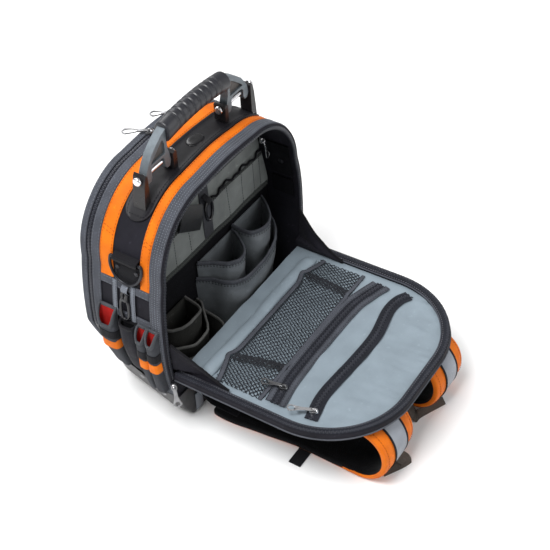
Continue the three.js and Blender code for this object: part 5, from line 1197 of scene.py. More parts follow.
@dataclass
class Front:
    """The front of the body: zip, edge strip, door and pouch."""

    arch: Arch
    zip_from: float = 59.9
    zip_width: float = 9.0
    strip_from: float = 69.2
    strip_width: float = 10.8
    end_z: float = 108.0
    pouch_start: float = 80.0
    pouch_depth: float = 36.0
    pouch_half: float = 130.0
    pouch_bottom: float = 14.0
    pouch_top: float = 345.0
    pouch_cloth: float = 2.5
    pouch_rows: tuple[tuple[float, float, float], ...] = (
        (0.0, 0.8, 0.45), (0.08, 0.88, 0.62), (0.161, 0.92, 0.76), (0.25, 0.95, 0.95), (0.45, 1.0, 1.0),
        (0.7, 1.0, 1.0), (0.84, 0.99, 1.0), (0.94, 0.91, 0.96), (0.985, 0.79, 0.93), (1.0, 0.62, 0.92))
    pouch_rings: tuple[tuple[float, float], ...] = (
        (0.0, 3.0), (0.3, 0.0), (0.72, 4.0), (0.92, 13.0), (1.0, 30.0))
    piping_ring: int = 13
    pulls: tuple[tuple[str, float, float], ...] = (("left", -11.9, 40.0), ("right", 38.1, 31.0))
    pull_way: tuple[float, float, float] = (-0.55, 0.8, -0.02)
    pull_facing: tuple[float, float, float] = (-0.1, 0.1, 1.0)

    def build(self, shop: Workshop) -> None:
        """Builds and dresses the front's pieces."""
        self.zip(shop)
        self.edge(shop)
        self.pouch(shop)
        shop.refined("front_door", "black_nylon", 0.8)
        middle = self.zip_from + self.zip_width / 2
        for label, x, length in self.pulls:
            place = (x, middle, float(self.arch.top_z(np.array([x]))[0]) + 1.5)
            pull = Pull(length, 13.0, 1.7, 4.6, length * 0.5)
            shop.put(f"front_zip_pull_{label}", pull.at(place, self.pull_way, self.pull_facing),
                     "pull_steel", replaces=[f"zip_pull_front_{label}"])

    def zip(self, shop: Workshop) -> None:
        """Zip tape between the band and the door's edge, with its teeth."""
        middle = self.zip_from + self.zip_width / 2
        tape = self.arch.strip(self.zip_from, self.zip_from + self.zip_width, -2.0, -0.4, self.end_z, 0.5)
        points, out = self.arch.seam(middle, -0.5, self.end_z + 2, 2.0)
        teeth = Teeth().along(points, out)
        shop.put("front_zip", joined([tape, teeth]), ["zip_cloth", "zip_teeth"],
                 replaces=["front_zip_tape"])

    def edge(self, shop: Workshop) -> None:
        """Grey strip round the door's edge, sewn on both sides."""
        end = self.strip_from + self.strip_width
        strip = self.arch.strip(self.strip_from, end, -1.1, 1.1, self.end_z, 1.0)
        shop.put("door_edge_webbing", strip, "slate_webbing", replaces=["door_edge_strip"])
        sew = Stitching()
        seams = [sew.along(*self.arch.seam(y, 1.1, self.end_z + 3)) for y in (self.strip_from + 2, end - 2.4)]
        shop.put("door_edge_stitches", seams, "pale_thread")

    def ring(self, depth: float, inset: float, cloth: float) -> np.ndarray:
        """Pouch outline at a share of its depth: half widths by height, less the inset and the cloth."""
        rows = curve(self.pouch_rows, 60)
        height = self.pouch_bottom + rows[:, 0] * (self.pouch_top - self.pouch_bottom)
        low = np.clip((0.5 - rows[:, 0]) * 8, 0, 1)
        z = height + low * (inset * 0.3 + cloth) - (1 - low) * (inset + cloth)
        reach = depth * self.pouch_depth * rows[:, 2]
        y = self.pouch_start + reach - depth * cloth
        full = rows[:, 1] * self.pouch_half - inset - cloth
        arch = self.arch
        share = (z - arch.floor) / (arch.shoulder - arch.floor)
        side = np.array(arch.side_rows)
        half = arch.half_width * np.interp(share, side[:, 0], side[:, 1]) - arch.tuck_at(y)
        half = half - 3.9 - cloth
        x = np.where(z < arch.tray_height + 2, np.minimum(full, half), full)
        left = np.stack([-x, y, z], 1)
        return np.concatenate([left, (left * [-1, 1, 1])[::-1]])

    def shell(self, cloth: float) -> np.ndarray:
        """The pouch's rings from the door outwards, then drawn together over its front face."""
        rings = curve(self.pouch_rings, 26)
        grid = [self.ring(depth, max(0.0, inset), cloth) for depth, inset in rings]
        centre = grid[-1].mean(0)
        last = grid[-1]
        for share in (0.82, 0.62, 0.42, 0.22, 0.06):
            inner = centre + (last - centre) * share
            inner[:, 1] = last[:, 1] * share + centre[1] * (1 - share) + 1.5 * (1 - share**2)
            grid.append(inner)
        return np.stack(grid)

    def pouch(self, shop: Workshop) -> None:
        """Cloth pouch: outer and inner shells, closed at the front and joined round the open rear edge."""
        outer, inner = self.shell(0.0), self.shell(self.pouch_cloth)
        wrinkle = waves(outer, 70.0, 5)[..., None] * 1.6
        easing = np.clip((outer[..., 1:2] - self.pouch_start) / 12, 0, 1)
        push = REAR * (wrinkle * easing)
        grid = np.concatenate([(inner + push)[::-1], outer + push])
        pouch = solid(grid)
        shop.put("front_pouch_cloth", pouch, "black_nylon", replaces=["front_pouch"],
                 sharp_deg=60)
        seam = self.shell(-0.2)[self.piping_ring]
        shop.put("front_pouch_piping", sweep(seam, -REAR, disc(1.6, 8), closed=True),
                 "black_webbing")


@dataclass
class Handle:
    """The carry handle: pad, ears, axles, forked ends and rubber grip."""

    arch: Arch
    x: float = 4.0
    y: float = -4.0
    pivot_z: float = 412.5
    rise: float = 47.5
    bow: float = 6.0
    radius: float = 15.0
    half_length: float = 71.0
    grooves: int = 8
    pad_half: float = 22.2
    pad_end_z: float = 354.7
    pad_low: float = 0.6
    pad_high: float = 3.6
    boss_radius: float = 13.0
    pad_section: tuple[tuple[float, float], ...] = (
        (-1.0, 0.0), (-1.0, 0.55), (-0.97, 0.9), (-0.93, 1.0), (-0.88, 1.0), (-0.85, 0.86), (-0.45, 0.84),
        (0.0, 0.84), (0.45, 0.84), (0.85, 0.86), (0.88, 1.0), (0.93, 1.0), (0.97, 0.9), (1.0, 0.55),
        (1.0, 0.0))
    seam_share: float = 0.76
    seam_lift: float = 3.25

    def build(self, shop: Workshop) -> None:
        """Builds and dresses the handle's pieces."""
        self.pad(shop)
        self.grip(shop)
        for label in ("left", "right"):
            for which in ("outer", "inner"):
                shop.refined(f"bracket_{which}_{label}", "bracket_plastic", 1.6, 3)
            shop.refined(f"axle_{label}", "bright_steel", 0.7, 2)
            end = shop.refined(f"handle_end_{label}", "painted_metal", 1.3, 3, HANDLE_BODY)
            self.web(shop, end)

    def web(self, shop: Workshop, end: bpy.types.Object) -> None:
        """Gives the recessed faces of a forked end, near its middle plane, their duller finish."""
        end.data.materials.append(shop.finishes["web_metal"])
        for face in end.data.polygons:
            if abs(face.center.y / MM - self.y) < 3.2 and abs(face.normal.y) > 0.9:
                face.material_index = 1

    def pad(self, shop: Workshop) -> None:
        """Moulded pad on the arch: a half circle at both ends, with a raised border."""
        arch = self.arch
        xz, normal = arch.run(self.pad_end_z, 2.6)
        reach = run_length(xz)
        from_end = np.minimum(reach, reach[-1] - reach)
        share = np.sqrt(np.clip(1 - (1 - np.clip(from_end / self.pad_half, 0, 1)) ** 2, 0.02, 1))
        middle = (arch.centre_y + arch.front_band_y) / 2
        section = np.array(self.pad_section)
        y = middle + section[None, :, 0] * self.pad_half * share[:, None]
        offset = self.pad_low + section[None, :, 1] * (self.pad_high - self.pad_low)
        grid = arch.place(xz[:, None], normal[:, None], y, offset)
        pad = solid(grid)
        shop.put("handle_pad_cover", pad, "pad_rubber", replaces=["handle_pad"], sharp_deg=50)
        reach = self.seam_share * self.pad_half * share
        edge = arch.place(xz, normal, middle + reach, self.seam_lift)
        back = arch.place(xz, normal, middle - reach, self.seam_lift)
        loop = resample(np.concatenate([edge[3:-3], back[3:-3][::-1]]), 420, closed=True)
        out = np.stack([loop[:, 0] - self.x, np.zeros(len(loop)), np.full(len(loop), 190.0)], 1)
        shop.put("handle_pad_stitches", Stitching(3.0, 1.6, 0.45).along(loop, unit(out), True), "dark_thread")
        self.boss(shop, middle)

    def boss(self, shop: Workshop, y: float) -> None:
        """Bare oval boss on the pad: a low dome with a flat top and a rounded shoulder."""
        crest = float(self.arch.top_z(np.array([self.x]), self.pad_high)[0])
        rows = ((1.06, -2.0), (1.06, 0.2), (1.0, 1.3), (0.9, 2.0), (0.8, 2.25), (0.4, 2.3), (0.05, 2.3))
        oval = disc(self.boss_radius, 40) * np.array([1.15, 0.86])
        boss = solid(rings(oval, rows) + np.array([self.x, y, crest]))
        shop.put("handle_pad_boss", boss, "gloss_plastic", sharp_deg=50)

    def grip(self, shop: Workshop) -> None:
        """Rubber grip: a bowed bar whose radius dips in grooves on its upper rear half, between collars."""
        steps, around = 240, 48
        x = np.linspace(-1, 1, steps)
        angle = np.linspace(0, 2 * math.pi, around, endpoint=False)
        inside = np.clip((0.68 - np.abs(x)) / 0.02, 0, 1)
        wave = 0.5 - 0.5 * np.cos(2 * math.pi * (x + 0.68) / 1.36 * self.grooves)
        groove = inside * (1 - np.clip(wave * 3.2, 0, 1))
        facing = np.clip(0.75 + 0.9 * np.cos(angle - math.radians(125)), 0, 1)
        ends = np.clip((1 - np.abs(x)) / 0.035, 0, 1)
        collar = 0.86 + 0.14 * np.sqrt(np.clip(1 - (1 - ends) ** 2, 0, 1))
        lip = 0.03 * np.exp(-((np.abs(x) - 0.70) / 0.012) ** 2)
        radius = self.radius * (collar[:, None] - 0.10 * groove[:, None] * facing[None, :] - lip[:, None])
        centre = self.pivot_z + self.rise - self.bow * x**2
        grid = np.stack([
            np.broadcast_to(self.x + self.half_length * x[:, None], radius.shape),
            self.y + radius * 0.92 * np.cos(angle), centre[:, None] + radius * np.sin(angle)], -1)
        shop.put("handle_grip_rubber", solid(grid), "grip_rubber",
                 body=HANDLE_BODY, replaces=["handle_grip"], sharp_deg=60)


@dataclass
class SideHardware:
    """Fittings on the left side: D-ring, its webbing tunnel, snap hook, tabs, loop and rivets."""

    arch: Arch
    ring_x: float = -172.4
    ring_y: float = -3.0
    ring_z: float = 307.0
    ring_half: float = 26.0
    ring_drop: float = 37.0
    ring_wire: float = 2.2
    ring_lean_deg: float = 10.0
    tunnel_half: float = 21.0
    plate_end_z: float = 268.5
    hook_y: float = -0.5
    hook_top_z: float = 256.0
    hook_length: float = 48.0
    hook_radius: float = 6.8
    hook_wire: float = 2.8
    hook_stand: float = 6.1
    ring_rivets: tuple[float, ...] = (13.5, -19.5)
    tab_places: tuple[float, ...] = (19.0, -12.5)
    tray_rivets: tuple[float, ...] = (82.0, 10.0, -39.0)
    tray_rivet_z: float = 61.0

    def build(self, shop: Workshop) -> None:
        """Builds and dresses the side's fittings."""
        self.ring(shop)
        self.tunnel(shop)
        self.hook(shop)
        self.tabs(shop)
        self.low_webbing(shop)
        pull = Pull(38.0, 13.0, 2.0).at((-180.5, -66.6, 100.0), (0.03, -0.06, -1.0), (-0.72, -0.69, 0.0))
        shop.put("rim_zip_pull", pull, "pull_steel", replaces=["zip_pull_rim"])
        tag = np.stack([np.full(12, -129.0), np.full(12, -67.6), np.linspace(40.0, 6.0, 12)], 1)
        shop.put("low_side_tag", sweep(tag, REAR, pill(17.0, 1.2, 14)),
                 "reflective_tape")

    def ring(self, shop: Workshop) -> None:
        """D-ring: a straight bar and a bow below it, turned out about the bar by its lean."""
        h, drop = self.ring_half, self.ring_drop
        shape = [(-h, 0), (-h * 0.85, 0), (-h * 0.5, 0), (0, 0), (h * 0.5, 0), (h * 0.85, 0), (h, 0),
                 (h + 1, -drop * 0.35), (h * 0.78, -drop * 0.74), (h * 0.3, -drop * 0.98),
                 (-h * 0.3, -drop * 0.98), (-h * 0.78, -drop * 0.74), (-h - 1, -drop * 0.35)]
        loop = curve(shape, 110, closed=True)
        lean = math.radians(self.ring_lean_deg)
        path = np.stack([self.ring_x + loop[:, 1] * math.sin(lean), self.ring_y + loop[:, 0],
                         self.ring_z + loop[:, 1] * math.cos(lean)], 1)
        up = np.array([math.cos(lean), 0.0, -math.sin(lean)])
        shop.put("d_ring_wire", sweep(path, up, disc(self.ring_wire, 14), closed=True), "black_steel",
                 body=RING_BODY, replaces=["d_ring"])

    def tunnel(self, shop: Workshop) -> None:
        """Webbing folded round the ring's bar: up from its plate, over the bar, and back to the side."""
        x, z = self.ring_x, self.ring_z
        low = float(self.arch.face(Side.LEFT, [self.ring_y], [z - 7], 1.6)[0][0, 0])
        high = float(self.arch.face(Side.LEFT, [self.ring_y], [z + 6], 1.4)[0][0, 0])
        end = float(self.arch.face(Side.LEFT, [self.ring_y], [self.plate_end_z], 1.8)[0][0, 0])
        mid = float(self.arch.face(Side.LEFT, [self.ring_y], [(z + self.plate_end_z) / 2], 1.8)[0][0, 0])
        line = curve([(end, self.plate_end_z), (mid, (z + self.plate_end_z) / 2), (low, z - 7),
                      (x - 2.4, z - 4.2), (x - 4.0, z), (x - 2.2, z + 3.8), (high, z + 6)], 60)
        path = np.stack([line[:, 0], np.full(60, self.ring_y), line[:, 1]], 1)
        out = tangents(path)
        up = np.stack([-out[:, 2], np.zeros(60), out[:, 0]], 1)
        fold = sweep(path, up, pill(2 * self.tunnel_half, 1.9, 26))
        seams = []
        for y in (-16.5, 16.5):
            seam = path + np.array([0.0, y, 0.0]) + up * 0.95
            seams.append(Stitching(2.6, 1.4, 0.45).along(seam[:34], up[:34]))
        cross = np.stack([np.full(20, path[9, 0]), self.ring_y + np.linspace(-16, 16, 20),
                          np.full(20, path[9, 2])], 1) + up[9] * 0.95
        seams.append(Stitching(2.6, 1.4, 0.45).along(cross, up[9]))
        shop.put("ring_tunnel_webbing", fold, "black_webbing", replaces=["ring_tunnel"])
        shop.put("ring_tunnel_stitches", seams, "dark_thread")
        rivets = []
        for y in self.ring_rivets:
            place, facing = self.arch.face(Side.LEFT, [y], [z - 17], 2.7)
            rivets.append(Rivet(3.6, 1.8).at(place[0], facing[0]))
        shop.put("ring_tunnel_rivets", rivets, "black_steel")

    def hook(self, shop: Workshop) -> None:
        """Snap hook: a long closed wire loop with a thicker eye at its top and a gate bar across its side."""
        r, length = self.hook_radius, self.hook_length
        shape = [(0, 0), (-r * 0.55, -5), (-r * 0.45, -12), (-r, -length * 0.45), (-r * 0.9, -length * 0.88),
                 (0, -length), (r * 0.9, -length * 0.88), (r, -length * 0.45),
                 (r * 0.45, -12), (r * 0.55, -5)]
        loop = curve(shape, 90, closed=True)
        path, out = self.arch.face(Side.LEFT, self.hook_y + loop[:, 0], self.hook_top_z + loop[:, 1],
                                   self.hook_stand)
        thick = 0.8 + 0.25 * np.exp(-((loop[:, 1] + 12) / 7.0) ** 2)
        wire = sweep(path, out, disc(self.hook_wire, 14), closed=True, scale=thick)
        across = np.linspace(-r * 0.5, r * 0.5, 8)
        bar, facing = self.arch.face(Side.LEFT, self.hook_y + across, np.full(8, self.hook_top_z - 13.5),
                                     self.hook_stand)
        collar = sweep(bar, facing, pill(8.0, 6.0, 16, 3.0))
        shop.put("snap_hook_body", [wire, collar], "gloss_plastic",
                 replaces=["snap_hook"])
        y = np.full(20, self.hook_y)
        z = np.linspace(self.hook_top_z + 8, self.hook_top_z - 6, 20)
        hang, rise = self.arch.face(Side.LEFT, y, z, 3.6 + 4.4 * np.sin(np.linspace(0, math.pi, 20)))
        shop.put("snap_hook_loop", sweep(hang, rise, pill(11.0, 1.4, 16)), "pale_webbing")

    def tabs(self, shop: Workshop) -> None:
        """Upright grey tabs on both sides of the snap hook, each sewn down with a box of stitches."""
        arch = self.arch
        seams, tabs = [], []
        for y in self.tab_places:
            z = np.linspace(206.0, 266.0, 26)
            path, out = arch.face(Side.LEFT, np.full(26, y), z, 3.2)
            tabs.append(sweep(path, out, pill(8.0, 1.3, 16)))
            for edge in (-2.7, 2.7):
                seam, rise = arch.face(Side.LEFT, np.full(26, y + edge), z, 3.85)
                seams.append(Stitching(2.6, 1.4, 0.4).along(seam, rise))
        shop.put("hook_side_tabs", tabs, "pale_webbing")
        shop.put("hook_side_tab_stitches", seams, "dark_thread")

    def low_webbing(self, shop: Workshop) -> None:
        """Slanted webbing above the tray on both sides, with its seams and rivets."""
        arch = self.arch
        for side in Side:
            label = side.name.lower()
            y = np.linspace(13.0, -39.0, 30)
            z = np.linspace(109.0, 86.0, 30)
            path, out = arch.face(side, y, z, 1.5)
            shop.put(f"slanted_webbing_{label}", sweep(path, out, pill(12.0, 1.6, 16)), "slate_webbing")
            seams = [Stitching().along(*arch.face(side, y, z + edge, 2.3)) for edge in (-4.2, 4.2)]
            shop.put(f"slanted_webbing_stitches_{label}", seams, "pale_thread")
        rivets = []
        for side in Side:
            for y in self.tray_rivets:
                wall, out = arch.face(side, [y], [self.tray_rivet_z], 3.8)
                rivets.append(Rivet(3.8, 2.0).at(wall[0] + out[0] * 0.1, out[0]))
        shop.put("tray_rivets", rivets, "pull_steel")


@dataclass(frozen=True)
class Cup:
    """A sewn pocket on the left side: its place, size, and the colours of its bands."""

    name: str
    node: str
    y: float
    half: float
    depth: float
    taper: float
    top: float
    bottom: float
    dip: float
    finish: str
    trim: str
    tip: str
    slot: str


@dataclass
class SidePockets:
    """The knife sheath and the tool pockets down the left side."""

    arch: Arch
    back: float = 3.1
    wall: float = 1.6
    cups: tuple[Cup, ...] = (
        Cup("sheath_shell", "side_sheath", -5.0, 14.0, 13.0, 0.45, 203.0, 108.0, 3.0, "black_nylon",
            "black_webbing", "black_webbing", "black_web"),
        Cup("tool_pocket_wide_shell", "tool_pocket_wide", 31.5, 15.0, 14.0, 0.3, 216.0, 96.0, 28.0,
            "pocket_grey", "pocket_binding", "orange_nylon", "pocket_cloth"),
        Cup("tool_pocket_front_shell", "tool_pocket_narrow_front", -28.2, 8.6, 14.0, 0.3, 204.0, 84.0, 20.0,
            "pocket_grey", "pocket_binding", "orange_nylon", "pocket_cloth"),
        Cup("tool_pocket_rear_shell", "tool_pocket_narrow_rear", -45.7, 8.6, 14.0, 0.3, 204.0, 84.0, 20.0,
            "pocket_grey", "pocket_binding", "orange_nylon", "pocket_cloth"),
    )

    def build(self, shop: Workshop) -> None:
        """Builds each pocket with its lining, mouth binding, and bands."""
        for cup in self.cups:
            self.cup(shop, cup)

    def ring(self, cup: Cup, share: float, inset: float, count: int = 44) -> np.ndarray:
        """One level of a pocket: a flat back and a rounded front, dipping at the mouth towards the front."""
        plan = curve([(-1, 0), (1, 0), (1.0, 0.36), (0.86, 0.8), (0.5, 1), (0, 1.03), (-0.5, 1), (-0.86, 0.8),
                      (-1.0, 0.36)], count, closed=True)
        across = np.clip(plan[:, 0], -1, 1) * (cup.half - inset)
        out = np.clip(plan[:, 1], 0, None)
        level = cup.top + share * (cup.bottom - cup.top)
        reach = cup.depth * (1 - cup.taper * share)
        off = inset + out * (reach - 2 * inset)
        drop = cup.dip * np.clip(out, 0, 1) ** 2.2 * max(0.0, 1 - share * 4)
        points, facing = self.arch.face(Side.LEFT, cup.y + across, level - drop, self.back)
        return points + facing * off[:, None] * np.array([1.0, 0.0, 1.0])

    def cup(self, shop: Workshop, cup: Cup) -> None:
        """One pocket: shells inside and outside, and its trims.

        Args:
            shop: where the pieces go.
            cup: the pocket's sizes and finishes.
        """
        shares = np.concatenate([np.linspace(0, 0.25, 8), np.linspace(0.3, 1, 14)])
        outer = np.stack([self.ring(cup, s, 0.0) for s in shares])
        inner = np.stack([self.ring(cup, s, self.wall) for s in shares])
        inner[-1, :, 2] += self.wall
        sag = waves(outer, 32.0, 7)[..., None] * np.array([0.5, 0.0, 0.0])
        outer, inner = outer + sag, inner + sag
        shell = solid(np.concatenate([inner[::-1], outer]))
        band = np.arange(len(shell.quads)) // outer.shape[1]
        shell.tints = np.concatenate([np.where(band < len(shares) - 1, 1, 0), np.zeros(len(shell.tris), int)])
        # The black sheath's inside is its own black nylon darkened as painted shade; the tool pockets' inside
        # is their real red lining.
        lining = "inner_black_nylon" if cup.finish == "black_nylon" else "red_lining"
        shop.put(cup.name, shell, [cup.finish, lining], replaces=[cup.node])
        mouth = (outer[0] + inner[0]) / 2
        binding = sweep(mouth, UP, pill(3.4, 5.6, 14, 3.0), closed=True)
        shop.put(f"{cup.name}_binding", binding, cup.trim)
        if cup.tip == cup.trim:
            return
        bands = []
        for low, high, finish in ((0.30, 0.42, "black_webbing"), (0.46, 0.60, cup.tip)):
            level = (low + high) / 2
            line = self.ring(cup, level, -0.7, 60)[int(60 * 0.27):int(60 * 0.97)]
            width = (high - low) * (cup.top - cup.bottom)
            centre = np.array([line[:, 0].mean() + 8, cup.y, line[:, 2].mean()])
            out = unit((line - centre) * np.array([1.0, 1.0, 0.0]))
            bands.append((sweep(line, out, pill(width, 1.0, 16)), finish))
        surface = joined([b[0] for b in bands])
        shop.put(f"{cup.name}_bands", surface, [b[1] for b in bands])


@dataclass(frozen=True)
class Pocket:
    """A pocket hung inside: its node, plan, and its mouth and foot as a height and two edges."""

    name: str
    node: str
    plan: tuple[tuple[float, float], ...]
    layer: int
    depth: float
    mouth: tuple[float, float, float]
    foot: tuple[float, float, float]
    clear: bool


@dataclass
class Inside:
    """What shows inside the open back: divider, organiser, key clip, and vinyl and dark pockets."""

    arch: Arch
    cloth: float = 2.5
    face_y: float = 2.7
    sheet: float = 1.8
    organiser_bottom: float = 214.0
    organiser_top: float = 368.0
    organiser_thick: float = 10.0
    dip: float = 8.0
    mouths: tuple[tuple[float, float], ...] = ((215.5, 9.0), (277.5, 5.0), (311.0, 4.0), (366.0, 6.0))
    pen_seams: tuple[float, ...] = (-112.0, -73.0, -37.0, 62.0, 100.0, 130.0, 147.0)
    zip_z: float = 321.0
    organiser_rows: tuple[tuple[float, float], ...] = (
        (0.0, 0.9), (0.05, 1.0), (0.42, 0.8), (0.45, 0.5), (0.73, 0.4), (0.76, 0.25), (1.0, 0.2))
    pockets: tuple[Pocket, ...] = (
        Pocket("clear_pocket_big", "vinyl_pocket_big",
               ((0, 0), (0.07, 0.3), (0.12, 0.7), (0.23, 0.95), (0.36, 1), (0.52, 0.99), (0.71, 0.88),
                (0.87, 0.66), (0.98, 0.3), (1, 0)), 0, 63, (151, -23, 164), (12, -14, 127), True),
        Pocket("clear_pocket_left", "vinyl_pocket_left",
               ((0, 0), (0.18, 0.4), (0.3, 0.8), (0.45, 0.98), (0.62, 1), (0.78, 0.84), (0.86, 0.6),
                (0.97, 0.25), (1, 0)), 1, 47, (181, -19, 73), (66, -12, 68), True),
        Pocket("clear_pocket_right", "vinyl_pocket_right",
               ((0, 0), (0.02, 0.5), (0.11, 0.86), (0.3, 1), (0.53, 0.95), (0.7, 0.77), (0.86, 0.43), (1, 0)),
               1, 44, (188, 73.6, 158), (66, 74, 143), True),
        Pocket("dark_pocket_front_cloth", "dark_pocket_front",
               ((0, 0), (0.03, 0.5), (0.2, 0.84), (0.4, 0.98), (0.66, 1), (0.9, 0.97), (0.99, 0.7), (1, 0)),
               0, 61.5, (95, -142, -25), (12, -122, -27), False),
        Pocket("dark_pocket_middle_cloth", "dark_pocket_middle",
               ((0, 0), (0.03, 0.5), (0.17, 0.78), (0.32, 0.98), (0.5, 1), (0.68, 0.87), (0.82, 0.55),
                (0.98, 0.2), (1, 0)), 1, 54, (116, -137, -28), (28, -120, -31), False),
        Pocket("dark_pocket_rear_cloth", "dark_pocket_rear",
               ((0, 0), (0.03, 0.5), (0.2, 0.84), (0.4, 0.98), (0.66, 1), (0.9, 0.97), (0.99, 0.7), (1, 0)),
               2, 36, (146, -130, -58), (42, -115, -60), False),
    )

    def build(self, shop: Workshop) -> None:
        """Builds and dresses the inside."""
        # The divider is dressed in black nylon darkened as painted shade.
        shop.refined("divider", "inner_black_nylon", 0.8)
        self.organiser(shop)
        for pocket in self.pockets:
            self.pocket(shop, pocket)
        self.key_holder(shop)
        self.right_wall(shop)

    def half_at(self, z: np.ndarray) -> np.ndarray:
        """Half width of the organiser at a height: the body's own, less a margin."""
        left = self.arch.line[:len(self.arch.line) // 2 + 1]
        return -np.interp(z, left[:, 1], left[:, 0]) - 14.0

    def thick_at(self, z: np.ndarray) -> np.ndarray:
        """Thickness of the organiser at a height."""
        rows = np.array(self.organiser_rows)
        share = (z - self.organiser_bottom) / (self.organiser_top - self.organiser_bottom)
        return self.organiser_thick * np.interp(share, rows[:, 0], rows[:, 1])

    def front(self, x: np.ndarray, z: np.ndarray, lift: float = 0.0) -> np.ndarray:
        """Points on the organiser's open face, with its slow ripple, raised by a lift."""
        bare = np.stack(np.broadcast_arrays(x, 0.0, z), -1)
        y = self.face_y - self.thick_at(z) - lift + waves(bare, 60.0, 21) * 0.8
        return np.stack(np.broadcast_arrays(x, y, z), -1)

    def organiser(self, shop: Workshop) -> None:
        """Organiser panel: stepped rows of pockets with bindings along their mouths, pen seams and a zip."""
        z = np.linspace(self.organiser_bottom, self.organiser_top, 70)
        u = np.linspace(-1, 1, 60)
        x = u[None, :] * self.half_at(z)[:, None]
        outer = self.front(x, z[:, None])
        inner = np.stack([x, np.full_like(x, self.face_y), np.broadcast_to(z[:, None], x.shape)], -1)
        shop.put("organiser_cloth", walled(outer, inner), "organiser_grey",
                 replaces=["organiser_panel"])
        seams, bindings = [], []
        for height, width in self.mouths:
            row = np.linspace(-0.985, 0.985, 80) * self.half_at(np.array([height]))[0]
            path = self.front(row, np.full(80, height), 0.9)
            bindings.append(sweep(path, REAR, pill(width, 1.3, 14)))
            for edge in (-0.28, 0.28):
                seams.append(Stitching().along(path + [0, -0.8, edge * width], REAR))
        for x_at in self.pen_seams:
            path = self.front(np.full(40, x_at), np.linspace(220.0, 275.0, 40), 0.15)
            seams.append(Stitching().along(path, REAR))
        shop.put("organiser_bindings", bindings, "organiser_binding")
        shop.put("organiser_stitches", seams, "dark_thread")
        row = np.linspace(-0.86, 0.95, 90) * self.half_at(np.array([self.zip_z]))[0]
        path = self.front(row, np.full(90, self.zip_z), 0.8)
        tape = sweep(path, REAR, pill(14.0, 1.2, 14))
        teeth = Teeth(2.5, 4.4, 1.4, 0.6).along(path + [0, -0.5, 0], REAR)
        shop.put("organiser_zip", joined([tape, teeth]), ["zip_cloth", "zip_teeth"])
        # Painted shadow: a thin black wavy strip along the lower row's mouth stands for the dark gap under
        # its edge.
        row = np.linspace(22.0, 158.0, 70)
        slack = 281.5 + 1.8 * np.sin(row / 7.5) + 1.2 * np.sin(row / 3.2)
        path = self.front(row, slack, 2.2)
        shop.put("organiser_open_mouth", sweep(path, REAR, pill(3.6, 1.6, 12)), "inner_black_nylon")
        u, v = np.meshgrid(np.linspace(0, 1, 12), np.linspace(0, 1, 10))
        x = -51 + 46 * u - 12 * v
        z = 318 - 27 * u - 40 * v
        depth = -9.5 - 2.0 * np.sin(math.pi * v) - 1.5 * u
        tag = walled(np.stack([x, depth, z], -1), np.stack([x, depth + 0.9, z], -1))
        shop.put("organiser_label", tag, "bare_label")
        pull = Pull(34.0, 9.0).at((154, -7.5, 304), (0.1, -0.12, -1), (0, -1, 0))
        shop.put("organiser_zip_pull", pull, "bright_steel")

    def key_holder(self, shop: Workshop) -> None:
        """Key clip on its webbing, hung before the organiser."""
        shop.refined("key_clip", "gloss_plastic", 0.5)
        path = self.front(np.full(24, 8.0), np.linspace(308.0, 222.0, 24), 1.0)
        shop.put("key_clip_webbing", sweep(path, REAR, pill(22.0, 1.4, 18)), "dark_webbing")
        loop = curve([(2, -7, 300), (5, -11.5, 294), (10, -12.5, 286), (12, -9, 279)], 20)
        shop.put("key_clip_loop", sweep(loop, REAR, pill(9.0, 2.0, 14)), "black_webbing")

    def level(self, pocket: Pocket, share: float, inset: float, count: int = 64) -> np.ndarray:
        """One level of a pocket from its left edge round its belly to its right edge."""
        plan = curve(pocket.plan, count)
        across, belly = np.clip(plan[:, 0], 0, 1), np.clip(plan[:, 1], 0, 1.05)
        height = pocket.mouth[0] + share * (pocket.foot[0] - pocket.mouth[0])
        ease = share**1.6
        left = pocket.mouth[1] + ease * (pocket.foot[1] - pocket.mouth[1]) + inset
        right = pocket.mouth[2] + ease * (pocket.foot[2] - pocket.mouth[2]) - inset
        reach = pocket.depth * (1 - 0.16 * ease) - 2 * inset
        back = self.face_y - pocket.layer * (self.sheet + 0.3)
        drop = self.dip * belly * max(0.0, 1 - share * 3)
        x = left + across * (right - left)
        return np.stack([x, back - inset - belly * reach, height - drop], 1)

    def pocket(self, shop: Workshop, pocket: Pocket) -> None:
        """One pocket: a cup with its back on the divider, a wrinkled belly, and a bound mouth.

        Args:
            shop: where the pieces go.
            pocket: the pocket's sizes.
        """
        shares = np.concatenate([np.linspace(0, 0.06, 3), np.linspace(0.1, 1, 26)])

        def rows(inset: float) -> np.ndarray:
            """All the levels, each closed by a straight run along its back."""
            out = []
            for share in shares:
                belly = self.level(pocket, share, inset)
                back = np.linspace(belly[-1], belly[0], 22)[1:-1]
                out.append(np.concatenate([belly, back]))
            return np.stack(out)

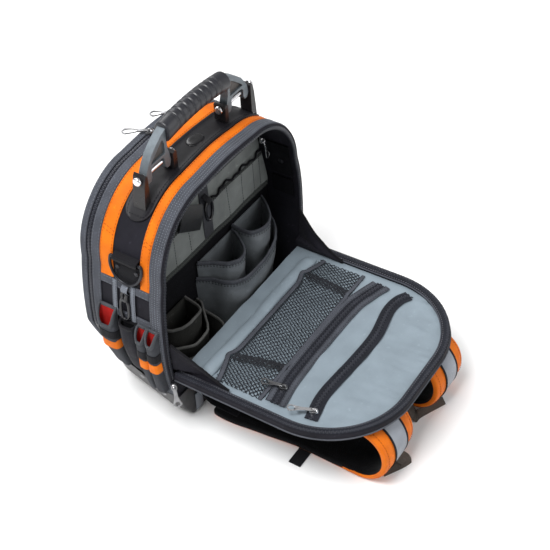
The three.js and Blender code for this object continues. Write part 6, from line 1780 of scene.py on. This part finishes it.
        outer, inner = rows(0.0), rows(self.sheet)
        inner[-1, :, 2] += self.sheet
        inward = np.clip((self.face_y - 6 - outer[..., 1]) / 14, 0, 1)
        seed = 31 + pocket.layer * 7 + (3 if pocket.clear else 0)
        size = 1.7 if pocket.clear else 1.2
        crease = waves(outer, 46.0, seed) * size + 0.7 * size * np.abs(waves(outer, 24.0, seed + 1))
        crease = crease * inward
        move = crease[..., None] * np.array([0.15, 1.0, 0.0])
        move = np.abs(move) * [0, 1, 0] + move * [1, 0, 0]
        outer, inner = outer + move, inner + move
        shell = solid(np.concatenate([inner[::-1], outer]))
        finish = "coated_grey" if pocket.clear else "dark_knit"
        shop.put(pocket.name, shell, finish, replaces=[pocket.node], sharp_deg=60)
        mouth = (outer[0, :64] + inner[0, :64]) / 2
        binding = sweep(mouth, UP, pill(3.6, 7.5 if pocket.clear else 5.0, 14, 3.0))
        shop.put(f"{pocket.name}_binding", binding, "grey_binding" if pocket.clear else "pale_binding")
        if not pocket.clear:
            return
        seams = []
        for row, drop in ((0, 2.6), (0, 5.4)):
            line = outer[row, :64] - [0, 0, drop]
            away = unit(np.cross(tangents(line), UP))
            away = away * np.sign(-away[:, 1:2] + 1e-9)
            seams.append(Stitching(3.0, 1.8, 0.4).along(line + away * 2.0, away))
        shop.put(f"{pocket.name}_stitches", seams, "dark_thread")

    def right_wall(self, shop: Workshop) -> None:
        """Black flaps and a press stud on the right wall inside."""
        arch = self.arch
        flaps = []
        for top, bottom in ((300.0, 236.0), (228.0, 196.0)):
            z = np.linspace(top, bottom, 16)
            y = np.linspace(-50.0, -12.0, 12)
            grid_y, grid_z = np.meshgrid(y, z)
            lift = 3.6 + 1.2 * np.sin((grid_z - bottom) / (top - bottom) * math.pi)
            face, _ = arch.face(Side.RIGHT, grid_y, grid_z, -self.cloth - lift)
            back, _ = arch.face(Side.RIGHT, grid_y, grid_z, -self.cloth - lift + 1.4)
            flaps.append(walled(face, back))
        # The flaps take black nylon darkened as painted shade.
        shop.put("right_wall_flaps", flaps, "inner_black_nylon")
        place, out = arch.face(Side.RIGHT, [-34.0], [266.0], -self.cloth - 4.6)
        shop.put("right_wall_stud", Rivet(4.6, 2.0).at(place[0], -out[0]), "black_steel")


@dataclass
class Flap:
    """The back panel laid open: bound rim with teeth, lining, lining fold, mesh pocket, and two zips."""

    origin_y: float = -63.2
    height: float = 115.4
    tilt_deg: float = 1.3
    half: float = 174.0
    length: float = 316.0
    corner: float = 129.8
    rim_width: float = 13.0
    lining_depth: float = 7.0
    board: float = 3.5
    gap: float = 0.3
    zip_half: float = 143.0
    near_y: float = 146.0
    far_y: float = 207.0
    mesh_start: float = 51.0
    mesh_end: float = 134.0
    mesh_half: float = 148.0
    mesh_bulge: float = 7.0
    near_rows: tuple[tuple[float, float], ...] = ((-1, 7), (-0.6, 0), (0, -1), (0.55, 1), (0.8, 9), (1, 18))
    far_rows: tuple[tuple[float, float], ...] = ((-1, 5), (-0.65, -3), (-0.1, 2), (0.3, 3), (0.68, -6),
                                                 (0.88, -4), (1, 5))
    roll_start: float = 25.0
    roll_width: float = 23.0
    roll_height: float = 8.0
    strand_rows: tuple[tuple[tuple[float, float], float], ...] = (((-0.53, -0.85), 4.4), ((0.80, -0.60), 6.4))
    strand_half: tuple[float, float] = (0.75, 0.45)
    gather_half: tuple[float, float] = (1.1, 0.6)

    def put_in_place(self, points: np.ndarray) -> np.ndarray:
        """Flap points in the frame: turned about X by the tilt, then moved to the hinge."""
        t = -math.radians(self.tilt_deg)
        y = points[..., 1] * math.cos(t) - points[..., 2] * math.sin(t) + self.origin_y
        z = points[..., 1] * math.sin(t) + points[..., 2] * math.cos(t) + self.height
        return np.stack([points[..., 0], y, z], -1)

    def placed(self, surface: Surface | Sequence[Surface]) -> Surface:
        """A surface built on the flap, or several joined, in its place in the frame."""
        surface = surface if isinstance(surface, Surface) else joined_plain(surface)
        return Surface(self.put_in_place(surface.points), surface.quads, surface.quad_uv, surface.tris,
                       surface.tri_uv, surface.tints)

    def outline(self, inset: float, count: int = 220, start: float = 0.5) -> np.ndarray:
        """Points round the flap's edge, from its left hinge end to its right one by way of its far end."""
        half, corner = self.half - inset, self.corner - inset
        flat = self.half - self.corner
        end = self.length - inset
        angle = np.linspace(0, math.pi / 2, 40)[:, None]
        arc = np.array([-flat, -(end - corner)]) - corner * np.concatenate([np.cos(angle), np.sin(angle)], 1)
        left = np.concatenate([[[-half, -start]], arc])
        whole = np.concatenate([left, (left * [-1, 1])[::-1]])
        return resample(whole, count)

    def build(self, shop: Workshop) -> None:
        """Builds and dresses the flap's pieces."""
        self.rim(shop)
        self.lining(shop)
        self.roll(shop)
        self.mesh(shop)
        self.zips(shop)
        pulls = (("near", -114.0, self.near_y, self.near_rows, 109.0, Pull(33.0), "pull_steel"),
                 ("far", -131.0, self.far_y, self.far_rows, 119.0, Pull(38.0), "bright_steel"))
        for label, x, y, rows, turn, pull, finish in pulls:
            heading = math.radians(turn)
            place = (x, self.zip_y(np.array([x]), y, rows)[0], -self.lining_depth + 3.0)
            along = (math.cos(heading), math.sin(heading), 0.12)
            shop.put(f"zip_{label}_pull", self.placed(pull.at(place, along, (0, 0, 1))), finish,
                     replaces=[f"zip_pull_{label}"])

    def rim(self, shop: Workshop) -> None:
        """Rim band: tape on top with teeth near its outer edge, a grey cord under it, and an upright wall."""
        edge, inside = self.outline(0.0, 260), self.outline(self.rim_width, 260)
        profile = np.array([
            [0.0, -2.2], [0.02, -1.0], [0.08, -0.3], [0.3, 0.0], [0.6, -0.1], [0.88, -0.7], [1.0, -1.6],
            [1.0, -7.0],
            [1.0, -13.0], [0.95, -14.0], [0.5, -14.0], [0.06, -14.0], [0.0, -13.2], [-0.02, -8.0]])
        share = profile[:, 0][None, :, None]
        grid = edge[:, None] * (1 - share) + inside[:, None] * share
        height = np.broadcast_to(profile[:, 1][None, :, None], grid.shape[:2] + (1,))
        ripple = waves(np.concatenate([grid, np.zeros_like(height)], -1), 70.0, 41)[..., None] * 0.5
        rim = solid(np.concatenate([grid, height + ripple * (height > -3)], -1))
        shop.put("flap_rim_band", self.placed(rim), "black_nylon", replaces=["flap_rim"],
                 sharp_deg=55)
        line = edge * 0.72 + inside * 0.28
        path = np.column_stack([line, np.full(len(line), 0.2)])
        tape_line = np.column_stack([edge * 0.6 + inside * 0.4, np.full(len(line), 0.35)])
        tape = sweep(tape_line, UP, pill(9.0, 0.8, 12))
        teeth = Teeth(2.6, 4.0, 1.3, 0.5).along(path, UP)
        shop.put("flap_zip", self.placed(joined([tape, teeth])), ["zip_cloth", "zip_teeth"])
        cord = np.column_stack([self.outline(-0.4, 260), np.full(260, -10.4)])
        shop.put("flap_rim_cord", self.placed(sweep(cord, UP, disc(1.2, 8))), "grey_binding")
        sew = Stitching(2.6, 1.5, 0.5)
        seams = [sew.along(np.column_stack([edge * (1 - s) + inside * s, np.full(len(line), z)]), UP)
                 for s, z in ((0.12, -0.25), (0.84, -0.55))]
        shop.put("flap_rim_stitches", self.placed(seams), "pale_thread")
        hem = np.column_stack([self.outline(self.rim_width - 0.8, 260), np.full(260, -2.6)])
        shop.put("flap_rim_hem", self.placed(sweep(hem, UP, pill(4.6, 2.4, 12, 3.0))), "slate_webbing")

    def sheet_height(self, x: np.ndarray, y: np.ndarray) -> np.ndarray:
        """Height of the lining: flat with soft folds, weaker near its sides, and pleats towards its far end.
        """
        bare = np.stack(np.broadcast_arrays(x, y, 0.0), -1)
        folds = 1.3 * waves(bare * [1.0, 0.5, 1.0], 44.0, 51) + 0.7 * waves(bare * [0.4, 1.0, 1.0], 17.0, 52)
        far = np.clip((-y - 212) / 30, 0, 1)
        pleats = 1.5 * np.abs(waves(bare * [1.0, 0.22, 1.0], 19.0, 53)) * far
        edge = np.clip((self.half - 16 - np.abs(x)) / 26, 0, 1)
        return -self.lining_depth + folds * (0.25 + 0.75 * edge) + pleats

    def lining(self, shop: Workshop) -> None:
        """Lining board: rows from hinge to end, as wide as the U outline lets them be, with its folds."""
        inset = self.rim_width + self.gap
        edge = self.outline(inset, 400)
        left = edge[:200]
        y = np.concatenate([np.linspace(-0.5, -(self.length - inset) + 14, 78),
                            14 * (1 - np.sin(np.linspace(0, math.pi / 2, 12)[1:])) + 0.2
                            - (self.length - inset)])
        half = -np.interp(-y, -left[:, 1], left[:, 0])
        u = np.sin(np.linspace(-1, 1, 90) * math.pi / 2) * 0.5 + np.linspace(-1, 1, 90) * 0.5
        x = u[None, :] * half[:, None]
        grid_y = np.broadcast_to(y[:, None], x.shape)
        top = np.stack([x, grid_y, self.sheet_height(x, grid_y)], -1)
        under = np.stack([x, grid_y, np.full_like(x, -self.lining_depth - self.board)], -1)
        board = self.placed(walled(top, under))
        shop.put("flap_lining", board, "sky_lining", replaces=["flap_board"], sharp_deg=60)

    def zip_y(self, x: np.ndarray, y: float, rows: Sequence[Sequence[float]]) -> np.ndarray:
        """Depth of a zip's middle line at places across the flap: its distance and its bends."""
        shape = curve(rows, 200)
        return -y - np.interp(x / self.zip_half, shape[:, 0], shape[:, 1])

    def zips(self, shop: Workshop) -> None:
        """The two zips across the flap: ribbed tape and teeth, with slate bindings beside the near one."""
        rows = (("near", self.near_y, self.near_rows, 16.0, 9.5),
                ("far", self.far_y, self.far_rows, 20.0, 0.0))
        x = np.linspace(-1, 1, 110) * self.zip_half
        for label, y, bends, width, binding in rows:
            path = np.stack([x, self.zip_y(x, y, bends), np.full(110, -self.lining_depth + 2.0)], 1)
            tape = sweep(path, UP, pill(width, 1.2, 16))
            ribs = [sweep(path + [0, off, 0.55], UP, disc(0.7, 6)) for off in (-4.6, 4.6, -7.0, 7.0)]
            teeth = Teeth(2.8, 5.2, 1.9, 0.8).along(path + [0, 0, 0.5], UP)
            surface = joined([joined_plain([tape, *ribs]), teeth])
            shop.put(f"zip_{label}", self.placed(surface), ["zip_cloth", "zip_teeth"],
                     replaces=[f"zip_tape_{label}"])
            if not binding:
                continue
            edges, seams = [], []
            for away in (-1, 1):
                off = np.array([0.0, away * (width / 2 + binding / 2 - 1.5), 0.4])
                edges.append(sweep(path + off, UP, pill(binding, 1.8, 16)))
                for across in (-0.32, 0.32):
                    seams.append(Stitching().along(path + off + [0, across * binding, 0.9], UP))
            shop.put(f"zip_{label}_bindings", self.placed(edges), "slate_webbing")
            shop.put(f"zip_{label}_stitches", self.placed(seams), "dark_thread")

    def roll(self, shop: Workshop) -> None:
        """Fold of lining along the hinge: a low uneven half round that narrows at both ends."""
        x = np.linspace(-1, 1, 120)
        full = np.interp(np.abs(x), [0, 0.93, 1.0], [0.92, 1.0, 0.5])
        angle = np.linspace(0, math.pi, 18)
        bare = x[:, None] * [140.0, 0.0, 0.0]
        uneven = 1 + 0.14 * waves(bare, 52.0, 61)
        half = (self.roll_width / 2) * (0.7 + 0.3 * full)
        middle = -self.roll_start - self.roll_width / 2 + 1.6 * waves(bare, 80.0, 62)
        y = middle[:, None] + half[:, None] * np.cos(angle)
        z = -self.lining_depth + 0.4 + (self.roll_height * full * uneven)[:, None] * np.sin(angle)
        grid = np.stack([np.broadcast_to((x * (self.mesh_half - 4))[:, None], y.shape), y, z], -1)
        shop.put("hinge_fold", self.placed(solid(grid)), "sky_lining",
                 replaces=["lining_roll"])

    def mesh_height(self, x: np.ndarray, y: np.ndarray) -> np.ndarray:
        """Height of the mesh pocket: a bulge that is full along its open edge and none at its sewn one."""
        along = (-y - self.mesh_start) / (self.mesh_end - self.mesh_start)
        lift = np.interp(along, [0, 0.12, 0.45, 0.8, 1.0], [0.85, 1.0, 0.9, 0.45, 0.0])
        across = x / self.mesh_half
        bare = np.stack(np.broadcast_arrays(x, y, 0.0), -1)
        fold = sum(np.exp(-((x - self.gather_x(side, y)) / 5.5) ** 2) for side in Side)
        bunch = np.abs(waves(bare * [1.0, 0.25, 1.0], 16.0, 71))
        bunch = 1.2 * bunch * np.clip((np.abs(across) - 0.6) / 0.2, 0, 1)
        return -self.lining_depth + 1.6 + self.mesh_bulge * (1 - across**4) * lift * 0.7 + bunch + 2.6 * fold

    def gather_x(self, side: Side, y: np.ndarray) -> np.ndarray:
        """Place across the flap of the gathered fold near one end of the mesh, at a depth."""
        along = (-y - self.mesh_start) / (self.mesh_end - self.mesh_start)
        start, drift = (103.0, -4.0) if side is Side.RIGHT else (-100.0, 22.0)
        return start + drift * along

    def mesh(self, shop: Workshop) -> None:
        """Mesh pocket: two families of slanting strands over its bulge, between bound edges.

        A strand runs in one direction across the pocket's oblong and is cut at its edges, and every point
        takes the pocket's height.
        """
        strands = []
        low, high = -self.mesh_end, -self.mesh_start
        thin, stout = (np.array([[a, 0.0], [0.0, b], [-a, 0.0], [0.0, -b]])
                       for a, b in (self.strand_half, self.gather_half))
        for heading, pitch in self.strand_rows:
            d = unit(np.array(heading))
            across = np.array([-d[1], d[0]])
            reach = self.mesh_half * abs(across[0]) + (high - low) / 2 * abs(across[1])
            centre = np.array([0.0, (low + high) / 2])
            for at in np.arange(-reach, reach, pitch):
                t = np.linspace(-220, 220, 221)
                line = centre + across * at + d * t[:, None]
                line = line + across * 0.5 * np.sin(t * 2 * math.pi / 11 + at)[:, None]
                kept = line[(np.abs(line[:, 0]) < self.mesh_half) & (line[:, 1] > low) & (line[:, 1] < high)]
                if len(kept) < 4:
                    continue
                z = self.mesh_height(kept[:, 0], kept[:, 1])
                strands.append(sweep(np.column_stack([kept, z]), UP, thin))
        for side in Side:
            for offset in np.linspace(-5.5, 5.5, 7):
                y = np.linspace(high - 2, low + 2, 60)
                x = self.gather_x(side, y) + offset + 1.1 * np.sin(y / 3.1 + offset * 2)
                path = np.column_stack([x, y, self.mesh_height(x, y) + 0.5 + 0.2 * np.cos(offset * 3)])
                strands.append(sweep(path, UP, stout))
        shop.put("mesh_pocket_net", self.placed(strands), "net_strand", replaces=["mesh_pocket"])
        x = np.linspace(-self.mesh_half, self.mesh_half, 110)
        bindings, seams = [], []
        ends = np.abs(x) / self.mesh_half
        bend = 6.0 * np.exp(-((ends - 0.68) / 0.09) ** 2) - 7.0 * np.clip((ends - 0.8) / 0.2, 0, 1)
        for y, width in ((bend - self.mesh_start - 1, 7.0), (np.full(110, 4 - self.mesh_end), 6.0)):
            path = np.stack([x, y, self.mesh_height(x, y) + 0.8], 1)
            bindings.append(sweep(path, UP, pill(width, 1.7, 16)))
            seams.append(Stitching().along(path + [0, 2.2, 0.9], UP))
        shop.put("mesh_pocket_bindings", self.placed(bindings), "slate_webbing")
        shop.put("mesh_pocket_stitches", self.placed(seams), "dark_thread")


@dataclass
class Straps:
    """Shoulder straps folded under the flap, their face strips, seams and floor webbing."""

    width: float = 80.0
    thick: float = 13.0
    centre: float = 78.0
    spread: float = 17.0
    spread_length: float = 140.0
    loop_y: float = -384.0
    loop_depth: float = 49.0
    anchor: float = 34.0
    end_y: float = -92.0
    flap_y: float = -63.2
    flap_z: float = 115.4
    rim_height: float = 14.0
    tilt_deg: float = 1.3
    gap: float = 0.3
    points: int = 170
    trimmed: int = 120
    fold_left: tuple[tuple[float, float, float], ...] = (
        (-76, -352, 30), (-66, -374, 18), (-60, -384, 5), (-72, -381, 1.4), (-96, -367, 1.4))
    fold_right: tuple[tuple[float, float, float], ...] = (
        (34, -330, 26), (26, -346, 12), (24, -356, 3), (42, -366, 1.4), (72, -380, 1.4))

    def under(self, y: float) -> float:
        """Height of the strap's middle line below the flap at a depth."""
        slope = math.tan(math.radians(self.tilt_deg))
        return self.flap_z + (self.flap_y - y) * slope - self.rim_height - self.gap - self.thick / 2 - 0.5

    def line(self) -> tuple[np.ndarray, np.ndarray]:
        """Middle line and its outer side: under the flap, round the loop, back on the floor."""
        turn = self.loop_y + self.loop_depth
        low, high = self.gap + self.thick / 2, self.under(turn)
        angle = np.radians(np.linspace(90, 270, 40))[:, None]
        loop = np.array([turn, (high + low) / 2]) + np.concatenate(
            [(self.loop_depth - self.thick / 2) * np.cos(angle), (high - low) / 2 * np.sin(angle)], 1)
        start = np.linspace([turn + self.anchor, self.under(turn + self.anchor)], loop[0], 8)[:-1]
        floor = np.linspace(loop[-1], [self.end_y, low], 60)[1:]
        path = resample(np.concatenate([start, loop, floor]), self.points)
        step = unit(np.gradient(path, axis=0))
        return path, np.stack([step[:, 1], -step[:, 0]], 1)

    def frame(self, side: Side, u: np.ndarray, w: np.ndarray) -> np.ndarray:
        """Strap points: u across the strap and w out from its middle line, one value for each column."""
        path, outer = self.line()
        share = np.clip(1 + (path[:, 0] - self.end_y) / self.spread_length, 0, None)
        middle = self.centre + self.spread * share
        x = side.value * middle[:, None] + u
        y = path[:, 0, None] + outer[:, 0, None] * w
        z = path[:, 1, None] + outer[:, 1, None] * w
        return np.stack(np.broadcast_arrays(x, y, z), -1)

    def taper(self) -> np.ndarray:
        """Share of the strap's width along its line, rounded off at its floor end."""
        path, _ = self.line()
        reach = run_length(path)
        left = np.clip((reach[-1] - reach) / 46.0, 0, 1)
        return 0.8 + 0.2 * np.sqrt(np.clip(1 - (1 - left) ** 2, 0, 1))

    def build(self, shop: Workshop) -> None:
        """Builds and dresses both straps."""
        for side in Side:
            self.strap(shop, side)

    def strap(self, shop: Workshop, side: Side) -> None:
        """One padded strap: orange outer face and edges, black inner face, with a grey strip and seams."""
        label = side.name.lower()
        half = self.width / 2
        section = pill(self.width, self.thick, 64, 4.2)
        pinch = 1.2 * np.exp(-((np.abs(section[:, 0]) - half + 6) / 2.2) ** 2)
        w = section[:, 1] * (1 - pinch / (self.thick / 2) * 0.75)
        u = section[None, :, 0] * self.taper()[:, None]
        grid = self.frame(side, u, w[None, :])
        bare = waves(grid, 58.0, 81 + side.value)[..., None]
        grid = grid + bare * 0.55 * np.sign(section[None, :, 1, None]) * [0, 0, 1]
        grid[..., 2] = np.maximum(grid[..., 2], 0.2)
        strap = solid(grid)
        row, column = np.divmod(np.arange(len(strap.quads)), len(section))
        path, _ = self.line()
        on_floor = np.clip((path[row, 0] - self.loop_y - self.loop_depth) / 40, 0, 1) * (row > 60)
        limit = self.thick * (-0.55 + 0.95 * on_floor)
        inner_face = (section[:, 1] + np.roll(section[:, 1], -1))[column] < limit
        strap.tints = np.concatenate([np.where(inner_face, 1, 0), np.zeros(len(strap.tris), int)])
        piece = shop.put(f"strap_pad_{label}", strap, ["strap_orange", "foam_mesh"],
                         replaces=[f"shoulder_strap_{label}"], sharp_deg=60)
        self.trims(shop, side, label)

    def trims(self, shop: Workshop, side: Side, label: str) -> None:
        """Grey strip with black edges down the strap's outer face, its seams, and the webbing at its end."""
        rows = slice(0, self.trimmed)
        up_w = self.thick / 2 + 0.35
        strips, seams = [], []
        for middle, width, lift in ((0.0, 30.0, 0.5), (-16.5, 3.4, 0.9), (16.5, 3.4, 0.9)):
            profile = pill(width, 1.1, 18)
            grid = self.frame(side, profile[None, :, 0] + middle, up_w + lift + profile[None, :, 1])
            strips.append(solid(grid[rows]))
        surface = joined(strips)
        surface.tints = np.minimum(surface.tints, 1)
        shop.put(f"strap_strip_{label}", surface, ["reflective_tape", "black_webbing"])
        path, outer = self.line()
        up = np.stack([np.zeros(len(path)), outer[:, 0], outer[:, 1]], 1)
        for u in (-33.5, 33.5):
            line = self.frame(side, np.array([[u]]), np.array([[self.thick / 2 - 0.5]]))[:, 0]
            seams.append(Stitching().along(line[rows], up[rows]))
        shop.put(f"strap_stitches_{label}", seams, "rust_thread")
        shop.refined(f"strap_webbing_{label}", "black_webbing", 0.5)
        fold = curve(self.fold_left if side is Side.LEFT else self.fold_right, 44)
        facing = np.array([side.value * 0.2, -0.75, 0.65])
        shop.put(f"strap_fold_{label}", sweep(fold, facing, pill(20.0, 1.6, 16)), "brown_webbing")
        if side is Side.LEFT:
            tab = np.stack([np.linspace(-96, -146, 14), np.full(14, -247.0), np.full(14, 1.2)], 1)
            shop.put("strap_side_tab", sweep(tab, UP, pill(20.0, 1.8, 16)),
                     "black_webbing")


@dataclass
class Gussets:
    """Triangular cloth walls between the body's rim and the flap's rim, each with one fold."""

    arch: Arch
    flap_z: float = 115.4
    lining_depth: float = 7.0
    flap_half: float = 174.0
    rim_width: float = 13.0
    height: float = 66.0
    reach: float = 88.0
    thick: float = 1.5
    start_y: float = -61.0

    def build(self, shop: Workshop) -> None:
        """Builds both gussets as sheets."""
        for side, inwards, seed in ((Side.LEFT, 4.0, 91), (Side.RIGHT, 6.0, 92)):
            self.gusset(shop, side, inwards, seed)

    def gusset(self, shop: Workshop, side: Side, inwards: float, seed: int) -> None:
        """One gusset: rows from the rim outwards, each from the flap's lining up to a slanting top edge.

        Args:
            shop: where the piece goes.
            side: which side it is on.
            inwards: how far its fold leans in.
            seed: seed of its wrinkles.
        """
        low = self.flap_z - self.lining_depth + 1
        flap_x = self.flap_half - self.rim_width - 0.6
        t = np.linspace(0, 1, 40)[:, None]
        s = np.linspace(0, 1, 30)[None, :]
        y = self.start_y - 0.9 * (1 - t) - self.reach * t
        high = low + 7 + (self.height - 7) * (1 - t) ** 1.35
        z = low + 2 + (high - low - 2) * s
        left = self.arch.line[:len(self.arch.line) // 2 + 1]
        rim_x = -np.interp(z, left[:, 1], left[:, 0]) - 9.0
        x = rim_x * (1 - t) ** 2 + (flap_x - 1.0) * (1 - (1 - t) ** 2)
        x = np.minimum(x, np.where(z < self.flap_z + 8, flap_x, 400.0))
        fold = inwards * np.sin(math.pi * t) * np.sin(math.pi * s) ** 2
        bare = np.stack(np.broadcast_arrays(x, y, z), -1)
        x = x - fold - 1.1 * np.abs(waves(bare, 34.0, seed)) * np.sin(math.pi * t)
        outer = np.stack(np.broadcast_arrays(side.value * x, y, z), -1)
        inner = np.stack(np.broadcast_arrays(side.value * (x - self.thick), y, z), -1)
        label = side.name.lower()
        piece = shop.put(f"gusset_cloth_{label}", walled(outer, inner), "black_nylon",
                         replaces=[f"gusset_{label}"])
        top = (outer[:, -1] + inner[:, -1]) / 2
        edge = sweep(top, UP, pill(3.4, 4.6, 12, 3.0))
        binding = shop.put(f"gusset_binding_{label}", edge, "black_webbing")


@dataclass
class BackPad:
    """The padded back under the flap, puffed up by a short cloth simulation."""

    node: str = "back_pad"
    voxel_mm: float = 6.0
    shrink_mm: float = 1.2
    pressure: float = 4.0
    frames: int = 20
    limit_mm: float = 3.0
    rise_mm: float = 0.2

    def build(self, shop: Workshop) -> None:
        thing = shop.refined(self.node, "foam_mesh", 0.0)
        thing.name = "back_pad_cushion"
        thing.modifiers.clear()
        self.remesh(thing)
        self.puff(thing)
        round_off = thing.modifiers.new("smoothing", "SUBSURF")
        round_off.levels = 1
        round_off.render_levels = 1
        face_uv(thing.data)
        thing.data.polygons.foreach_set("use_smooth", np.ones(len(thing.data.polygons), bool))

    def remesh(self, thing: bpy.types.Object) -> None:
        """Turns the copy into an even mesh of voxels, a little inside its own shape."""
        thing.data.remesh_voxel_size = self.voxel_mm * MM
        with bpy.context.temp_override(active_object=thing, object=thing, selected_objects=[thing]):
            bpy.ops.object.voxel_remesh()
        vertices = thing.data.vertices
        shrunk = read(vertices, "co", 3) - read(vertices, "normal", 3) * self.shrink_mm * MM
        vertices.foreach_set("co", shrunk.ravel())

    def puff(self, thing: bpy.types.Object) -> None:
        """Swells the pad by pressure, then keeps each point near its place and under the flap's board."""
        scene = bpy.context.scene
        before = read(thing.data.vertices, "co", 3)
        cloth = thing.modifiers.new("swelling", "CLOTH")
        cloth.settings.quality = 5
        cloth.settings.use_pressure = True
        cloth.settings.uniform_pressure_force = self.pressure
        cloth.settings.effector_weights.gravity = 0.0
        cloth.point_cache.frame_start = 1
        cloth.point_cache.frame_end = self.frames
        for frame in range(1, self.frames + 1):
            scene.frame_set(frame)
        shaped = thing.evaluated_get(bpy.context.evaluated_depsgraph_get())
        move = read(shaped.data.vertices, "co", 3) - before
        thing.modifiers.remove(cloth)
        scene.frame_set(1)
        length = np.linalg.norm(move, axis=1, keepdims=True)
        move *= np.minimum(1.0, self.limit_mm * MM / np.maximum(length, 1e-9))
        move[:, 2] = np.minimum(move[:, 2], self.rise_mm * MM)
        thing.data.vertices.foreach_set("co", (before + move).ravel())
        thing.data.update()


@dataclass
class Tray:
    """The moulded base tray."""

    def build(self, shop: Workshop) -> None:
        """Builds the tray as a rounded copy of its node."""
        shop.refined("base_tray", "tray_rubber", 2.2, 3, angle_deg=50.0)


# Studio


@dataclass
class Studio:
    """Camera at the photograph's angle, pale floor, and soft light from the upper left."""

    lens_mm: float = 77.494
    sensor_mm: float = 36.0
    place_mm: tuple[float, float, float] = (-1038.9, -844.1, 1371.4)
    right: tuple[float, float, float] = (0.54077, -0.84047, -0.03428)
    up: tuple[float, float, float] = (0.58526, 0.34667, 0.733)
    back: tuple[float, float, float] = (-0.60418, -0.41645, 0.67937)
    floor_half_m: float = 14.0
    lamps: tuple[tuple[str, tuple[float, float, float], float, float], ...] = (
        ("key", (-1.2, 0.1, 2.7), 1.3, 88.0), ("fill", (1.0, -2.6, 1.5), 2.2, 26.0),
        ("back", (0.9, 2.2, 2.2), 1.8, 40.0))
    aim_m: tuple[float, float, float] = (0.0, -0.05, 0.15)
    surround: float = 0.42

    def build(self) -> None:
        """Sets up the camera, floor, lights and world."""
        self.camera()
        self.floor()
        self.lights()

    def camera(self) -> None:
        """Camera with the fitted place, turn and lens."""
        data = bpy.data.cameras.new("camera")
        data.lens, data.sensor_width = self.lens_mm, self.sensor_mm
        camera = placed_object("camera", data)
        turn = Matrix((self.right, self.up, self.back)).transposed()
        camera.matrix_world = Matrix.LocRotScale(Vector(self.place_mm) * MM, turn.to_quaternion(), None)
        bpy.context.scene.camera = camera

    def floor(self) -> None:
        """Plain pale floor."""
        h = self.floor_half_m / MM
        grid = np.array([[[-h, -h, 0.0], [h, -h, 0.0]], [[-h, h, 0.0], [h, h, 0.0]]])
        thing = mesh_object("floor", lattice(grid))
        graph = Graph("floor_paint")
        graph.set(Base_Color=(0.92, 0.92, 0.92, 1.0), Roughness=0.9, Specular_IOR_Level=0.1)
        thing.data.materials.append(graph.material)

    def lights(self) -> None:
        """Large soft lights from the upper left, the right, and behind, in a pale surround."""
        for name, place, size, power in self.lamps:
            data = bpy.data.lights.new(name, "AREA")
            data.energy, data.size = power, size
            light = placed_object(name, data)
            light.location = place
            light.rotation_mode = "QUATERNION"
            light.rotation_quaternion = (Vector(self.aim_m) - Vector(place)).to_track_quat("-Z", "Y")
        world = bpy.data.worlds.new("surround")
        world.use_nodes = True
        surround = world.node_tree.nodes["Background"]
        surround.inputs["Color"].default_value = (1.0, 1.0, 1.0, 1.0)
        surround.inputs["Strength"].default_value = self.surround
        bpy.context.scene.world = world
        bpy.context.scene.view_settings.view_transform = "Standard"


def main() -> None:
    """Builds every sub-assembly in order."""
    logging.basicConfig(level=logging.INFO, format="%(name)s %(message)s")
    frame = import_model()
    shop = Workshop(frame["nodes"])
    arch = Arch()
    parts = (Tray(), Body(arch), Front(arch), Handle(arch), SideHardware(arch), SidePockets(arch),
             Inside(arch), Flap(), BackPad(), Straps(), Gussets(arch))
    for part in parts:
        LOG.info("building %s", type(part).__name__)
        part.build(shop)
    Studio().build()
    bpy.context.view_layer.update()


if __name__ == "__main__":
    main()
